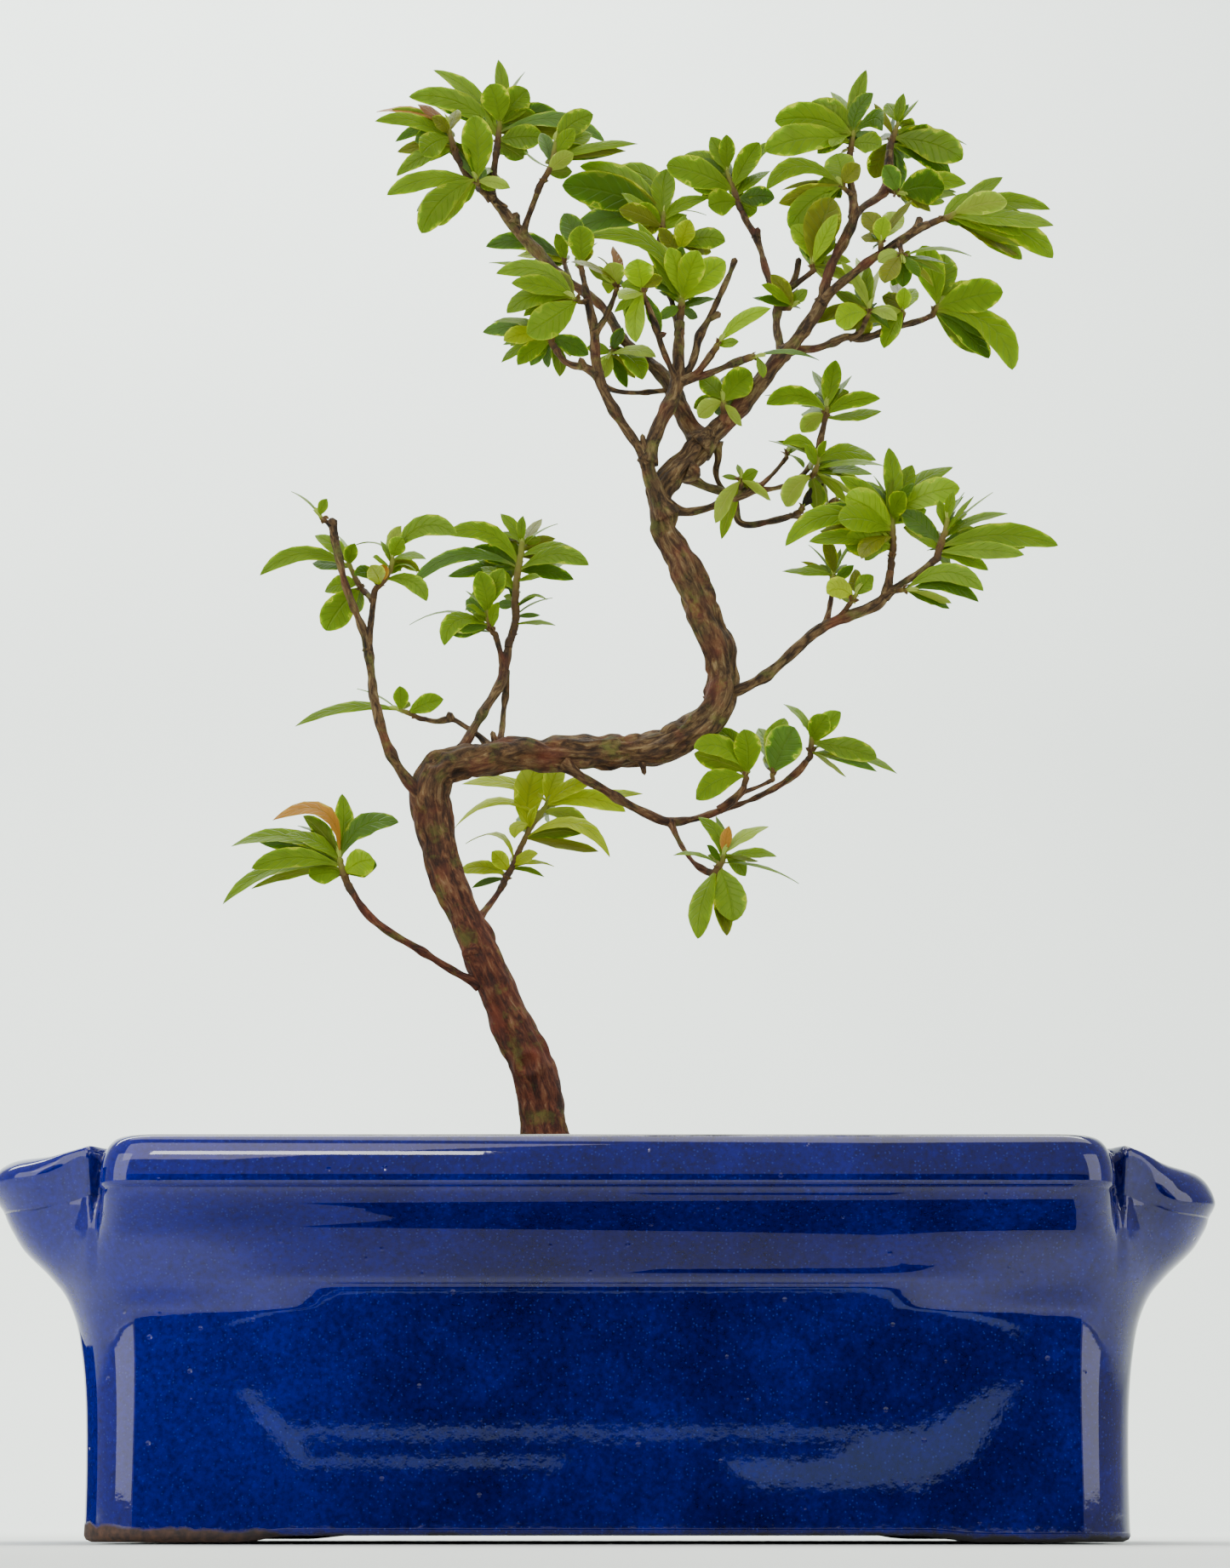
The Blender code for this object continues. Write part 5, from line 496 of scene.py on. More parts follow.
# The grit is fired clay in grains of 2 to 4 mm, heaped a little at the trunk and sloping to the rim. The
# grains are loose, a little sunk into each other, and dusted green where they stay damp.
GRIT_TOP = 68.0
GRIT_EDGE = 62.6
GRIT_REACH_X = 106.0
GRIT_REACH_Y = 80.0
GRIT_SPACING = 3.1
GRIT_ROW = GRIT_SPACING * 0.87
WALL_GAP = 2.4
TRUNK_CLEAR = 9.5
GRAIN_LIFTS = (-66, -22, 22, 66)
GRAIN_ROUND = 7
GRAIN_POINTS = len(GRAIN_LIFTS) * GRAIN_ROUND
# Height, flare of the ends, flare of the long sides, pinch, inset: the bed follows the wall inside
GRIT_SIDES = ((12, 1, 1, 0, 8.4), (42, 0.8, 0.97, 0.1, 8.7), (50, 0.5, 0.78, 0.5, 9.4),
              (58, 0.15, 0.5, 0.97, 9.8), (GRIT_EDGE, 0.1, 0.27, 0.98, 9.8))
TRUNK_FOOT = np.array((-12.0, 0.0))
grit_draws = np.random.default_rng(11)


def grit_height(x, y):
    """Height of the bed: a low dome that eases down to the wall, with soft lumps 14 mm across."""
    out = np.maximum(np.abs(x) / GRIT_REACH_X, np.abs(y) / GRIT_REACH_Y)
    places = np.stack((x, y, 0 * x), -1)
    return GRIT_TOP - (GRIT_TOP - GRIT_EDGE) * ease((out - 0.45) / 0.55) + 0.35 * noise(places, 14.0, 3) - 0.9


def grit_material():
    """Fired clay grains: matt, rust to tan, some grey, each grain its own shade, with green dust in damp
    places."""
    made = new_material("fired_clay_grit", {"Specular IOR Level": 0.25})
    shade = add(made, "Attribute", attribute_name="grain_shade").outputs["Fac"]
    place = add(made, "TexCoord").outputs["Object"]
    pore = add(made, "TexNoise", {"Vector": place, "Scale": 1 / 0.0009, "Detail": 4.0})
    tone = add(made, "Math", {0: pore, 1: 0.35, 2: shade}, operation="MULTIPLY_ADD")
    clay = add(made, "ValToRGB", {0: tone}, stops=((0.12, "#2C1B12"), (1.2, "#CBAA80"), (0.4, "#66402A"),
                                                   (0.7, "#8A5E3C"), (0.95, "#A67E58")))
    kind = add(made, "Math", {0: shade, 1: 13.7}, operation="MULTIPLY")
    kind_part = add(made, "Math", {0: kind}, operation="FRACT")
    grey_share = add(made, "MapRange", {"Value": kind_part, "From Min": 0.6, "From Max": 1.0,
                                        "To Max": 0.75})
    greyed = add(made, "Mix", {0: grey_share, 6: clay, 7: linear("#7C7264")}, data_type="RGBA")
    damp = add(made, "TexNoise", {"Vector": place, "Scale": 1 / 0.03, "Detail": 3.0})
    damp_mask = add(made, "MapRange", {"Value": damp, "From Min": 0.52, "From Max": 0.7, "To Max": 0.5})
    colour = add(made, "Mix", {0: damp_mask, 6: greyed, 7: linear("#4A5626")}, data_type="RGBA")
    join(made, colour, "Base Color")
    rough = add(made, "MapRange", {"Value": pore, "To Min": 0.8, "To Max": 1.0})
    join(made, rough, "Roughness")
    bump = add(made, "Bump", {"Height": pore, "Strength": 0.6, "Distance": 0.0004})
    join(made, bump, "Normal")
    return made


def build_grit():
    """A bed under the grains (rings from the wall outline to the middle), and a layer of lumpy grains:
    7 by 4 balls whose points are pushed in and out at random."""
    grit = grit_material()
    sides = plan(GRIT_SIDES)
    outline = sides[-1, :, :2]
    shares = np.array((1, 0.97, 0.9, 0.8, 0.65, 0.5, 0.36, 0.22, 0.1))[:, None, None]
    flat = outline[None] * shares
    rings = np.concatenate((flat, grit_height(flat[..., 0], flat[..., 1])[..., None] - 1.2), -1)
    rings = np.concatenate((sides[:-1], rings))
    rows, columns = rings.shape[:2]
    caps = [np.arange(columns), (rows - 1) * columns + np.arange(columns)[::-1]]
    bed = new_piece("grit_bed", rings.reshape(-1, 3), grid_faces(rows, columns)[:, ::-1], caps,
                    {"grain_shade": np.full(rows * columns, 0.2)}, [grit])
    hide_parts("soil")
    steps_x = int(GRIT_REACH_X / GRIT_SPACING) + 1
    steps_y = int(GRIT_REACH_Y / GRIT_ROW) + 1
    columns, rows = np.arange(-steps_x, steps_x + 1), np.arange(-steps_y, steps_y + 1)
    x, y = np.meshgrid(columns * GRIT_SPACING, rows * GRIT_ROW)
    x = x + (rows[:, None] % 2) * GRIT_SPACING / 2
    spots = np.stack((x.ravel(), y.ravel()), -1)
    spots = spots + grit_draws.uniform(-0.95, 0.95, spots.shape)
    first = outline * (1 - WALL_GAP / np.linalg.norm(outline, axis=1, keepdims=True))
    second = np.roll(first, -1, axis=0)
    between = (first[None, :, 1] > spots[:, 1:]) != (second[None, :, 1] > spots[:, 1:])
    rise = (second - first)[None, :, 1] + 1e-9
    cross_x = first[None, :, 0] + (spots[:, 1:] - first[None, :, 1]) / rise * (second - first)[None, :, 0]
    inside = ((between & (spots[:, :1] < cross_x)).sum(1) % 2) == 1
    clear_trunk = np.linalg.norm(spots - TRUNK_FOOT, axis=1) > TRUNK_CLEAR
    spots = spots[inside & clear_trunk]
    count = len(spots)
    size = grit_draws.uniform(1.15, 2.15, count)
    around = np.linspace(0, 2 * math.pi, GRAIN_ROUND, endpoint=False)[None, :]
    lift = np.radians(GRAIN_LIFTS)[:, None]
    ball = np.stack((np.cos(lift) * np.cos(around), np.cos(lift) * np.sin(around),
                     np.sin(lift) + 0 * around), -1)
    stretch = grit_draws.uniform(0.75, 1.2, (count, 1, 1, 3))
    turn = grit_draws.uniform(0, 2 * math.pi, count)[:, None, None]
    grains = ball[None] * stretch * size[:, None, None, None]
    grains = grains * (1 + 0.28 * grit_draws.uniform(-1, 1, (*grains.shape[:3], 1)))
    turned_x = grains[..., 0] * np.cos(turn) - grains[..., 1] * np.sin(turn)
    turned_y = grains[..., 0] * np.sin(turn) + grains[..., 1] * np.cos(turn)
    tilt = grit_draws.uniform(-0.9, 0.9, count)[:, None, None]
    tipped_x = turned_x * np.cos(tilt) - grains[..., 2] * np.sin(tilt)
    tipped_z = turned_x * np.sin(tilt) + grains[..., 2] * np.cos(tilt)
    heights = grit_height(spots[:, 0], spots[:, 1]) + grit_draws.uniform(-0.7, 0.5, count)
    points = np.stack((tipped_x + spots[:, 0, None, None], turned_y + spots[:, 1, None, None],
                       tipped_z + heights[:, None, None]), -1)
    starts = np.arange(count) * GRAIN_POINTS
    quads = (grid_faces(len(GRAIN_LIFTS), GRAIN_ROUND)[None] + starts[:, None, None]).reshape(-1, 4)
    ends = (np.arange(GRAIN_ROUND)[::-1], np.arange(GRAIN_POINTS - GRAIN_ROUND, GRAIN_POINTS))
    caps = [start + ring for start in starts for ring in ends]
    shade = np.repeat(grit_draws.uniform(0.0, 0.95, count), GRAIN_POINTS)
    grains = new_piece("grit_grains", points.reshape(-1, 3), quads, caps, {"grain_shade": shade}, [grit])
    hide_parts("soil")


build_grit()

# The wood is one grown piece: a bent trunk about 10 mm thick, branches shaped by wiring and pruning, and
# thin twigs. It is azalea: thin flaking bark, red brown low down and grey brown above, green with algae.
EYE = np.array((1.5, -641.0, 3.0))
# Limbs: name, then points (x, z, depth y, radius); the first is the trunk
LIMBS = (
    ("trunk", ((-12, 69.2, 0, 7), (-12.2, 74, 0, 6.6), (-13.1, 81, 0, 5.7), (-14.2, 88, 0, 5.25),
        (-16, 98, -.5, 4.95), (-18.4, 106, -1, 4.8), (-22.1, 113.5, -1.5, 4.6), (-26, 121.5, -2, 4.25),
        (-29.5, 129.5, -2.4, 4.05), (-32.8, 137, -2.7, 4), (-36.3, 144.8, -3, 4.1), (-38.6, 152.5, -3, 4.3),
        (-40, 160, -3, 4.5), (-40.3, 166, -3, 4.7), (-38.4, 170.4, -3, 4.6), (-34, 172.3, -2.6, 4.1),
        (-28, 173.4, -2, 3.8), (-20, 174.4, -1, 3.7), (-11, 174.4, 0, 3.7), (-2, 174.5, 1, 3.7),
        (5, 174.7, 2, 4), (11, 175.6, 2.6, 4.5), (16.5, 178, 3, 4.3), (21.5, 181.6, 3, 4.2),
        (25.2, 186.5, 3, 4), (26.3, 192, 3, 3.8), (25.6, 198, 2, 3.7), (23.3, 205, 1, 3.8),
        (20.8, 212, 0, 3.7), (18, 219.5, -1, 3.6), (14.4, 226, -1.6, 3.5), (12.3, 232.5, -2, 3.4),
        (12.4, 238, -1.6, 3.4), (15.5, 243, -.8, 3.4), (19.5, 247, .4, 3.5), (23, 251.3, 1.2, 3))),
    ("bend_knob", ((-39.2, 171, -3.2, 2.2), (-40.4, 175.2, -3.6, 1.1))),
    ("bend_scar", ((-30.6, 128.4, -4.6, 1.8), (-31, 128.4, -7, 1.3))),
    ("low_left", ((-29, 121, -3.4, 1.3), (-33, 122.9, -5, 1), (-38, 125.9, -6.8, .95),
        (-43.5, 129.4, -8.4, .9), (-49, 132.6, -9.8, .9), (-53.4, 136, -11, .9), (-56.4, 139.4, -11.8, .95),
        (-58.2, 142.4, -12.2, 1))),
    ("behind", ((-30, 135, -1, 1.3), (-27.6, 138.2, 2.4, .85), (-25.6, 140.9, 5, .8),
        (-24.2, 143.2, 6.8, .8))),
    ("left", ((-40.5, 162.5, -4.2, 2.2), (-44.2, 166, -5.6, 1.6), (-46.6, 169.2, -6.4, 1.35),
        (-49.2, 173.2, -7.2, 1.25), (-51.3, 178, -7.8, 1.2), (-52.8, 183, -8.2, 1.15),
        (-54, 188, -8.6, 1.1), (-54.8, 193, -9, 1.1), (-55.4, 198, -9.2, 1.15), (-56.2, 202.4, -9.4, 1.15),
        (-58.2, 207.2, -9.8, 1), (-60.2, 212.2, -10.2, .9), (-61.8, 217.2, -10.4, .9),
        (-63.1, 222.4, -10.6, .85), (-64.2, 227.4, -10.8, .9), (-64.9, 231.6, -11, 1.15))),
    ("left_spur", ((-64.8, 229.8, -11, .7), (-66.4, 231, -11.4, .5))),
    ("left_inner", ((-55.7, 199, -9.2, 1), (-55.3, 204, -9.6, .85), (-54.9, 208.4, -10, .8),
        (-54.5, 212.6, -10.4, .85))),
    ("left_inner_a", ((-54.8, 211.4, -10.2, .7), (-56.2, 213, -8.6, .7))),
    ("inner_left", ((-36, 172.8, -3, 1.7), (-33, 176.8, -1.6, 1.3), (-30.9, 180.6, 0, 1.15),
        (-28.6, 184.8, 1.6, 1.1), (-26.2, 188.8, 3.2, 1.15), (-24.6, 192, 4.4, 1.2), (-24, 195.6, 5.4, 1.2),
        (-23.1, 200.6, 6.2, 1.1))),
    ("inner_left_a", ((-24.2, 194, 5, .95), (-25, 198.6, 4.2, .75), (-25.9, 202, 3.4, .7))),
    ("inner_left_back", ((-25.4, 175.4, 1.2, 1.1), (-24.5, 180, 3.4, .8), (-24.1, 185, 5, .75),
        (-23.6, 190, 6, .8), (-23.6, 195, 6.2, .9))),
    ("inner_left_stub", ((-25.8, 176.4, .8, .9), (-26.8, 180, .2, .6))),
    ("short_left", ((-27, 175.6, .4, 1.2), (-29.6, 178.6, 1.8, .8), (-32.8, 180.9, 3, .7),
        (-36, 182.7, 4, .75), (-39.6, 182.2, 5, .6), (-42.6, 182.8, 5.8, .6))),
    ("short_left_stub", ((-36, 182.2, 4, .8), (-36.9, 184.5, 3.6, .9))),
    ("under", ((-10.5, 172.4, -1, 1.6), (-5.8, 168.8, -.2, 1.15), (-1, 166, .8, 1.1), (4, 162.8, 1.8, 1.05),
        (9, 160.2, 2.8, 1.05), (13.6, 158.4, 3.6, 1.1), (18, 158.9, 4.8, .95), (22.5, 160, 6, .85),
        (27, 161.6, 7.2, .75), (32, 163.4, 8.4, .7), (37, 165.8, 9.6, .7), (40.6, 168, 10.6, .85),
        (43.6, 170.6, 11.4, .8), (45.6, 173, 11.8, .7))),
    ("under_a", ((25.2, 161.2, 6.8, .8), (28.2, 163.4, 5.6, 1.1), (30.6, 165.8, 4.6, .9),
        (31.2, 167.6, 4, .7))),
    ("under_b", ((30.2, 165.2, 4.8, .6), (34, 166.6, 5.4, .5), (36.8, 167.9, 6, .5))),
    ("under_low", ((14.2, 158.4, 3.6, .9), (15.4, 155.4, 2.4, .7), (17, 152.2, 1, .65),
        (19.4, 148.9, -.6, .65), (22, 147, -2, .8), (23.4, 146.5, -2.8, 1.1))),
    ("under_stub", ((7.8, 172.4, 1, .8), (8.3, 169.4, .6, .5))),
    ("right", ((23.5, 185.6, 3, 2.2), (27.5, 188.6, 2.4, 1.5), (32, 190.6, 1, 1.35),
        (36.5, 193.2, -.6, 1.3), (41, 197.2, -2.4, 1.25), (45.2, 201.2, -4.2, 1.25), (49.5, 204.8, -6, 1.3),
        (54, 207, -7.8, 1.35), (59, 208.8, -9.6, 1.35), (62.8, 210.8, -11, 1.4), (64.6, 213.4, -11.8, 1.3),
        (65.4, 217, -12.2, 1), (65.8, 219.2, -12.4, .9))),
    ("right_a", ((64.2, 212.4, -11.4, 1.1), (68.4, 215.6, -13.6, .9), (72, 217.9, -15.4, .9),
        (75.8, 221, -17, .95))),
    ("right_b", ((65.4, 213.6, -11.8, .8), (67.6, 213.8, -14.8, .6))),
    ("right_c", ((53.2, 206.6, -7.4, .9), (55.4, 209.6, -9.8, .6))),
    ("right_d", ((50.2, 205.2, -6.2, .9), (51.2, 209, -4.4, .7), (52, 213.4, -2.4, .65))),
    ("upper_right", ((13, 234.6, -1.6, 1.8), (17.5, 233.2, -.4, 1.2), (21.5, 233.6, .8, 1),
        (25.5, 234.9, 2, 1), (29.5, 236.4, 3.2, 1.1), (33, 238.3, 4.4, 1.2), (35.8, 239.9, 5.2, 1.2))),
    ("upper_right_a", ((34.2, 238.8, 4.9, .9), (38, 238.8, 6.2, .65), (42, 239.9, 7.8, .65),
        (46.4, 241.5, 8.6, .7))),
    ("upper_right_b", ((35.4, 239.4, 5.2, .7), (38.8, 242.8, 7.4, .55), (41.4, 246, 9.4, .6))),
    ("upper_right_c", ((43.8, 240.6, 8.4, .65), (46.8, 243.8, 11.8, .7), (49.2, 248.4, 12, .75),
        (50.3, 252.6, 12, .75), (50.9, 255.2, 12.2, .7))),
    ("upper_right_spur", ((30.4, 236.9, 3.6, .7), (31, 239.2, 2.8, .5))),
    ("trunk_knob", ((18.2, 243.6, -.6, 2.2), (21.6, 242.1, .4, 1.5))),
    ("back_loop", ((18.6, 242, 1.4, 1.4), (22.5, 239.6, 3.4, 1.1), (26, 238.4, 5.6, 1.1),
        (28.8, 237.2, 7.4, 1.1), (29.7, 233.8, 8.6, 1), (30.5, 230.8, 9.6, .9), (33, 229.9, 10.6, .8),
        (37, 230.6, 11.6, .75), (41, 231.6, 12.6, .75), (44.2, 232.9, 13.4, .8))),
    ("back_loop_a", ((42.6, 232.2, 12.9, .6), (45.8, 232, 16.8, .55), (50.4, 234.2, 18.4, .55),
        (52.2, 235.7, 19, .5))),
    ("thin_loop", ((25.6, 250.6, 2.6, 1.1), (25.8, 246.4, 4.6, .95), (25.2, 243.4, 6, .8),
        (25.8, 240.4, 6.8, .7), (27.8, 237.6, 7, .8))),
    ("front", ((13.6, 232, -2.8, 2.4), (11.2, 238, -5, 2), (9.6, 243, -6.4, 1.9), (8.8, 247.6, -7.4, 1.8))),
    ("front_a", ((9.4, 245.2, -7, 1.5), (6.6, 250, -8.2, 1.2), (3.8, 254.4, -9, 1.25),
        (1.2, 258.8, -9.8, 1.35), (-1, 263.4, -10.4, 1.3), (-2.6, 268.4, -10.8, 1.25),
        (-3.2, 273.4, -11, 1.2), (-3.5, 278.4, -11, 1.3), (-4.2, 283, -10.8, 1.1), (-5.3, 288, -10.4, 1),
        (-6.2, 293, -10, .8))),
    ("front_a_fork", ((-3.4, 278.2, -11, .95), (-1.2, 281.4, -12.4, .8), (.4, 285, -13.6, .75),
        (1.6, 288.4, -14.4, .65))),
    ("front_a_low", ((-2.2, 267.2, -10.8, 1.2), (-5.6, 269.4, -9.8, 1.1), (-8.6, 270, -8.8, .9),
        (-11, 271.6, -7.6, .85), (-12.6, 274.2, -6.4, .8))),
    ("front_a_knob", ((-5.8, 269.2, -9.8, .9), (-6.9, 272, -10.4, .8))),
    ("front_bridge", ((-1.2, 264.8, -10.2, .7), (2, 263.4, -7, .65), (7, 263, -2, .65),
        (13.6, 263.6, 3.4, .7))),
    ("front_stub", ((8.4, 247.8, -7.6, 1), (7.9, 252.8, -8.4, .6))),
    ("front_b", ((9.2, 245.4, -7, 1.8), (10.4, 250.6, -7.2, 1.8), (12, 254.8, -7, 1.8),
        (13.9, 259, -6.6, 1.8), (15.6, 263, -6.2, 1.8), (16.5, 267, -6, 1.7), (16.6, 272, -6, 1.45),
        (16.7, 277, -6, 1.35), (17, 281.8, -6, 1.4))),
    ("fan_a", ((16.2, 265.6, -6, 1.3), (20, 266.6, -7.4, 1), (25, 268.4, -9.6, .9), (29, 270.2, -11.4, .85),
        (32.6, 271.6, -13, 1.15))),
    ("fan_b", ((16.4, 266, -6, 1.2), (19.2, 269.2, -5, 1), (20.6, 273, -4, 1.05), (21.6, 277.4, -3, 1.1),
        (24, 282, -2.4, .8), (26.4, 287.4, -1.8, .75), (28.6, 292.6, -1.2, .7), (30.4, 297.6, -.6, 1))),
    ("fan_b_knob", ((24, 282, -2.4, .7), (26.8, 283.3, -1.4, .95))),
    ("fan_c", ((17.4, 266, -6.2, 1), (20.6, 267.8, -8.4, .9), (22.8, 270.4, -10.4, .9),
        (24.9, 273.5, -12.4, 1.2))),
    ("fan_d", ((16.4, 265.4, -6, 1), (14.6, 269.6, -8.4, .8), (12.9, 274, -10.8, .85),
        (11.6, 278.4, -13, .9), (10.2, 283, -15, .75), (8.8, 286.6, -16.2, .7))),
    ("fan_d_knob", ((11.8, 277.4, -12.6, .7), (13.8, 278.2, -13.4, .7))),
    ("centre", ((16.8, 278, -5.8, 1), (15.4, 285, -1.5, .8), (14, 291, 3, .8), (12.8, 297, 6.6, .8),
        (12.4, 302, 8.6, .8))),
    ("back", ((22, 250.2, 1.4, 2.5), (19, 254.8, 2, 2.3), (17.2, 259, 2.8, 2.2), (15.6, 262.8, 3.8, 2.1),
        (13.6, 266.4, 5.4, 1.8), (10.2, 270.2, 7.5, 1.5), (6.6, 273.4, 9.4, 1.35), (3.2, 276.8, 11, 1.3),
        (1.2, 280.6, 12.4, 1.2), (-1.2, 284.4, 13.6, 1.15), (-5.2, 288.4, 14.6, 1.15),
        (-10, 291.6, 15.4, 1.2), (-13.8, 294.8, 16, 1.3), (-16.8, 298.8, 16.4, 1.35),
        (-19.8, 302.4, 16.6, 1.4), (-23.2, 306.6, 16.6, 1.5), (-26.4, 311, 16.4, 1.3),
        (-29, 314.2, 16, 1.1))),
    ("back_knob", ((-22.9, 306.2, 16.6, 1.3), (-22.1, 309.6, 16.4, .9))),
    ("back_spine", ((-27.2, 312.2, 16.2, .8), (-25.4, 311.5, 14.8, .5), (-24.2, 310.8, 13.8, .4))),
    ("back_a", ((-28.2, 313.2, 16.2, 1.1), (-31.6, 316.2, 14.2, .95), (-34.4, 319.4, 12.6, .9),
        (-36.5, 323.4, 11.6, .85))),
    ("back_b", ((-28.4, 313.4, 16.2, 1.1), (-28, 318.4, 18, .95), (-27.2, 325.6, 19.6, .9))),
    ("back_c", ((-20.6, 303.6, 16.4, 1), (-19.8, 307, 14.4, .8), (-18.3, 311.4, 11.6, .8),
        (-17, 315.4, 9, .9))),
    ("back_a_spur", ((-31.2, 315.8, 14.4, .8), (-31.5, 316.6, 11.6, .6))),
    ("back_spur", ((3, 277.2, 11.2, .8), (1.6, 274.8, 9.6, .6))),
    ("back_d", ((-9.2, 291, 15.3, .8), (-10.2, 294.8, 18, .6))),
    ("crown", ((21, 249.2, .8, 2.9), (24.5, 252.6, 1, 2.5), (28.5, 256.3, .6, 2.3), (32, 260.2, 0, 2.1),
        (35.2, 264.5, -1, 2), (38.2, 268.8, -2, 1.9), (41.2, 272.6, -3, 1.9), (44, 275.6, -3.4, 1.7),
        (47, 279.6, -3.8, 1.6), (49.6, 283.6, -4, 1.6), (51, 287.2, -4, 1.5), (52, 291.5, -4, 1.3),
        (54, 297, -3.5, 1.2), (56.2, 301.5, -3, 1.1), (58.3, 306, -2.4, 1.1), (59.2, 310.2, -2, 1.1),
        (58.8, 314.5, -1, .95), (58.4, 319.5, 0, .9), (58.3, 323.4, 1, .9))),
    ("crown_spur", ((58.8, 313.8, -1.2, .8), (57.4, 315.2, -3.2, .6))),
    ("crown_a_spur", ((66.6, 315.6, 4.6, .8), (68.5, 314.9, 2.8, .6))),
    ("crown_d_spur", ((40.2, 284.6, 2.4, .8), (42.4, 284.5, .6, .6))),
    ("centre_spur", ((13.8, 293.6, 4.6, .8), (15.7, 296.6, 2.8, .6))),
    ("front_a_spur", ((-5.1, 286.2, -10.6, .8), (-6.5, 286.2, -12.4, .6))),
    ("crown_stub", ((27.6, 255.4, .4, 1.6), (27.4, 258.4, -1.4, 1.2))),
    ("crown_knob", ((23.4, 252, 0, 1.6), (23.4, 254.6, -1.6, 1))),
    ("crown_a", ((58.7, 308, -2, 1), (61.5, 311, 0, .95), (64.5, 313, 2.5, 1.1), (66.6, 315.2, 4.5, 1.2),
        (67.4, 319, 6, 1.1), (68.1, 326, 7.4, 1))),
    ("crown_b", ((50.4, 285.6, -4, 1.3), (54, 289.6, -5, 1.2), (58, 293, -7, 1.1), (62, 296.4, -9, 1.05),
        (66.5, 299.6, -10.5, 1), (70.5, 302.3, -12, 1.1), (74.5, 305.2, -13.5, 1.1), (78, 306.8, -15, .9))),
    ("crown_b_spur", ((65.2, 298.2, -10.2, .8), (65.3, 300, -11.8, .7))),
    ("crown_b_drop", ((69.8, 302, -11.8, .8), (70.1, 299.6, -13.4, .6))),
    ("crown_b_knob", ((74, 304.8, -13.4, 1), (75, 308.4, -12.8, .9))),
    ("crown_c", ((40.8, 272.8, -3, 1.4), (45, 274, -2.4, 1.1), (49, 274.2, -1, 1), (53, 275.6, .5, 1),
        (56.6, 277.2, 2, 1), (60, 276.7, 3.5, .9), (64, 277.9, 5.5, .9), (68, 279.6, 7.5, .9),
        (74, 281.3, 10, .75), (76.5, 282.4, 11, .7))),
    ("crown_c_spur", ((69.2, 279.8, 8, .7), (70, 282.2, 6.6, .6))),
    ("crown_c_fork", ((57.2, 276.8, 2.2, .8), (60, 278.6, .6, .7), (61.3, 281.6, -.6, .7))),
    ("crown_d", ((41.4, 271.8, -3, 1.4), (40.6, 276, -1.6, 1.1), (40, 280, .4, 1.05),
        (40.3, 284.5, 2.4, 1.05), (40.6, 287.5, 3.6, 1), (38.8, 291, 4.8, .9), (37.4, 295.5, 6.2, .85),
        (36.3, 300, 7.6, .85), (35.2, 303.5, 8.6, .9), (33.3, 306.8, 9.4, .85), (31.8, 310.2, 10.2, .8))),
    ("crown_d_knob", ((35.4, 302.8, 8.4, .9), (35.9, 305.6, 8.4, .8))),
    ("crown_d_stub", ((40.4, 286.4, 3.2, 1), (43, 289.6, 2.2, .85), (44.8, 293, 1.2, .8),
        (45.7, 297.8, .6, .95))),
    ("crown_d_fork", ((42.4, 288.9, 2.4, .85), (46, 291.8, -.6, .75), (48.3, 293.6, -2.2, .7))),
)
# Root flare: height, radius
FLARE = ((66.5, 13.6), (68.35, 13.0), (70.4, 10.6), (73.6, 8.2), (78.0, 6.6))
FLARE_LOBES = 5
FLARE_LOBE_SWELL = 0.22
TRUNK_SIDES = 60
TRUNK_STEP = 0.55
# Pruning scars on the front: x, z, radius, height of the lip
SCARS = ((-17.6, 102, 2.5, 0.7), (-31, 127, 1.3, 0.5), (20.8, 208, 2.0, 0.6), (-39, 171, 2.2, 0.8))


def carried(table):
    """Readings (x, z, depth, radius) moved along their lines of sight: places and radii in mm."""
    x, z, depth, radius = np.asarray(table, dtype=float).T
    scale = (depth - EYE[1]) / -EYE[1]
    return np.stack((EYE[0] + (x - EYE[0]) * scale, depth, EYE[2] + (z - EYE[2]) * scale), -1), radius * scale


def even_curve(places, radii, step):
    """The smooth curve through the places at even steps, with the radius and the length run so far."""
    dense = smooth_rows(np.column_stack((places, radii)), 10)
    run = np.concatenate(([0], np.cumsum(np.linalg.norm(np.diff(dense[:, :3], axis=0), axis=1))))
    count = max(int(run[-1] / step) + 1, 4)
    even = np.linspace(0, run[-1], count)
    columns = [np.interp(even, run, dense[:, place]) for place in range(4)]
    return np.stack(columns[:3], -1), columns[3], even


def across_curve(curve):
    """Two directions square to the curve at each of its points, turned the same way all along."""
    forward = np.gradient(curve, axis=0)
    forward /= np.linalg.norm(forward, axis=1, keepdims=True)
    aside = np.cross(forward, (0.12, 1.0, 0.07))
    aside /= np.linalg.norm(aside, axis=1, keepdims=True)
    return aside, np.cross(forward, aside), forward


def limb_rings(curve, radii, run, sides, swell):
    """Rings round a curve: centre + r (1 + swell) (cos a aside + sin a up), with the grain place of each
    point, which is the place on a straight limb of the same thickness."""
    aside, up, forward = across_curve(curve)
    turn = np.linspace(0, 2 * math.pi, sides, endpoint=False)
    ring = np.cos(turn)[None, :, None] * aside[:, None] + np.sin(turn)[None, :, None] * up[:, None]
    grain = np.stack((radii[:, None] * np.cos(turn), radii[:, None] * np.sin(turn),
                      run[:, None] + 0 * turn), -1)
    reach = radii[:, None] * (1 + 0 * turn) + swell(grain, turn[None, :], run[:, None])
    return curve[:, None] + ring * reach[..., None], grain


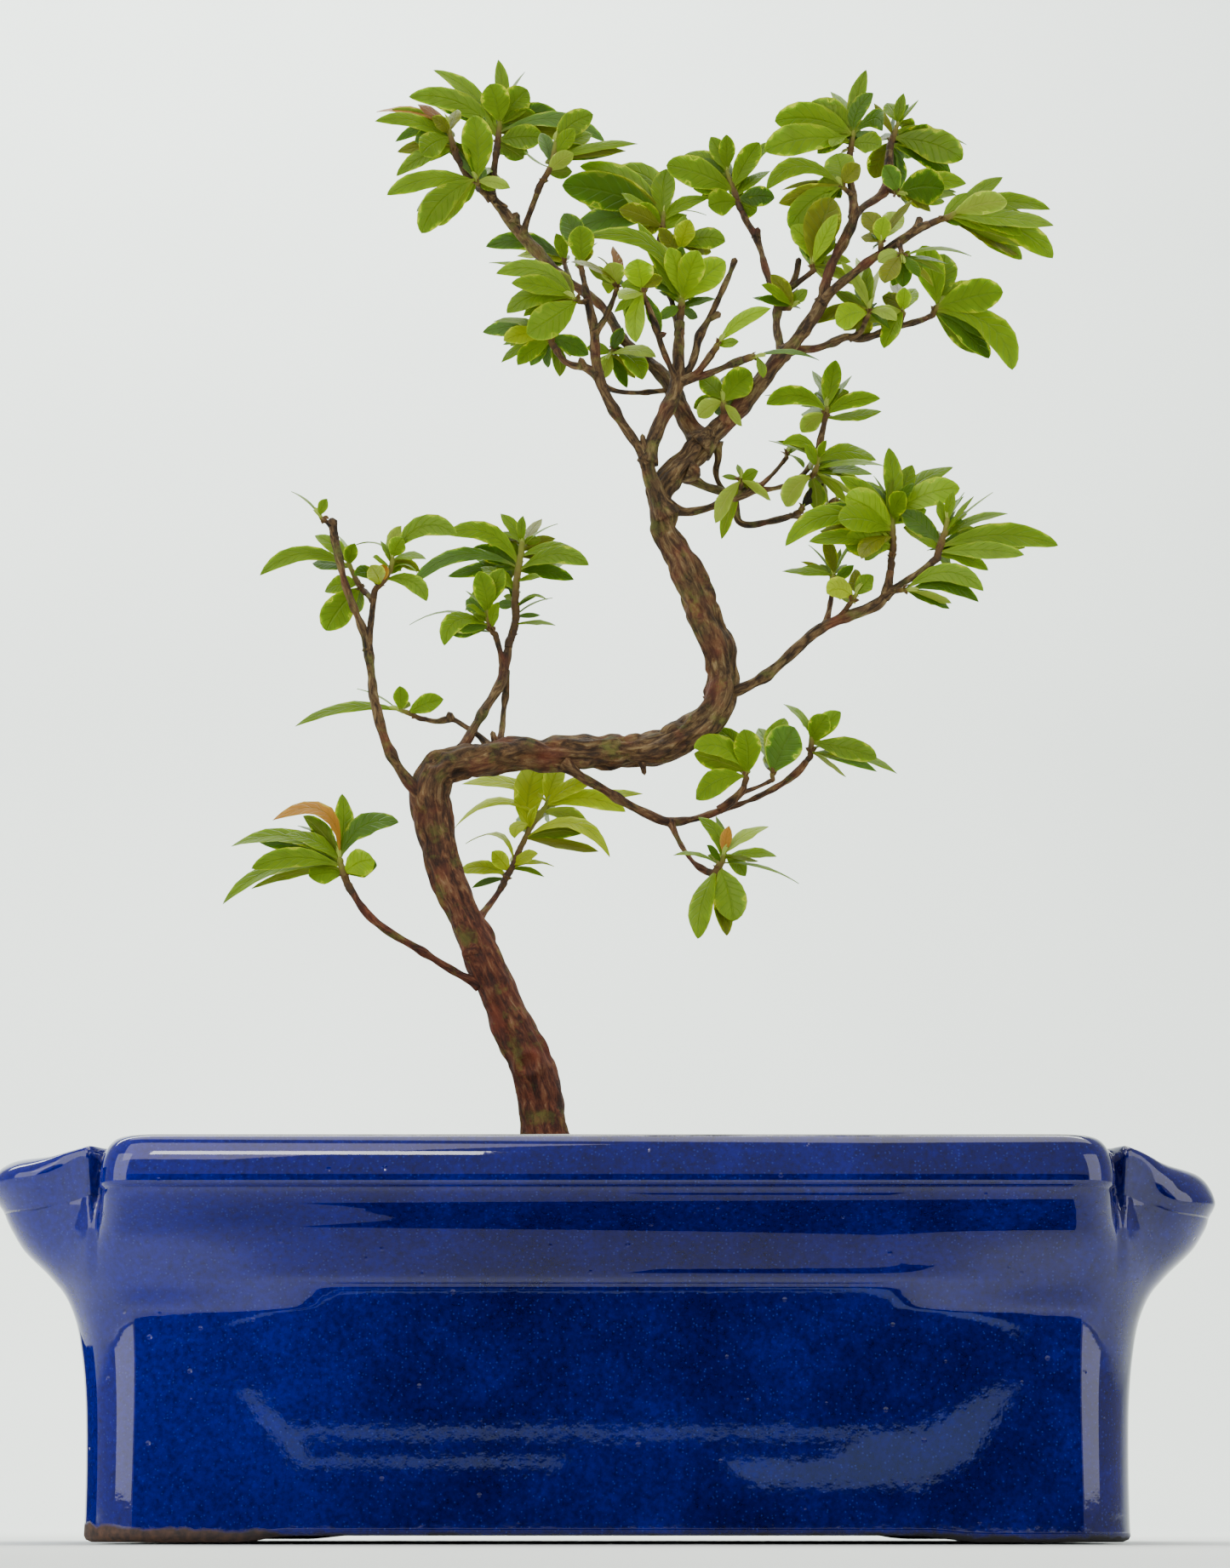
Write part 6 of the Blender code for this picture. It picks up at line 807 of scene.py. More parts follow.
def bark_material():
    """Azalea bark: thin flakes and long fissures, so the bump is stretched along the limb; red brown with
    dark cracks and tan flakes low down, grey brown above, olive where algae grows."""
    made = new_material("azalea_bark", {"IOR": 1.45, "Specular IOR Level": 0.3})
    grain = add(made, "Attribute", attribute_name="grain_place").outputs["Vector"]
    place = add(made, "TexCoord").outputs["Object"]
    height = add(made, "SeparateXYZ", {0: place}).outputs["Z"]
    long = add(made, "Mapping", {"Vector": grain, "Scale": (1.0, 1.0, 0.28)})
    flake = add(made, "TexVoronoi", {"Vector": long, "Scale": 0.62, "Randomness": 1.0})
    fissure = add(made, "TexNoise", {"Vector": long, "Scale": 0.85, "Detail": 8.0, "Roughness": 0.68,
                                     "Distortion": 0.6})
    fine = add(made, "TexNoise", {"Vector": grain, "Scale": 2.6, "Detail": 5.0, "Roughness": 0.6})
    low = add(made, "ValToRGB", {0: fissure}, stops=((0.3, "#150A06"), (0.78, "#A88C6A"), (0.44, "#412015"),
                                                     (0.54, "#683824"), (0.64, "#80583C")))
    high = add(made, "ValToRGB", {0: fissure}, stops=((0.3, "#140D07"), (0.78, "#B0A07A"),
                                                      (0.44, "#3C2B18"), (0.54, "#694F30"),
                                                      (0.65, "#8C764E")))
    up_share = add(made, "MapRange", {"Value": height, "From Min": 0.13, "From Max": 0.18})
    bark = add(made, "Mix", {0: up_share, 6: low, 7: high}, data_type="RGBA")
    rusty = add(made, "TexNoise", {"Vector": place, "Scale": 1 / 0.009, "Detail": 3.0})
    rust_mask = add(made, "MapRange", {"Value": rusty, "From Min": 0.52, "From Max": 0.7, "To Max": 0.55})
    rusted = add(made, "Mix", {0: rust_mask, 6: bark, 7: linear("#7A3A26")}, data_type="RGBA")
    damp = add(made, "TexNoise", {"Vector": place, "Scale": 1 / 0.006, "Detail": 6.0, "Roughness": 0.7})
    algae = add(made, "MapRange", {"Value": damp, "From Min": 0.53, "From Max": 0.66, "To Max": 0.6})
    green = add(made, "Mix", {0: algae, 6: rusted, 7: linear("#6F7430")}, data_type="RGBA")
    crack = add(made, "MapRange", {"Value": flake, "From Min": 0.0, "From Max": 0.9, "To Min": 1.1,
                                   "To Max": 0.55})
    dark = add(made, "Mix", {0: 1.0, 6: green, 7: crack}, data_type="RGBA", blend_type="MULTIPLY")
    join(made, dark, "Base Color")
    rough = add(made, "MapRange", {"Value": fissure, "To Min": 0.65, "To Max": 0.95})
    join(made, rough, "Roughness")
    heights = add(made, "Math", {0: fine, 1: 0.35, 2: fissure}, operation="MULTIPLY_ADD")
    bump = add(made, "Bump", {"Height": heights, "Strength": 0.9, "Distance": 0.0009})
    join(made, bump, "Normal")
    return made


def scarred(rings, curve, scars):
    """Rings pushed out along their own rays into a raised lip round each pruning scar, hollow inside."""
    out = rings - curve[:, None]
    reach = np.linalg.norm(out, axis=-1, keepdims=True)
    for x, z, radius, height in scars:
        away = np.hypot(rings[..., 0] - x, rings[..., 2] - z) / radius
        raised = height * (np.exp(-((away - 1) / 0.35) ** 2) - 0.7 * np.exp(-(away / 0.6) ** 2))
        front = ease(-out[..., 1] / reach[..., 0] * 2)
        rings = rings + out / reach * (raised * front)[..., None]
    return rings


def trunk_swell(grain, turn, run):
    """Bark relief on the trunk: root lobes at the foot, broad muscle, flakes and fissures along it."""
    long = grain * (1, 1, 0.3)
    fade = np.clip(1 - run / 14, 0, 1)
    lobes = FLARE_LOBE_SWELL * fade * np.cos(FLARE_LOBES * turn) * 9
    rough = 0.8 + 0.7 * ease((run - 90) / 40)
    flakes = np.clip(noise(long, 1.7, 21) * 3, -0.8, 1.1) * 0.3 * rough
    fissures = -np.clip(0.25 - np.abs(noise(long, 2.6, 22)), 0, 0.25) * 1.8
    knuckles = 0.5 * noise(grain, 7.0, 23) + 0.35 * rough * noise(grain, 3.4, 25)
    return lobes + knuckles + flakes + fissures * rough + 0.16 * noise(long, 0.8, 24)


def branch_swell(size):
    """Bark relief on a branch of this radius: soft knuckles, then fissures along it."""
    def swell(grain, turn, run):
        long = grain * (1, 1, 0.35)
        knuckle = 0.14 * size ** 0.5 * noise(grain * (0.3, 0.3, 1), 2.4, 31)
        return knuckle + 0.07 * size * noise(long, 1.3, 32) + 0.05 * size * noise(long, 0.6, 33)
    return swell


def build_wood():
    """Trunk with its root flare, then every branch with a collar where it leaves its parent."""
    bark = bark_material()
    places, radii = carried(LIMBS[0][1][2:])
    flare = np.array([(TRUNK_FOOT[0] - 0.5 * place, 0, height)
                      for place, (height, radius) in enumerate(FLARE)])
    places = np.vstack((flare, places))
    radii = np.concatenate(([radius for height, radius in FLARE], radii))
    curve, radii, run = even_curve(places, radii, TRUNK_STEP)
    rings, grain = limb_rings(curve, radii, run, TRUNK_SIDES, trunk_swell)
    rings = scarred(rings, curve, SCARS)
    rows = len(curve)
    caps = [np.arange(TRUNK_SIDES)[::-1], (rows - 1) * TRUNK_SIDES + np.arange(TRUNK_SIDES)]
    trunk = new_piece("bark_trunk", rings.reshape(-1, 3), grid_faces(rows, TRUNK_SIDES), caps,
                      {"grain_place": grain.reshape(-1, 3)}, [bark])
    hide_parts("tree")
    points, quads, caps, grains = [], [], [], []
    total = 0
    for index, (name, table) in enumerate(LIMBS[1:]):
        places, radii = carried(table)
        thick = float(radii.max())
        curve, radii, run = even_curve(places, radii, 0.5 + 0.1 * thick)
        sides = int(np.clip(thick * 12, 10, 30))
        collar = 1 + 0.45 * np.exp(-(run / (0.8 * thick + 0.3)) ** 2)
        left = (run[-1] - run) / radii[-1]
        rounding = np.sqrt(np.clip(1 - np.clip(1 - left, 0, 1) ** 2, 0.02, 1))
        rings, grain = limb_rings(curve, radii * collar * rounding, run, sides, branch_swell(thick))
        grain = grain + (0, 0, 37.0 * (index + 1))
        rows = len(curve)
        points.append(rings.reshape(-1, 3))
        grains.append(grain.reshape(-1, 3))
        quads.append(grid_faces(rows, sides) + total)
        caps += [total + np.arange(sides)[::-1], total + (rows - 1) * sides + np.arange(sides)]
        total += rows * sides
    branches = new_piece("bark_branches", np.vstack(points), np.vstack(quads), caps,
                         {"grain_place": np.vstack(grains)}, [bark])
    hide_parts("tree")


build_wood()

# Each twig ends in a leafy shoot: a green stem with a loose whorl of leaves and a small resting bud. The
# leaves are 10 to 25 mm long, narrow at the base, thin and a little glossy, with fine hairs on the midrib.
# Shoots: name, limb that bears it, a tone for each leaf, stem points (x, z, y, radius), then leaves: base
# x, z, tip x, z, tip depth from base, share of width seen (below zero shows the underside), width, arch.
SHOOTS = (
    ("shoot_low_left", "low_left", "mmmrmdbmdm",
     ((-59.6, 145.2, -12.4, .9), (-60.6, 148, -12.6, .8), (-61.2, 150.4, -12.6, .6)),
     ((-61, 147, -87.2, 139.3, -4, .5, 4.4, .16), (-61, 148, -81, 147.5, -8, .75, 5, .12),
      (-61, 149, -85.7, 152.7, 4, .6, 4.6, .15), (-61, 148, -76.5, 158.8, -2, .5, 4.6, .42),
      (-61.2, 149.5, -60.8, 165, 5, .8, 5, .05), (-60, 150, -47.8, 158.3, 0, .6, 6.5, .25),
      (-60, 149, -53.2, 149.5, -6, 1, 6.4, .1), (-61, 148, -68.5, 149.5, 9, .6, 4, .1),
      (-61.5, 150, -70.8, 157.5, 7, .3, 3.5, .1), (-61.2, 149, -73.4, 155.4, -2, .6, 4.2, .12))),
    ("shoot_behind", "behind", "yyyyyyyyyyyypyyyyyy",
     ((-23.4, 145, 7.6, .85), (-22.4, 147, 8.4, .8), (-21, 149.8, 9.4, .75), (-19.5, 153.5, 10.4, .7),
      (-17.5, 157.5, 11.4, .7), (-15, 161, 12.2, .65), (-13.5, 163.5, 12.6, .6)),
     ((-23, 146, -34, 146.8, 3, .6, 4.2, .12), (-23.4, 145.6, -32, 146.3, 8, .2, 2, .15),
      (-22.8, 147, -26.5, 151.5, -3, .9, 4, .05), (-21.5, 149, -32.5, 153.3, 5, .3, 3, .35),
      (-21.8, 148, -16, 151, -2, .6, 3.6, .1), (-22, 146.5, -12.3, 148, 3, .3, 2.6, .12),
      (-22, 147.5, -20.5, 151.4, 5, .7, 2.2, .05), (-18.8, 156, -16, 173, 5, 1, 7.4, .05),
      (-14, 163, -10.5, 172, 1, .8, 5, .05), (-13.5, 163.5, -6.5, 168.3, 6, .4, 2.5, .05),
      (-13.5, 163, 3.9, 160.8, -1, .75, 5, .15), (-13.5, 163, 7.8, 165, 8, .5, 3.4, .05),
      (-14.5, 161.5, -4.9, 158, 4, -.55, 5, .1), (-18.5, 154.5, .3, 150.2, -2, .5, 4.6, .3),
      (-16, 160, -35, 157, 4, .5, 3, .25), (-14, 163, -33.5, 167.3, 8, .6, 4, .1),
      (-18, 158, -21.3, 154.6, -3, .7, 3.6, .3), (-18.5, 157, -16.5, 162, -5, .7, 2.2, .05),
      (-14.6, 162, -3.4, 168, -5, .65, 4.4, .1))),
    ("shoot_left_tip", "left_spur", "mm",
     ((-67.2, 231.6, -11.6, .5), (-67.7, 232.2, -11.7, .45)),
     ((-67.3, 231.3, -74.5, 238.2, 0, .25, 1.8, .08), (-67.3, 231.5, -66, 236.4, -3, .8, 2.6, .05))),
    ("shoot_left_hang", "left_inner_a", "mmmmmmm",
     ((-57.3, 214.2, -7.6, .7), (-58.8, 216.4, -7, .65), (-59.9, 218.8, -6.6, .6), (-60.9, 221, -6.2, .5)),
     ((-60.5, 219.5, -81.2, 217.5, -3, .65, 4.4, .2), (-60.8, 220.5, -68.7, 227.3, 3, .8, 4, .08),
      (-60.8, 220.5, -63.5, 227.5, 10, .5, 3, .05), (-60.6, 220.4, -59.3, 225.4, -4, .9, 3.4, .05),
      (-57.5, 214.6, -65.5, 204, 3, 1, 7.2, .08), (-58, 215, -66, 213.5, 6, .8, 4.6, .1),
      (-57.5, 214.6, -58.7, 208, 8, .9, 3.4, .05))),
    ("shoot_left_inner", "left_inner", "dyrmmpmmmmmmm",
     ((-53.9, 214.4, -10.4, .75), (-52.4, 216.2, -10.6, .7), (-50.9, 219, -10.8, .65),
      (-50.3, 222.2, -11, .5)),
     ((-54, 214.5, -59.3, 217.5, -5, .6, 4, .3), (-53.4, 214.4, -55.5, 220, -10, 1, 4.4, .05),
      (-52.5, 215.6, -51.9, 220.4, -3, .8, 3, .05), (-52, 216, -42.3, 211.2, -2, .7, 4.4, .2),
      (-51.8, 216.6, -47.6, 221, 3, .7, 3, .05), (-50.3, 221, -48.5, 229.7, 5, -.8, 3.8, .05),
      (-50.3, 221.5, -48, 226.8, -3, .9, 4.4, .05), (-50.4, 221.4, -53.3, 226, 0, .5, 2.4, .05),
      (-50.4, 221.6, -59.5, 224.8, 5, .2, 1.8, .2), (-50.6, 220, -55, 222, -9, .5, 2.4, .05),
      (-50.2, 222, -35.5, 227.5, -6, .75, 5.5, .28), (-50.2, 221.5, -42.6, 221.5, -2, .5, 3, .1),
      (-50.7, 219.8, -44.5, 218, 0, .2, 1.6, .3))),
    ("shoot_inner_left_top", "inner_left", "mmmmmmmmgmmmdom",
     ((-22.4, 202.8, 6.8, 1), (-21.6, 207, 7.4, .95), (-21.7, 212, 7.8, .9), (-21.3, 217, 8.2, .85),
      (-20.6, 222, 8.4, .75), (-20.1, 226, 8.6, .6)),
     ((-20.3, 225, -25.3, 232.7, 2, .8, 3.4, .05), (-20.2, 225.6, -20, 232.2, -2, .8, 2.6, .05),
      (-20.2, 224.5, -11.9, 230.2, 3, .2, 1.6, .08), (-20.5, 222, -7.6, 223.6, -1, .55, 3.6, .12),
      (-20.8, 218.5, -4.6, 220, -7, .7, 4.8, .18), (-21, 216, -16, 217, -6, .6, 2.4, .05),
      (-20.8, 220, -38, 227.5, -4, .75, 5.4, .25), (-20.6, 221, -29.5, 225.8, 3, .6, 4, .2),
      (-21.2, 219.5, -46.3, 214.5, -1, .6, 4.4, .22), (-21.8, 205.5, -12.3, 205.3, -3, .35, 2.6, .05),
      (-21.6, 207.5, -13, 212, 3, .2, 1.6, .08), (-21.6, 209.5, -14.3, 211.5, -4, .25, 1.8, .25),
      (-21.6, 210, -23.7, 216.4, 5, .6, 3, .05), (-20.3, 224.6, -15.6, 231.4, 8, .7, 3.4, .04),
      (-21.4, 213.6, -29.8, 219.4, 3, .6, 4, .08))),
    ("shoot_inner_left_low", "inner_left_a", "mmmmmmmm",
     ((-27, 204, 2.6, .7), (-27.9, 206.5, 2, .65), (-28.4, 209.4, 1.4, .5)),
     ((-28, 208, -30.3, 218.5, -5, 1, 5.4, .05), (-28.3, 209, -24.5, 219.2, -2, .9, 5, .05),
      (-28.3, 208.6, -33.2, 213.7, 2, .3, 1.8, .05), (-28.3, 208.6, -33, 210, -7, .4, 3, .05),
      (-26.8, 203.6, -46.2, 205.4, 6, .2, 1.8, .2), (-27.5, 205, -38, 200.4, -5, .7, 5, .35),
      (-27.6, 205.5, -31.5, 208, -1, .5, 3, .1), (-27, 204.4, -25.5, 211, -6, .7, 3, .05))),
    ("shoot_short_left", "short_left", "mmmm",
     ((-45, 183.8, 6, .6), (-47, 184.5, 6, .55), (-48.6, 185, 6, .45)),
     ((-47, 184.5, -72, 181, 2, .5, 3.6, .1), (-47.5, 184.8, -48.2, 190.7, -2, 1, 3.8, .05),
      (-46.5, 184.6, -38, 187.5, -6, .9, 4.6, .05), (-47.8, 184.8, -58, 190, 5, .2, 1.6, .06))),
    ("shoot_under_tip", "under", "mmmmmmp",
     ((46.4, 175, 12, .7), (46.5, 177, 12.2, .65), (46.5, 179.4, 12.4, .5)),
     ((46.5, 179, 40.3, 186.3, 3, .5, 3, .1), (46.5, 177.5, 50.5, 183.6, -3, .9, 5.5, .05),
      (46.5, 176.5, 53.5, 184.4, 2, .9, 5, .08), (46.6, 176, 59.2, 177, 4, .3, 2.6, .05),
      (46.6, 177, 61.5, 173.4, -4, .7, 6, .05), (46.4, 175.4, 66, 169.8, -1, .45, 3.4, .1),
      (46.2, 175, 54.3, 169, -8, -.35, 2.8, .02))),
    ("shoot_under_mid", "under_b", "gmm",
     ((37.5, 169.6, 6.2, .6), (37.9, 171.2, 6.2, .45)),
     ((37.5, 169.6, 42.8, 180.8, -5, 1, 8.8, .05), (37.8, 170.8, 40.5, 183, 3, .7, 6, .05),
      (37.6, 170, 34.5, 180.6, 10, .8, 5, .05))),
    ("shoot_under_inner", "under_a", "mmmm",
     ((31.4, 169.2, 3.8, .7), (31.7, 171, 3.6, .5)),
     ((31.6, 170.5, 19.6, 175.8, -7, .7, 6, .2), (31.6, 170.5, 31, 180.3, -6, .9, 6.5, .05),
      (31.6, 170.2, 25, 180.5, 5, .8, 5, .1), (31.3, 169, 20, 163.7, -10, 1, 6, .1))),
    ("shoot_under_low", "under_low", "mmmmmprmmmd",
     ((24.6, 147.2, -3.4, .9), (25.5, 148.8, -3.8, .8), (26.4, 151, -4, .6)),
     ((24.6, 147.2, 20.2, 131.3, -11, 1, 5.4, .05), (25.3, 148, 28.2, 135.3, -4, 1, 7.4, .05),
      (26, 148.5, 43.2, 144, 3, .25, 2.2, .08), (26.3, 149.5, 38.2, 150.3, -2, .4, 4, .1),
      (26, 149, 34, 149.2, -7, -.35, 3, .02), (26.5, 150.5, 36.5, 157.3, 2, .5, 4.4, .08),
      (26.3, 150.5, 27.5, 157.5, 0, .9, 2.8, .02), (25.6, 149.4, 20.5, 159.5, 4, .7, 4, .15),
      (26, 150.3, 24.5, 159.8, 10, .7, 3, .05), (25, 148.5, 14.8, 150.6, -3, .3, 2.4, .12),
      (25.4, 148.9, 22.4, 153, -5, .6, 2.4, .02))),
    ("shoot_right_top", "right", "mmmbmmbmmmommob",
     ((66, 221.4, -12.6, .85), (66.5, 225, -12.8, .8), (66.4, 229, -12.8, .7), (66.5, 233, -12.8, .6)),
     ((66.4, 232, 66, 249.2, 0, .9, 4.6, .03), (66.5, 232, 71.5, 244.8, 3, .9, 5, .03),
      (66.5, 231.6, 81, 244.3, 7, .7, 5, .1), (66.5, 232.6, 82.5, 239, -3, .7, 7, .08),
      (66.4, 232, 54.3, 241.8, -2, .7, 4.6, .1), (66.4, 231.6, 62.3, 242.1, 4, .3, 2, .05),
      (66.4, 231.4, 55.5, 237, -7, .9, 8, .05), (66.4, 230.6, 53.8, 231, -12, .8, 7, .08),
      (66.4, 226, 41.3, 224.7, -9, .75, 5.4, .25), (66.4, 229, 45, 231.2, 6, .5, 3, .08),
      (66.2, 223.4, 49.5, 228.3, 2, .75, 4.6, .08), (66.3, 224.5, 55, 225.5, -4, .9, 7, .05),
      (66.5, 231, 69.5, 238, -10, .8, 5, .03), (66.4, 227, 59, 221.6, -10, .8, 4.6, .1),
      (66.5, 230, 74.5, 233.6, 2, .8, 5, .08))),
    ("shoot_right_tip", "right_a", "mmmmmmmmmdm",
     ((77.1, 223.6, -17.6, .9), (78, 226.6, -18, .8), (79, 229.4, -18.2, .7), (79.5, 232, -18.4, .5)),
     ((78, 224.4, 105, 224.8, -2, .75, 6, .1), (77.2, 223.4, 97, 222.5, -6, .7, 4.6, .05),
      (78, 226, 93.5, 232.7, 5, .5, 3, .08), (78.5, 228, 90.2, 238, 2, .2, 1.8, .03),
      (78.3, 227, 85.7, 237, -3, .3, 2.4, .03), (79, 230, 83.5, 238, 5, .3, 2, .02),
      (77.2, 223.4, 88.5, 218.7, 3, .6, 4, .12), (78.5, 228, 77.5, 236, 1, .7, 3, .02),
      (79.2, 231, 81, 238.4, -2, .6, 3, .02), (77.6, 225, 68.5, 233.5, 3, .8, 5.4, .05),
      (77.3, 224.5, 72.4, 226.5, 0, .6, 2.6, .05))),
    ("shoot_right_spur", "right_b", "mdp",
     ((68.6, 213.9, -16, .6), (69.8, 213.9, -16.6, .5)),
     ((69, 213.9, 87.2, 213.7, -6, .7, 5, .25), (69, 213.8, 86, 211, -3, .6, 4, .15),
      (69.2, 213.8, 79.7, 210.7, 4, -.4, 3.6, .02))),
    ("shoot_right_short", "right_c", "ymo",
     ((56.7, 211.4, -11, .6), (57.8, 213.2, -11.6, .5)),
     ((57, 211.8, 50.8, 213, -3, .85, 5.6, .25), (57.4, 212.6, 61.7, 217.4, -2, .7, 5, .05),
      (57.4, 212.6, 57.4, 219, 5, .8, 3.6, .03))),
    ("shoot_right_back", "right_d", "mmmdo",
     ((52.3, 215.6, -1.8, .6), (52.6, 218, -1.4, .5)),
     ((52.5, 217.6, 40.5, 218.5, 1, .5, 3, .04), (52.5, 217.6, 46.7, 225, 3, .25, 1.8, .06),
      (52.5, 217.6, 57.5, 226.7, -2, .3, 1.8, .02), (52.5, 217, 57.2, 220, -3, .9, 2.6, 0),
      (52.5, 217.6, 50.4, 226.6, -4, .7, 3.6, .04))),
    ("shoot_upper_right_top", "upper_right_c", "mmmmmmmp",
     ((51.3, 257, 12.4, .65), (51.7, 259.8, 12.6, .5)),
     ((51.5, 259, 54, 271.3, 2, .9, 4.8, .03), (51.5, 259, 48.3, 268.6, 8, .7, 3, .03),
      (51.5, 259, 57.7, 267.3, 4, .5, 2.6, .03), (51.5, 258.6, 64.3, 261.5, 1, .7, 4.4, .12),
      (51.5, 258.2, 64.5, 258.3, -4, .45, 4, -.02), (51.4, 258.4, 37.3, 260, -2, .8, 5.2, .2),
      (51.5, 258.8, 37, 262.3, 5, .3, 2.4, .08), (51.3, 257.6, 45.5, 253, 3, -.8, 4.8, .1))),
    ("shoot_upper_right_low", "upper_right_a", "mmmmmmmppp",
     ((47.9, 242.2, 7, .65), (48.8, 244.2, 6, .6), (49.5, 247.6, 5.4, .5)),
     ((49.4, 247, 41, 250, -3, .6, 3.6, .25), (49.4, 247, 37.7, 250.9, 3, .2, 1.6, .05),
      (49.2, 246, 63, 246, 6, .7, 5, .15), (48.5, 243.6, 65, 244.5, 0, .4, 2.8, .08),
      (48.4, 243.2, 62, 242.5, 9, .5, 3.8, .05), (48.8, 245, 46.3, 250, -5, .7, 3, .02),
      (49.3, 246.4, 51.4, 251, -4, .6, 2.4, .02), (47.8, 242.6, 41.5, 234.5, -5, -.8, 5.8, .1),
      (48, 242.8, 50, 235.2, 10, -.7, 3, .05), (48.2, 243, 57.5, 237, 5, -.4, 2.8, .05))),
    ("shoot_upper_right_spur", "upper_right_spur", "mmmpp",
     ((31.1, 240.6, 2.4, .5), (31.1, 241.4, 2.2, .45)),
     ((31.1, 240.8, 35.2, 243.3, -3, .9, 3.2, .03), (31.1, 240.8, 30.3, 245, 2, .7, 1.8, .02),
      (31.1, 240.6, 26.6, 242, 0, .5, 2, .05), (31.1, 240.6, 25, 230.4, -9, -.8, 4.2, .05),
      (31.1, 240.6, 38, 236, -6, -.6, 3.2, .05))),
    ("shoot_back_loop", "back_loop_a", "mmm",
     ((53, 236.2, 19.4, .45), (53.8, 236.6, 19.8, .4)),
     ((53.2, 236, 59, 233, 0, .4, 2.4, .05), (53.2, 236, 46, 230, 5, .3, 2, .05),
      (53.2, 236, 51.5, 241, 1, .3, 1.6, .05))),
    ("wilted_bud", "back_loop", "k",
     ((45.2, 234, 12.8, .7), (46, 235, 12.4, .55)),
     ((45.4, 233.8, 50.6, 240.2, -4, 1, 3.2, .05),)),
    ("shoot_upper_right_twig", "upper_right_b", "mm",
     ((41.9, 247, 10, .55), (42.3, 248, 10.4, .45)),
     ((42.1, 247.4, 45.9, 244, -3, .4, 2, .1), (42.1, 247.4, 46.5, 250.4, 2, .5, 2, .05))),
    ("shoot_top_left", "back_a", "rmnommo",
     ((-37.2, 325.2, 11.2, .8), (-38.3, 329, 10.6, .7), (-39.3, 333, 10, .5)),
     ((-39.3, 332.5, -56.5, 336, 4, .45, 3.4, .1), (-37.8, 327, -56.8, 333.5, -3, .6, 4.2, .15),
      (-39.2, 332.6, -46.5, 338, -1, .55, 3.6, .05), (-39.1, 332, -36.8, 336.6, 3, .7, 4.4, .02),
      (-38.3, 329, -45.4, 324.6, -5, .9, 6.4, .1), (-37.4, 326, -51.3, 319, 4, .7, 4.6, .12),
      (-38.6, 330, -43, 334.6, -4, .7, 3.6, .1))),
    ("shoot_top_left_low", "back_a_spur", "mmmdp",
     ((-31.8, 317.2, 10.2, .65), (-32.2, 318.2, 9.2, .55)),
     ((-31.8, 317.2, -53.5, 314, -3, .7, 5.4, .12), (-31.8, 317.2, -45, 304, -4, 1, 7.2, .12),
      (-32, 317.8, -33, 335, -6, 1, 8, .05), (-32, 317.8, -30.2, 334.6, 3, .9, 5, .03),
      (-31.9, 317.6, -23.8, 315.8, 1, .7, 3.4, .1))),
    ("shoot_top_centre", "back_b", "mmmmdmmmgg",
     ((-27, 327.6, 20, .85), (-26.8, 330, 20.4, .75), (-26.5, 333.8, 20.8, .55)),
     ((-26.6, 333, -29, 343.5, -5, 1, 7.4, .05), (-26.6, 333, -19.8, 342, -1, 1, 7.4, .05),
      (-26.5, 333.4, -27, 350, 3, .9, 3.8, .03), (-26.6, 332.6, -20.5, 346.7, 7, .4, 2, .05),
      (-26.8, 331, -12, 335, 5, .85, 6.2, .15), (-26.8, 330, -42.8, 347.2, 2, .7, 4.8, .12),
      (-26.8, 331, -48.7, 340, -1, .85, 6, .18), (-26.9, 328.4, -16, 329, -3, .8, 6.5, .05),
      (-26.7, 330.5, -1, 328, -6, .65, 4.8, .18), (-26.9, 328, -20.6, 323.6, 3, -.85, 5, .05))),
    ("shoot_top_inner", "back_c", "mmmgpmm",
     ((-16.3, 317, 8.2, .85), (-14.8, 320, 7.2, .75), (-13.5, 323.5, 6.4, .7), (-12.8, 328.5, 5.6, .5)),
     ((-12.9, 328, -3.8, 335.3, 3, .95, 6.2, .1), (-13.4, 324.6, -4, 330, 5, .8, 5, .08),
      (-13.6, 323, 7, 327.5, 3, .55, 3.2, .08), (-14, 322, -16.5, 330.4, 3, .8, 4.2, .03),
      (-14.8, 320, -8.6, 325, -3, -.7, 4.6, .05), (-14.2, 321.4, -20.4, 325.6, 0, .2, 1.6, -.1),
      (-13.8, 322.4, -8.2, 331.6, -2, .9, 4.2, .04))),
    ("shoot_front_low", "front_a_low", "mmgmyg",
     ((-13.6, 275.8, -6, .75), (-14.4, 277.4, -5.8, .7), (-15.2, 279.4, -5.6, .5)),
     ((-14.2, 277, -25.5, 270.7, 4, .6, 3.6, .1), (-14, 276.6, -21.6, 270, -3, .9, 4.2, .08),
      (-15, 279, -30, 278.4, 6, .8, 4.6, .08), (-15, 279, -27.4, 281.2, 0, .4, 3.4, .1),
      (-14.6, 278, -25, 276.2, -5, .7, 4.8, .1), (-14.2, 277, -4.8, 272.6, 3, .8, 5, .05))),
    ("shoot_front_left", "front_a_spur", "mmmbmmmo",
     ((-7.2, 286.4, -13.4, .65), (-8.6, 287.4, -14.2, .5)),
     ((-7.4, 286.4, -19.5, 278, -6, 1, 8, -.02), (-7.8, 286.8, -24.3, 283.3, 2, .7, 6, .18),
      (-7.6, 286.6, -20.3, 282.5, 6, .8, 4.2, .15), (-7.8, 287, -15, 288, 9, .7, 4, .05),
      (-8.2, 287.2, -23.3, 291, -2, .75, 4.8, .08), (-8.2, 287.2, -27, 293.5, 1, .7, 5, .2),
      (-8.2, 287.2, -28.7, 296.3, 7, .5, 3.2, .12), (-8.2, 287.2, -17.4, 293.6, 6, .8, 4.4, .12))),
    ("shoot_front_top", "front_a", "dmo",
     ((-6.5, 295, -9.8, .7), (-6.8, 297.8, -9.6, .5)),
     ((-6.7, 297, -10.8, 309.2, 4, .9, 6, .05), (-6.6, 296.4, -7, 306, -4, 1, 6.4, .03),
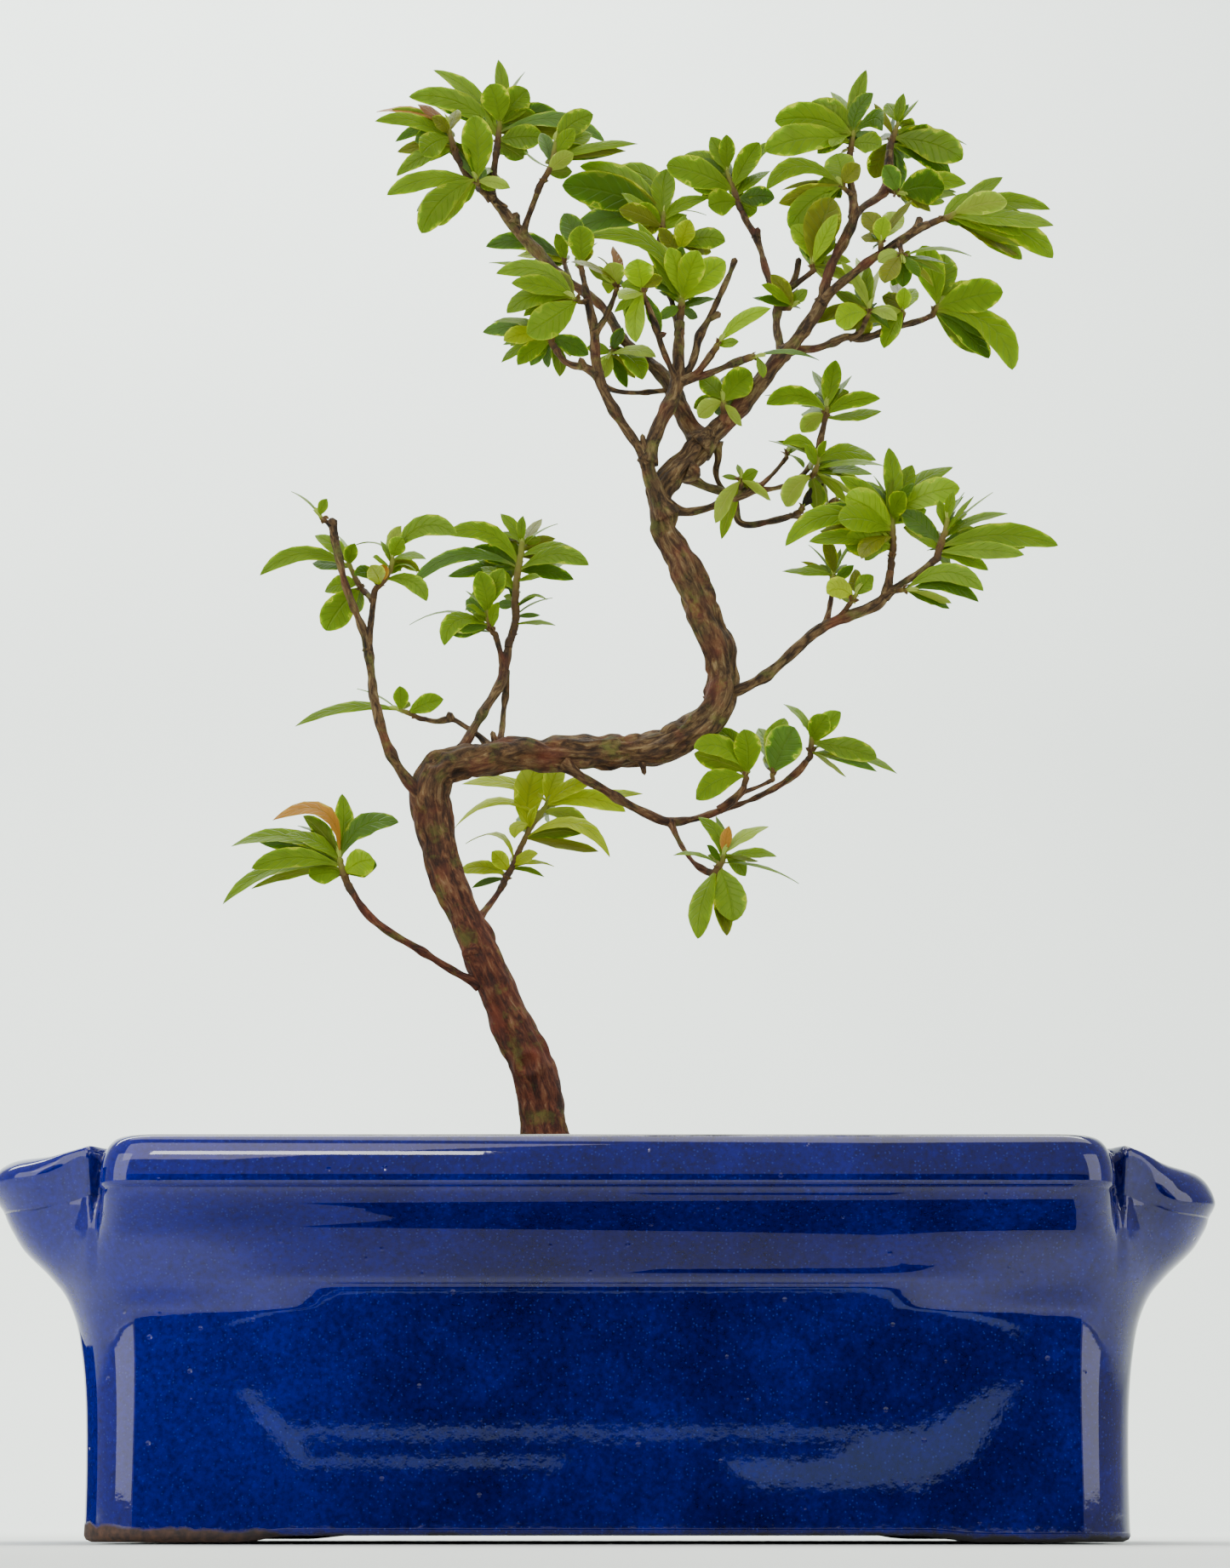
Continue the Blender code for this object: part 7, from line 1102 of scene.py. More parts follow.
      (-6.6, 296.6, -1, 304.7, 8, .5, 3, .1))),
    ("shoot_back_spur", "back_d", "gmy",
     ((-10.6, 296.4, 18.8, .55), (-11, 297.8, 19.4, .45)),
     ((-10.9, 297.4, -29.5, 300.5, 2, .7, 5.4, .15), (-10.9, 297.4, -12.7, 304, -2, .7, 4, .05),
      (-10.8, 297, -22, 298, 5, .6, 4, .1))),
    ("shoot_front_fork", "front_a_fork", "pon",
     ((2, 289.6, -14.8, .6), (2.2, 291, -15, .5)),
     ((2, 290.2, .2, 296.4, -4, -1, 5.6, .02), (2, 290, -9, 296.5, -10, .35, 3.2, .08),
      (2.1, 290.6, 1, 300.6, 5, .6, 4.2, .05))),
    ("shoot_front_right", "front_b", "mbbmdmmbgy",
     ((17.2, 284, -6.2, 1), (17.5, 287.4, -6.6, .7)),
     ((17.2, 285, -6.3, 302.8, -5, .6, 4.8, .28), (17.4, 286.6, 28, 296.7, -3, .9, 7.4, .05),
      (17.4, 286.8, 14.5, 300.3, -7, 1, 5.6, .03), (17.4, 286, 26.7, 291.2, 4, .4, 2, .05),
      (17.3, 285.4, 25.5, 287, 3, .5, 3.2, .1), (17.4, 286, 10.5, 292, 2, .8, 3.8, .1),
      (17.4, 286.8, 9, 303.4, 6, .6, 3.4, .1), (17.4, 286.8, 21.6, 299.4, -11, .9, 6.6, .03),
      (17.2, 285, 12.3, 281.6, -2, .7, 3.2, .06), (17.3, 286, 11, 297, 7, .8, 4.6, .1))),
    ("shoot_fan", "fan_d", "bmbmop",
     ((8.4, 288.2, -16.6, .65), (7.9, 290, -17, .5)),
     ((8, 289.6, 6.8, 297.4, -6, 1, 7, 0), (8.2, 289, 1.3, 283.5, 3, .5, 3.6, .05),
      (8.3, 288.6, 6.5, 275.8, -3, .9, 4.8, .08), (8.1, 289.4, 3, 290.5, 0, .7, 4, .05),
      (8.1, 289.4, 12.9, 292.4, -1, .8, 3.4, .05), (8.2, 288.8, 2.4, 287, -6, .7, 3.6, .1))),
    ("shoot_back_low", "back_spur", "pmpdm",
     ((1, 273.8, 8.8, .6), (.4, 272.8, 8, .5)),
     ((.7, 273.2, -1.2, 266.6, 0, -.9, 3.8, .03), (.7, 273.2, 8, 266.3, -6, .8, 5.2, .15),
      (.6, 273, 11.2, 272, -7, .6, 3.6, .12), (.7, 273.4, 3.4, 279.6, 0, .8, 3.4, .03),
      (.6, 273, -5.2, 274.6, 3, .8, 3.4, .05))),
    ("shoot_centre", "centre", "mdmmmmommo",
     ((12.7, 304.4, 9, .75), (12.9, 307, 9.4, .65), (13.3, 310, 9.6, .5)),
     ((13.2, 309.4, -7, 321.6, 3, .8, 6, .12), (13.1, 308.6, -11.3, 316.5, -3, .9, 9.2, .08),
      (13.2, 309.6, .5, 320.7, 7, .85, 6.4, .2), (13.2, 309.4, 14, 320.9, 0, 1, 6, .02),
      (13.2, 309, 24, 313.2, 3, .7, 4, .12), (13, 307.6, 6.5, 311.5, -6, .9, 4.4, .03),
      (12.9, 306.8, 2.5, 310.3, -12, -1, 4.8, .05), (13, 307, 23.5, 308.7, 8, .2, 1.6, .15),
      (13, 306.8, 18.8, 308.8, 3, .8, 3.8, .05), (13, 307, 8.2, 303.6, 0, .9, 4, .1))),
    ("shoot_centre_spur", "centre_spur", "ymmo",
     ((16.6, 298.4, 2, .6), (17.4, 300.6, 1.6, .5)),
     ((17, 299.8, 19.5, 307.6, -6, 1, 5, .02), (17, 299.8, 28, 301.8, -2, .8, 5.6, .12),
      (17.1, 300, 18.3, 308.7, 2, .8, 4, .02), (17, 299.8, 12, 305.4, -2, .8, 3.8, .05))),
    ("shoot_crown_left", "crown_d", "mmmmmmmdmm",
     ((31, 312.4, 10.6, .75), (30.2, 315, 10.8, .7), (29.2, 317.8, 11, .65), (28.5, 320.8, 11.2, .5)),
     ((30, 315, 13.9, 321.8, -5, .8, 8, .06), (29.2, 318, 18.3, 324.6, 3, .75, 4.8, .15),
      (28.7, 320, 24.7, 329.4, -1, .9, 4.6, .03), (28.6, 320.4, 28.5, 330, -4, .9, 4.2, .02),
      (30.2, 315, 36.5, 327.9, -2, .9, 5.6, .03), (30.3, 314.8, 41, 328.5, 3, .7, 4, .1),
      (30.6, 314, 39, 320.3, 4, .7, 3.4, .08), (30.8, 313.2, 40, 313.2, -4, .9, 5.2, .08),
      (30.9, 312.8, 24, 311, -3, .9, 6.8, .1), (30.4, 314.6, 20.4, 315.6, 2, .8, 5.4, .1))),
    ("shoot_crown_mid", "crown_d_fork", "obympppb",
     ((48.8, 295, -2.6, .65), (49, 296.8, -2.8, .5)),
     ((48.9, 296.2, 54, 313.2, -4, 1, 9, .04), (48.9, 296.2, 43.8, 305.8, 1, .8, 6.2, .12),
      (48.9, 296.2, 47, 305, 5, .6, 3, .02), (48.9, 296, 54.5, 303, 2, .8, 3.8, .03),
      (48.8, 295.4, 53.6, 291.8, 4, -.6, 2.6, 0), (48.9, 296, 58, 296.5, 8, -.7, 3.4, .05),
      (48.8, 295.6, 58.4, 290.6, 6, -.6, 3.4, .1), (48.9, 296.2, 55, 309, -7, .8, 4.4, .03))),
    ("shoot_crown_spur", "crown_d_spur", "mom",
     ((43.4, 284.9, -.2, .6), (44.2, 285.3, -.8, .5)),
     ((43.8, 285.1, 47.6, 289.3, -2, .6, 3.6, .05), (43.6, 285, 38.8, 293.3, -4, .8, 4.2, 0),
      (43.6, 285, 36.5, 290.6, -10, .7, 3, .05))),
    ("shoot_crown_top", "crown", "mmmmmdmd",
     ((58.5, 325.2, 1.2, .8), (58.9, 328, 1.6, .7), (59.5, 331.2, 2, .5)),
     ((58.9, 328, 37.8, 325.5, -4, .8, 8, .1), (59.2, 330, 40.3, 333.5, 1, .85, 8, .13),
      (59.3, 330.4, 48, 336.8, 2, .9, 7.6, .1), (59.4, 330.8, 54, 341.4, 6, .7, 3.4, .05),
      (59.4, 330.8, 62.8, 347.3, 2, .9, 4.2, .03), (59.4, 330.4, 64.4, 341, -3, .7, 5, .15),
      (58.9, 328, 66, 326.8, -3, .7, 6, .08), (59.3, 330, 66.4, 331, -8, .8, 5, .38))),
    ("shoot_crown_low", "crown_spur", "mmmmo",
     ((56.6, 316, -4.2, .6), (56.1, 316.8, -4.8, .5)),
     ((56.3, 316.4, 55, 324.9, 3, 1, 7.6, .03), (56.4, 316.2, 38.1, 315.4, -4, .7, 5, .3),
      (56.3, 316.4, 40, 320.4, 3, .25, 1.8, .2), (56.3, 316.4, 43.5, 305.2, 4, .8, 6.4, .1),
      (56.2, 316.6, 60.8, 322, -3, .8, 5, .03))),
    ("shoot_crown_right", "crown_a", "mmmmmmood",
     ((68.5, 328, 7.8, .85), (69.3, 330.5, 8, .7), (70.3, 333.4, 8.2, .5)),
     ((70, 332.6, 71.8, 341, -2, .8, 3, .02), (70, 332.6, 75.4, 339.2, 0, .4, 1.8, .02),
      (70, 332.6, 67.6, 338.4, 3, .8, 4.6, .02), (69.4, 331, 81, 330, 4, .6, 3.6, .05),
      (69.2, 330.4, 86.7, 327.3, 1, .35, 2.4, .08), (68.8, 329, 85.6, 323.4, -3, .8, 8.4, .08),
      (68.6, 328.6, 64, 318.4, 8, 1, 6, .05), (68.8, 329, 64.5, 338.3, -1, .45, 3, .04),
      (68.8, 329, 82.6, 319, 3, .7, 5.6, .1))),
    ("shoot_crown_side", "crown_a_spur", "dmgo",
     ((69.4, 314.6, 1.8, .65), (70.2, 314.4, 1, .55)),
     ((69.8, 314.5, 81, 315.6, -2, 1, 8.8, .1), (69.8, 314.5, 86.3, 317, 3, .8, 5.4, .1),
      (69.6, 314.6, 66.6, 321.8, -4, .8, 5, .05), (69.9, 314.4, 77.5, 309.6, 4, .6, 3.4, .1))),
    ("shoot_crown_far", "crown_b", "mmmmpmm",
     ((80, 307.6, -16, .85), (82, 308.4, -17, .75), (84, 309.8, -18, .5)),
     ((83.4, 309.4, 95.2, 318.7, 3, .7, 4, .05), (83.4, 309.4, 106.3, 310.2, -1, .65, 5, .12),
      (83, 309, 107, 306, -8, .65, 5, .05), (82.6, 308.8, 106.5, 297.5, -1, .6, 7.4, .14),
      (83, 309, 96, 312.4, -10, -.85, 6, .05), (82.4, 308.6, 99.4, 303.4, -3, .7, 4.6, .08),
      (82.2, 308.6, 86.5, 314.6, -2, .7, 3.4, .03))),
    ("shoot_crown_back", "crown_b_spur", "bopoo",
     ((65.4, 301.2, -12.6, .65), (65.4, 302.6, -13.2, .5)),
     ((65.4, 301.8, 66.4, 308.4, -4, 1, 4.4, .03), (65.3, 301.8, 61.2, 309.4, 2, .85, 5, .05),
      (65.5, 302, 70.8, 309.2, 5, .9, 5.4, .05), (65.5, 302.2, 73.2, 312.6, 0, .5, 2.8, .03),
      (65.4, 301.6, 60.6, 303, 4, .7, 3.6, .1))),
    ("shoot_crown_drop", "crown_b_drop", "dmopd",
     ((70.2, 298.6, -14.2, .6), (70.3, 297.8, -14.8, .5)),
     ((70.2, 298.2, 70.4, 290, 3, .9, 4.4, .03), (70.2, 298.4, 87, 298, 2, .35, 2.2, .12),
      (70.2, 298.2, 66, 291, -2, .8, 5, .06), (70.2, 298.4, 64.6, 296.4, 1, .7, 4, .1),
      (70.3, 298.2, 74.4, 292.6, -1, .7, 3, .06))),
    ("shoot_right_upper", "crown_c", "mmmmo",
     ((77.6, 283.8, 11.2, .7), (79, 285.8, 11.4, .5)),
     ((78.6, 285.2, 75.2, 300.8, -3, 1, 7.2, .03), (78.4, 285, 94.3, 288.7, -5, 1, 8.4, .05),
      (78, 284.4, 95.8, 268.8, -1, .7, 7.4, .22), (78.6, 285.4, 80.6, 298.6, 3, 1, 7.6, .03),
      (78.2, 284.8, 88, 283.2, 3, .7, 4.6, .04))),
    ("shoot_right_upper_spur", "crown_c_spur", "bombop",
     ((70.2, 283.4, 6, .6), (70.3, 284.4, 5.6, .5)),
     ((70.2, 284, 70.8, 290, -4, .9, 3.8, .02), (70.2, 283.8, 65.3, 287.6, 2, .8, 4.2, .08),
      (70.2, 283.6, 65.5, 274.3, -4, .8, 4.6, .02), (70.2, 284, 73.4, 289.6, 5, .9, 4.6, .03),
      (70.2, 284, 67.8, 292, 11, .8, 4.4, .03), (70.2, 283.8, 62.2, 281, -5, .8, 4.4, .1))),
    ("shoot_right_upper_fork", "crown_c_fork", "bomyppp",
     ((61.9, 283, -1.2, .65), (62.3, 284.6, -1.6, .5)),
     ((61.9, 283.2, 54.2, 280.5, -5, 1, 6.4, .1), (61.9, 283.2, 49.6, 280.6, 0, .6, 4.2, .15),
      (62.2, 284.2, 62, 296, 3, .8, 3.6, .02), (62.2, 284.2, 65.6, 295.6, 7, .6, 3, .03),
      (62.2, 284.4, 59.4, 297.6, 14, .8, 4.4, .04), (62.1, 284, 55.6, 296.6, -2, .6, 3.4, .06),
      (62, 283.6, 68.6, 281.4, -3, .6, 3.4, .15))),
    ("shoot_fan_stub", "fan_a", "gm",
     ((33.9, 272, -13.4, .9), (35.2, 272.2, -13.8, .5)),
     ((34.4, 272, 50, 271.2, 2, .35, 2.6, .12), (34.2, 272, 36.6, 266.8, -2, .8, 2.4, .05))),
    ("shoot_fan_knob", "fan_c", "bm",
     ((25.8, 275, -13.2, .8), (26.6, 276.2, -13.8, .5)),
     ((26.2, 275.6, 38.7, 284.5, -4, .8, 3.8, .1), (26, 275.4, 31, 276, -2, .7, 2.6, .02))),
    ("shoot_crown_stub", "crown_stub", "mmmpp",
     ((27.2, 259.8, -2, .9), (27, 261.4, -2.6, .6)),
     ((27.1, 260.6, 34, 268, -3, .9, 7.4, .08), (27.1, 260.8, 21.5, 267, 2, .9, 5, .05),
      (27, 261, 24.3, 268, 6, .8, 3, .02), (27.1, 260.4, 31.5, 254.6, -7, -.8, 2.8, .02),
      (27.1, 260.4, 21.2, 256.8, -2, -.8, 4.6, .08))),
)
# Leaf tones: m mid, b bright, y yellow, d dark, p pale, g grey green, o olive, r reddish, n brown, k dry
# The b and d tones are painted light and painted shade: the same green made lighter for leaves standing in
# light and darker for leaves standing in shade.
TONE_COLOURS = {
    "m": "#607A02", "b": "#7B9804", "y": "#94A20E", "d": "#3E5A02", "p": "#889C30", "g": "#4C6A1C",
    "o": "#62660A", "r": "#99681A", "n": "#6A4522", "k": "#1E120C",
}
# Filling leaves sit behind the drawn ones and mostly take the dark tone, as painted shade.
FILL_TONES = list("mddog")
STEM_SIDES = 12
BUD_TURNS = np.array((0.3, 1.9, 3.5, 5.1))
BUD_LEAVES = len(BUD_TURNS)
SEAT_GAP = 0.35
ROOT_SPACING = 0.8
STALK_HALF_WIDTH = 0.3
LEAF_THICK = 0.3
LEAF_BASE = 1.1
BLUNT_TIP = 0.65
SLENDER_TIP = 0.06
BROAD_WIDTH = 7.0
LEAF_SHARES = np.array((0, 0.07, 0.18, 0.31, 0.45, 0.59, 0.72, 0.83, 0.92, 0.975, 1.0))
# One ring of a blade: place across it, and side (1 above, -1 below, 0 at the margin)
LEAF_RING = np.array((-1, -0.55, 0, 0.55, 1, 0.55, 0, -0.55))
LEAF_SIDE = np.array((0, 1, 1, 1, 0, -1, -1, -1))
# Leaves that fill a whorl: share of the drawn ones high in the crown and below it, and the height between
CROWN_FILL = 2.0
LOW_FILL = 0.5
CROWN_FROM = 222.0
shoot_draws = np.random.default_rng(23)


def unit(vectors):
    """Vectors at length 1."""
    return vectors / np.linalg.norm(vectors, axis=-1, keepdims=True)


def stem_of(limb_name, table):
    """The stem from just beyond the end of its limb through its own points."""
    limb_places, limb_radii = carried(dict(LIMBS)[limb_name])
    places, radii = carried(table)
    outward = unit(limb_places[-1] - limb_places[-2])
    start = limb_places[-1] + outward * SEAT_GAP
    collar = min(limb_radii[-1], radii[0])
    return (np.vstack((start, start + outward * 0.7, places)), np.concatenate(([collar, collar], radii)),
            limb_places[-1] - outward * 0.8)


def leaf_root(path, x, z, taken):
    """The point of the stem whose reading lies nearest x, z, clear of the limb end and of earlier leaves."""
    places = []
    for first, second in zip(path[:-1], path[1:]):
        steps = max(int(np.linalg.norm(second - first) / 0.25), 2)
        places.append(first + (second - first) * np.linspace(0.0, 1.0, steps)[:, None])
    places = np.vstack(places)
    scale = -EYE[1] / (places[:, 1] - EYE[1])
    seen = EYE + (places - EYE) * scale[:, None]
    gap = np.hypot(seen[:, 0] - x, seen[:, 2] - z)
    if taken:
        nearest = np.linalg.norm(places[:, None] - np.array(taken)[None], axis=-1).min(1)
        gap = gap + 4 * np.maximum(ROOT_SPACING - nearest, 0)
    gap[np.linalg.norm(places - path[0], axis=1) < 1.1] = np.inf
    best = np.flatnonzero(gap < gap.min() + 1e-6)[0]
    return places[best]


def blades(roots, tips, arches, faces, widths):
    """Leaf surfaces, one closed ring of points at each share of the length. The midrib is a parabola from
    root to tip that rises arch times the length; the half width is s^1.1 (1 - s)^b, with b larger on slender
    blades; the two halves fold up from the midrib, curl down at the margin and wave a little."""
    count = len(roots)
    share = LEAF_SHARES[None, :, None]
    chord = tips - roots
    length = np.linalg.norm(chord, axis=1, keepdims=True)
    forward = chord / length
    sight = unit((roots + tips) / 2 - EYE)
    lean = np.where(forward[:, :1] >= 0, 1.0, -1.0)
    rise = unit(np.stack((-forward[:, 2], 0 * forward[:, 2], forward[:, 0]), -1) * lean)
    control = (roots + tips) / 2 + rise * (arches[:, None] * length * 2)
    seen_turn = (faces * math.pi / 2)[:, None]
    edge_on = -unit(sight - forward * (sight * forward).sum(1, keepdims=True)) * lean
    side = unit(edge_on * np.cos(seen_turn) + np.cross(sight, forward) * np.sin(seen_turn))
    a, b, c = roots[:, None], control[:, None], tips[:, None]
    place = (1 - share) ** 2 * a + 2 * share * (1 - share) * b + share ** 2 * c
    tangent = unit((1 - share) * (b - a) + share * (c - b))
    across = unit(side[:, None] - tangent * (side[:, None] * tangent).sum(-1, keepdims=True))
    upper = np.cross(across, tangent)
    draw = shoot_draws.uniform(-1, 1, (count, 6))
    twist = (draw[:, 0, None] * 0.35 * (LEAF_SHARES[None, :] - 0.3))[..., None]
    across, upper = (across * np.cos(twist) + upper * np.sin(twist),
                     upper * np.cos(twist) - across * np.sin(twist))
    bow = (draw[:, 1, None] * 0.02 * length * np.sin(math.pi * LEAF_SHARES)[None, :])[..., None]
    place = place + across * bow
    blunt = BLUNT_TIP + SLENDER_TIP * np.clip(BROAD_WIDTH - widths[:, None], 0, 4)
    whole = LEAF_BASE + blunt
    peak = (LEAF_BASE / whole) ** LEAF_BASE * (blunt / whole) ** blunt
    blade = LEAF_SHARES[None] ** LEAF_BASE * (1 - LEAF_SHARES[None]) ** blunt / peak
    stalk = STALK_HALF_WIDTH * (1 - LEAF_SHARES[None] * 0.8)
    half = np.maximum(widths[:, None] / 2 * blade, stalk)[..., None]
    half[:, -1] = 0.05
    column = LEAF_RING[None, None, :]
    layer = LEAF_SIDE[None, None, :]
    fold = 0.2 + 0.08 * draw[:, 2, None, None]
    curl = 0.1 + 0.07 * draw[:, 3, None, None]
    wave = 0.1 * np.sin(2 * math.pi * (2.2 * share + draw[:, 4, None, None])) * column * np.abs(column)
    lift = half * (fold * np.abs(column) - curl * column ** 2 + wave * (half > 1))
    thick = LEAF_THICK / 2 * (1 - 0.4 * np.abs(column)) * np.clip(1.6 - share, 0.6, 1)
    points = (place[:, :, None] + across[:, :, None] * (column * half)[..., None]
              + upper[:, :, None] * (lift + layer * thick)[..., None])
    spread = np.broadcast_to(column, (count, len(LEAF_SHARES), column.shape[2]))
    along = np.broadcast_to(share, spread.shape)
    under = np.broadcast_to((layer < 0) * 1.0, spread.shape)
    return points, np.stack((spread, along, under), -1)


def leaf_material():
    """Azalea leaf: a thin waxy skin over soft green tissue. The midrib is a pale groove, side veins run
    forward from it and quilt the blade, and the underside is paler and dull."""
    made = new_material("azalea_leaf", {"IOR": 1.42, "Subsurface Weight": 0.3, "Subsurface Scale": 0.0006,
                                        "Subsurface Radius": (0.7, 1.0, 0.1), "Specular IOR Level": 0.16})
    blade = add(made, "Attribute", attribute_name="blade_place").outputs["Vector"]
    # leaf_tint holds each leaf's green, with painted light and painted shade in its bright and dark tones.
    tint = add(made, "Attribute", attribute_name="leaf_tint").outputs["Vector"]
    parts = add(made, "SeparateXYZ", {0: blade})
    aside = add(made, "Math", {0: parts.outputs["X"]}, operation="ABSOLUTE")
    under = parts.outputs["Z"]
    rib = add(made, "MapRange", {"Value": aside, "From Min": 0.1, "From Max": 0.02},
              interpolation_type="SMOOTHSTEP")
    slant = add(made, "Math", {0: aside, 1: -0.2, 2: parts.outputs["Y"]}, operation="MULTIPLY_ADD")
    beat = add(made, "Math", {0: slant, 1: 8.0}, operation="MULTIPLY")
    saw = add(made, "Math", {0: beat, 1: 0.5}, operation="PINGPONG")
    vein = add(made, "MapRange", {"Value": saw, "From Min": 0.14, "From Max": 0.0},
               interpolation_type="SMOOTHSTEP")
    place = add(made, "TexCoord").outputs["Object"]
    mottle = add(made, "TexNoise", {"Vector": place, "Scale": 1 / 0.0035, "Detail": 4.0})
    shade = add(made, "MapRange", {"Value": mottle, "To Min": 0.72, "To Max": 1.24})
    body = add(made, "Mix", {0: 1.0, 6: tint, 7: shade}, data_type="RGBA", blend_type="MULTIPLY")
    vein_share = add(made, "Math", {0: vein, 1: 0.16}, operation="MULTIPLY")
    veined = add(made, "Mix", {0: vein_share, 6: body, 7: linear("#3E6E16")}, data_type="RGBA")
    rib_colour = add(made, "Mix", {0: under, 6: linear("#4C6606"), 7: linear("#B4B85C")}, data_type="RGBA")
    rib_share = add(made, "Math", {0: rib, 1: 0.2}, operation="MULTIPLY")
    ribbed = add(made, "Mix", {0: rib_share, 6: veined, 7: rib_colour}, data_type="RGBA")
    stalk = add(made, "MapRange", {"Value": parts.outputs["Y"], "From Min": 0.14, "From Max": 0.0,
                                   "To Max": 0.5})
    stalked = add(made, "Mix", {0: stalk, 6: ribbed, 7: linear("#8E9434")}, data_type="RGBA")
    rim = add(made, "MapRange", {"Value": aside, "From Min": 0.85, "From Max": 1.0, "To Max": 0.04})
    rimmed = add(made, "Mix", {0: rim, 6: stalked, 7: linear("#A9B43C")}, data_type="RGBA")
    under_share = add(made, "Math", {0: under, 1: 0.35}, operation="MULTIPLY")
    colour = add(made, "Mix", {0: under_share, 6: rimmed, 7: linear("#7E8628")}, data_type="RGBA")
    join(made, colour, "Base Color")
    rough = add(made, "MapRange", {"Value": under, "To Min": 0.42, "To Max": 0.7})
    join(made, rough, "Roughness")
    ridges = add(made, "Math", {0: vein, 1: -0.5, 2: mottle}, operation="MULTIPLY_ADD")
    heights = add(made, "Math", {0: rib, 1: -1.2, 2: ridges}, operation="MULTIPLY_ADD")
    bump = add(made, "Bump", {"Height": heights, "Strength": 0.5, "Distance": 0.0003})
    join(made, bump, "Normal")
    return made


def stem_material():
    """Young azalea stem: green and softly hairy at the tip, brown and corky where it leaves the twig."""
    made = new_material("young_azalea_stem", {"IOR": 1.45, "Specular IOR Level": 0.3})
    grain = add(made, "Attribute", attribute_name="blade_place").outputs["Vector"]
    age = add(made, "SeparateXYZ", {0: grain}).outputs["Y"]
    place = add(made, "TexCoord").outputs["Object"]
    patch = add(made, "TexNoise", {"Vector": place, "Scale": 1 / 0.0011, "Detail": 4.0})
    late = add(made, "Math", {0: age, 1: 2.0}, operation="POWER")
    mixed = add(made, "Math", {0: patch, 1: 0.5, 2: late}, operation="MULTIPLY_ADD")
    colour = add(made, "ValToRGB", {0: mixed}, stops=((0.2, "#33210F"), (1.0, "#6E7420"), (0.4, "#513917"),
                                                      (0.7, "#665A22")))
    join(made, colour, "Base Color")
    rough = add(made, "MapRange", {"Value": patch, "To Min": 0.55, "To Max": 0.85})
    join(made, rough, "Roughness")
    bump = add(made, "Bump", {"Height": patch, "Strength": 0.6, "Distance": 0.0003})
    join(made, bump, "Normal")
    return made


def stem_swell(grain, turn, run):
    """Leaf scars and soft unevenness on a young stem."""
    return 0.12 * noise(grain, 0.9, 41) + 0.08 * noise(grain, 0.4, 42)


def filling(roots, tips, values):
    """More leaves for a whorl: each turns between two of the drawn ones, is shorter and lies deeper, so it
    shows in the gaps from the front and fills the back."""
    count = int(round(len(roots) * (CROWN_FILL if tips[:, 2].mean() > CROWN_FROM else LOW_FILL)))
    if len(roots) < 3:
        count = 0
    first = shoot_draws.integers(0, len(roots), count)
    second = shoot_draws.integers(0, len(roots), count)
    share = shoot_draws.uniform(0.3, 0.7, count)[:, None]
    heading = (tips - roots)[first] * (1 - share) + (tips - roots)[second] * share
    heading[:, 1] += shoot_draws.uniform(2.5, 11, count)
    length = np.linalg.norm((tips - roots)[first], axis=1) * shoot_draws.uniform(0.62, 0.95, count)
    start = roots[first] + (0, 0.35, 0)
    looks = values[first] * (1, 1, 1, 1, 1, 0, 0.85, 0)
    looks[:, 5] = shoot_draws.uniform(0.35, 1.0, count)
    looks[:, 5] *= np.where(shoot_draws.uniform(0, 1, count) < 0.35, -1, 1)
    looks[:, 7] = shoot_draws.uniform(0.0, 0.1, count)
    return start, start + unit(heading) * length[:, None], looks


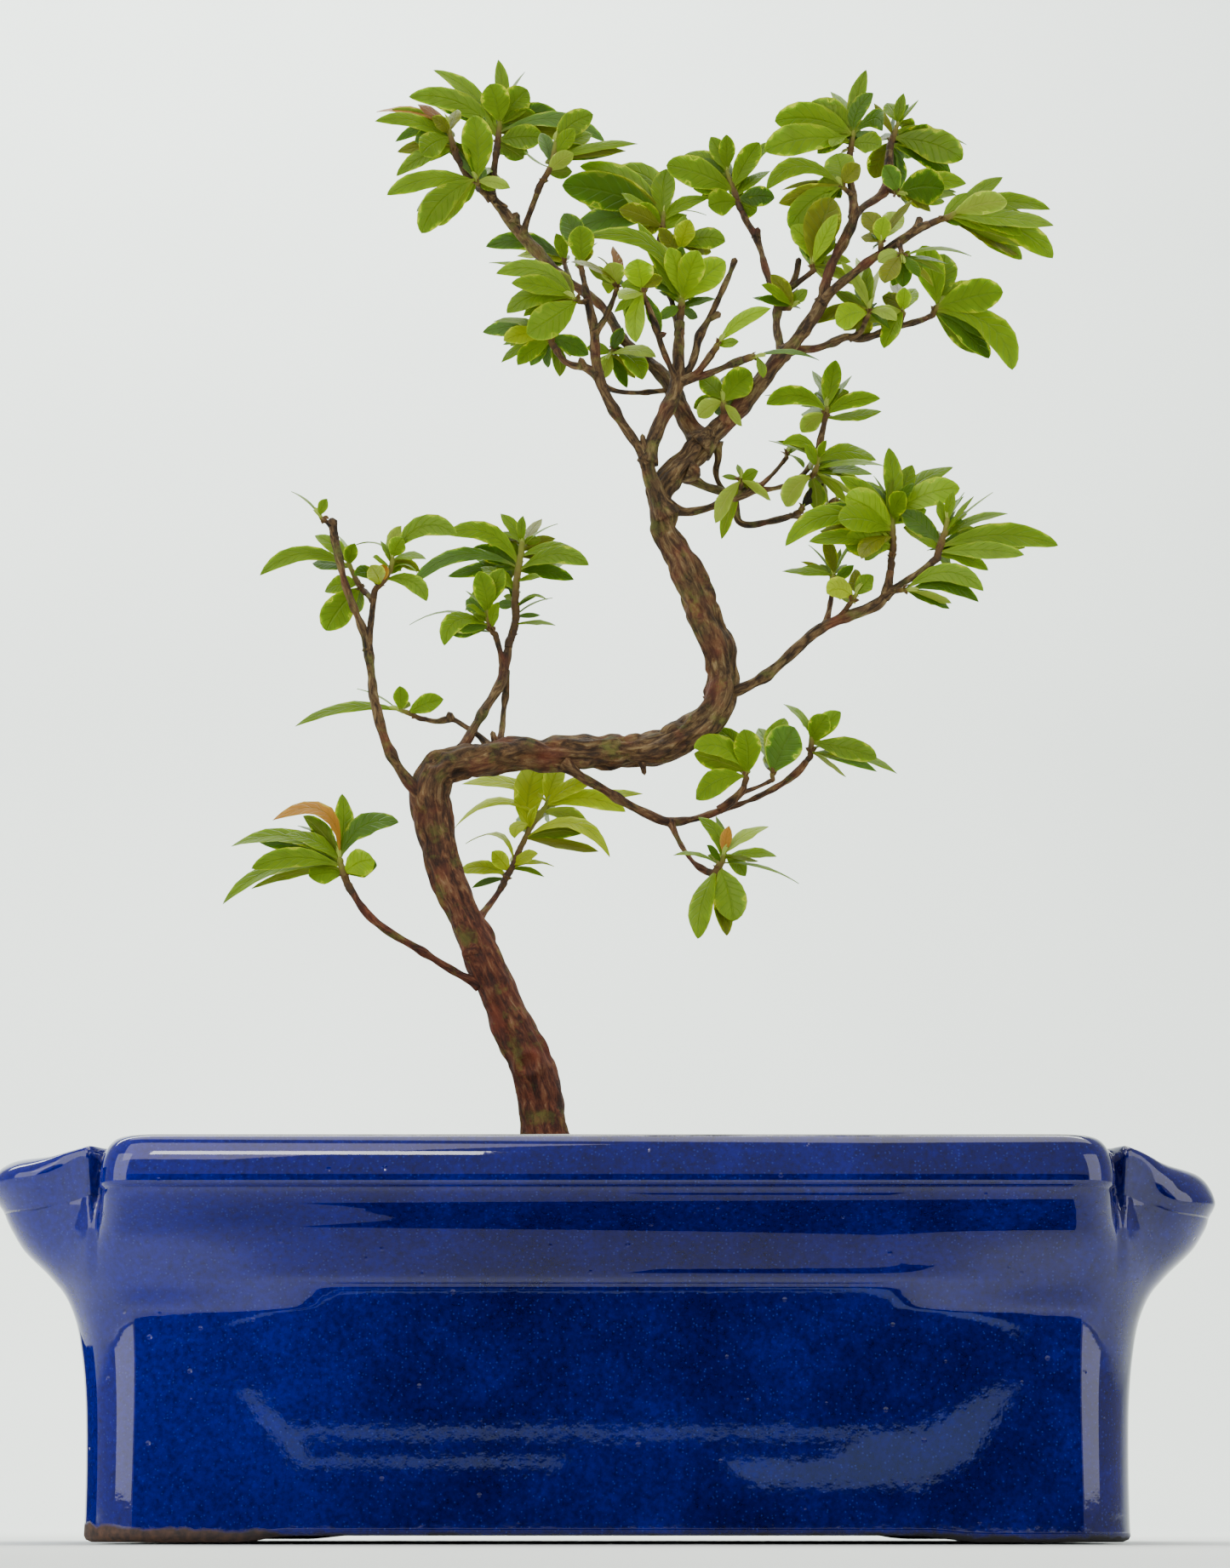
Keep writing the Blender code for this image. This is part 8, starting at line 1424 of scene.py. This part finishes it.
def build_shoots():
    """A stem tube, its blades, a whorl of bud scales at its foot and one bud at its tip, in one mesh."""
    leaf = leaf_material()
    stem = stem_material()
    width = len(LEAF_RING)
    per_leaf = len(LEAF_SHARES) * width
    leaf_quads = grid_faces(len(LEAF_SHARES), width)
    for name, limb_name, letters, table, leaves in SHOOTS:
        path, radii, inner = stem_of(limb_name, table)
        taken = []
        for row in leaves:
            taken.append(leaf_root(path, row[0], row[1], taken))
        roots = np.array(taken)
        values = np.array(leaves, dtype=float)
        tip_table = np.column_stack((values[:, 2:4], roots[:, 1] + values[:, 4], values[:, 6]))
        tips = carried(tip_table)[0]
        more_roots, more_tips, more_values = filling(roots, tips, values)
        letters += "".join(shoot_draws.choice(FILL_TONES, len(more_roots)))
        roots = np.vstack((roots, more_roots))
        tips = np.vstack((tips, more_tips))
        values = np.vstack((values, more_values))
        # The tones include painted light (b) and painted shade (d, common among the filling leaves).
        tones = np.array([linear(TONE_COLOURS[letter])[:3] for letter in letters])
        forward = unit(path[-1] - path[-2])
        aside = unit(np.cross(forward, (0.3, 0.8, 0.5)))
        up = np.cross(forward, aside)
        scales = 5 + 2 * (len(leaves) > 5)
        turn = np.linspace(0, 2 * math.pi, scales, endpoint=False) + shoot_draws.uniform(0, 6)
        out = np.cos(turn)[:, None] * aside + np.sin(turn)[:, None] * up
        foot = path[1] + (path[2] - path[1]) * shoot_draws.uniform(0.2, 0.9, scales)[:, None]
        lengths = shoot_draws.uniform(1.1, 1.9, scales)[:, None]
        scale_tips = foot + (out * 0.8 + unit(path[2] - path[1]) * 0.9) * lengths
        bud_out = np.cos(BUD_TURNS)[:, None] * aside + np.sin(BUD_TURNS)[:, None] * up
        bud_roots = path[-1] - forward * 0.5 + bud_out * 0.25
        bud_tips = path[-1] + forward * shoot_draws.uniform(1.6, 2.6, BUD_LEAVES)[:, None] + bud_out * 0.3
        tint = np.vstack((tones * shoot_draws.uniform(0.88, 1.12, (len(tones), 1)),
                          np.tile(linear("#5B3E22")[:3], (scales, 1)),
                          np.tile(linear("#9CAE45")[:3], (BUD_LEAVES, 1))))
        count = len(roots) + scales + BUD_LEAVES
        points, places = blades(
            np.vstack((roots, foot, bud_roots)), np.vstack((tips, scale_tips, bud_tips)),
            np.concatenate((values[:, 7], np.full(scales, 0.12), np.full(BUD_LEAVES, 0.1))),
            np.concatenate((values[:, 5], shoot_draws.uniform(0.2, 0.9, scales), np.full(BUD_LEAVES, 0.6))),
            np.concatenate((values[:, 6], np.full(scales, 1.0), np.full(BUD_LEAVES, 0.8))))
        whole = np.vstack((inner, path))
        curve, even_radii, run = even_curve(whole, np.concatenate(([radii[0]], radii)), 0.35)
        closing = np.sqrt(np.clip((run[-1] - run) / 0.5, 0.02, 1))
        rings, grain = limb_rings(curve, even_radii * closing, run, STEM_SIDES, stem_swell)
        rows = len(curve)
        age = np.repeat(run / run[-1], STEM_SIDES)
        stem_places = np.stack((0 * age, age, 0 * age), -1)
        leaf_points = points.reshape(-1, 3)
        all_quads = (leaf_quads[None] + (np.arange(count) * per_leaf)[:, None, None]).reshape(-1, 4)
        first = len(leaf_points)
        caps = []
        for start in range(0, first, per_leaf):
            caps += [start + np.arange(width)[::-1], start + per_leaf - width + np.arange(width)]
        ring = np.arange(STEM_SIDES)
        caps += [first + ring[::-1], first + (rows - 1) * STEM_SIDES + ring]
        stem_quads = grid_faces(rows, STEM_SIDES) + first
        picks = [0] * len(all_quads) + [1] * len(stem_quads) + [0] * (2 * count) + [1, 1]
        piece = new_piece("fresh_" + name, np.vstack((leaf_points, rings.reshape(-1, 3))),
                          np.vstack((all_quads, stem_quads)), caps,
                          {"blade_place": np.vstack((places.reshape(-1, 3), stem_places)),
                           "leaf_tint": np.vstack((np.repeat(tint, per_leaf, 0), 0 * stem_places))},
                          [leaf, stem], picks)
        piece.data.set_sharp_from_angle(angle=math.radians(70))
        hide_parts(name)


build_shoots()

# The floor and the wall behind are one pale matt sweep, so no line shows where they meet.
SWEEP_RADIUS = 0.7
SWEEP_BACK = 1.1


def build_sweep():
    """A floor strip that turns up through a quarter circle into a wall, carried along x."""
    turn = np.linspace(0, math.pi / 2, 24)
    y = np.concatenate(([-3.0, -2.2, 0.2], SWEEP_BACK + SWEEP_RADIUS * np.sin(turn),
                        [SWEEP_BACK + SWEEP_RADIUS]))
    z = np.concatenate(([0, 0, 0], SWEEP_RADIUS * (1 - np.cos(turn)), [2.6])) - 0.0004
    x = np.array((-3.0, -2.4, 2.4, 3.0))
    shape = (len(y), len(x))
    points = np.stack([np.broadcast_to(part, shape) for part in (x[None], y[:, None], z[:, None])], -1) / MM
    paper = new_material("pale_matt_paper", {"Roughness": 0.9, "Specular IOR Level": 0.2})
    place = add(paper, "TexCoord").outputs["Object"]
    fibre = add(paper, "TexNoise", {"Vector": place, "Scale": 1 / 0.4, "Detail": 2.0})
    colour = add(paper, "ValToRGB", {0: fibre}, stops=((0.3, "#DDE0DC"), (0.7, "#E3E6E2")))
    join(paper, colour, "Base Color")
    new_piece("sweep", points.reshape(-1, 3), grid_faces(len(y), len(x), False, False),
                       materials=[paper])


build_sweep()


# Soft daylight: a wide panel above, a weaker one in front at each side, one that lights the backdrop, and
# an even pale sky. The window lights only show as highlights in the glaze.
def soft_panel(name, place, aim, width, depth, power, colour, only_gloss=False):
    """A rectangular soft light at a place, facing a point and never seen; some only show as highlights."""
    light = bpy.data.lights.new(name, "AREA")
    light.shape = "RECTANGLE"
    light.size = width
    light.size_y = depth
    light.energy = power
    light.color = linear(colour)[:3]
    lamp = bpy.data.objects.new(name, light)
    lamp.location = place
    lamp.visible_diffuse = not only_gloss
    lamp.visible_transmission = not only_gloss
    lamp.visible_camera = False
    towards = np.array(aim) - np.array(place)
    lamp.rotation_euler = (math.atan2(math.hypot(towards[0], towards[1]), -towards[2]), 0,
                           math.atan2(-towards[0], towards[1]))
    bpy.context.scene.collection.objects.link(lamp)


soft_panel("top_panel", (0.1, 0.1, 1.25), (0, 0, 0.2), 1.3, 1.1, 15, "#FFFDF6")
soft_panel("left_panel", (-0.85, -0.8, 0.4), (-0.1, -0.07, 0.1), 0.75, 0.8, 6.5, "#FFFFFF")
soft_panel("right_panel", (0.9, -0.8, 0.4), (0.1, -0.07, 0.1), 0.75, 0.8, 5.5, "#FFFFFF")
soft_panel("backdrop_panel", (-0.4, 0.75, 1.7), (-0.25, 1.75, 0.6), 2.4, 0.7, 88, "#F8FFFC")
soft_panel("window_pane", (-0.17, -0.95, 0.7), (-0.06, -0.09, 0.07), 0.2, 0.11, 1.6, "#FFFFFF", True)
soft_panel("window_haze", (-0.48, -0.9, 0.95), (-0.06, -0.09, 0.07), 0.8, 0.8, 7, "#F6EFFF", True)
soft_panel("window_gap", (0.01, -1.0, 0.045), (0.01, 0, 0.045), 0.5, 0.09, 0.12, "#7CB4FF", True)
sky = bpy.data.worlds.new("pale_sky")
sky.use_nodes = True
sky.node_tree.nodes["Background"].inputs["Color"].default_value = linear("#F2F5F3")
sky.node_tree.nodes["Background"].inputs["Strength"].default_value = 0.72
bpy.context.scene.world = sky


def dark_card(name, places):
    """A black card, one flat face with these corners, that only shows in the glaze, as a studio flag does."""
    black = new_material("black_card", {"Base Color": linear("#050505"), "Roughness": 0.9})
    card = new_piece(name, np.array(places) / MM, np.zeros((0, 4), int), [np.arange(len(places))],
                     materials=[black])
    card.visible_camera = False
    card.visible_diffuse = False
    card.visible_shadow = False


# Between the upright cards thin pale gaps are left, bent up at their ends.
CARD_Y = -0.95
dark_card("card_high", [(x, CARD_Y, z) for x, z in (
    (-0.5, 0.0632), (-0.174, 0.0632), (-0.157, 0.0497), (0.148, 0.0485), (0.187, 0.0632), (0.55, 0.0632),
    (0.55, 0.2), (-0.5, 0.2))])
dark_card("card_middle", [(x, CARD_Y + 0.001, z) for x, z in (
    (-0.15, 0.0447), (-0.146, 0.0355), (0.1, 0.035), (0.122, 0.0447))])
dark_card("card_low", [(x, CARD_Y, z) for x, z in (
    (-0.5, 0.0), (0.55, 0.0), (0.55, 0.0632), (0.2, 0.0632), (0.195, 0.0604), (0.175, 0.0341),
    (0.149, 0.0211), (0.073, 0.0211), (0.06, 0.027), (0.052, 0.036), (-0.02, 0.036), (-0.03, 0.0305),
    (-0.1525, 0.0315), (-0.183, 0.0627), (-0.5, 0.0632))])
dark_card("card_left", [(-0.75, y, z) for y, z in ((0.12, 0.0), (0.9, 0.0), (0.9, 0.25), (0.12, 0.25))])
dark_card("card_near", [(x, y, 0.0006) for x, y in (
    (-0.066, -0.088), (0.1, -0.096), (0.1, -0.079), (-0.04, -0.079))])
dark_card("card_short", [(x, y, 0.0006) for x, y in (
    (0.003, -0.111), (0.064, -0.112), (0.06, -0.105), (0.01, -0.106))])

# The camera stands low, level with the foot of the pot, and looks up a little.
LENS_PIXELS = 3400.0
FRAME_HEIGHT = 1842.0
SENSOR_HEIGHT = 36.0
TILT_UP = 14.38
camera = bpy.data.cameras.new("camera")
camera.sensor_fit = "VERTICAL"
camera.sensor_height = SENSOR_HEIGHT
camera.lens = LENS_PIXELS / FRAME_HEIGHT * SENSOR_HEIGHT
camera.clip_start = 0.01
camera_stand = bpy.data.objects.new("camera", camera)
camera_stand.location = EYE * MM
camera_stand.rotation_euler = (math.radians(90 + TILT_UP), 0, 0)
bpy.context.scene.collection.objects.link(camera_stand)
bpy.context.scene.camera = camera_stand
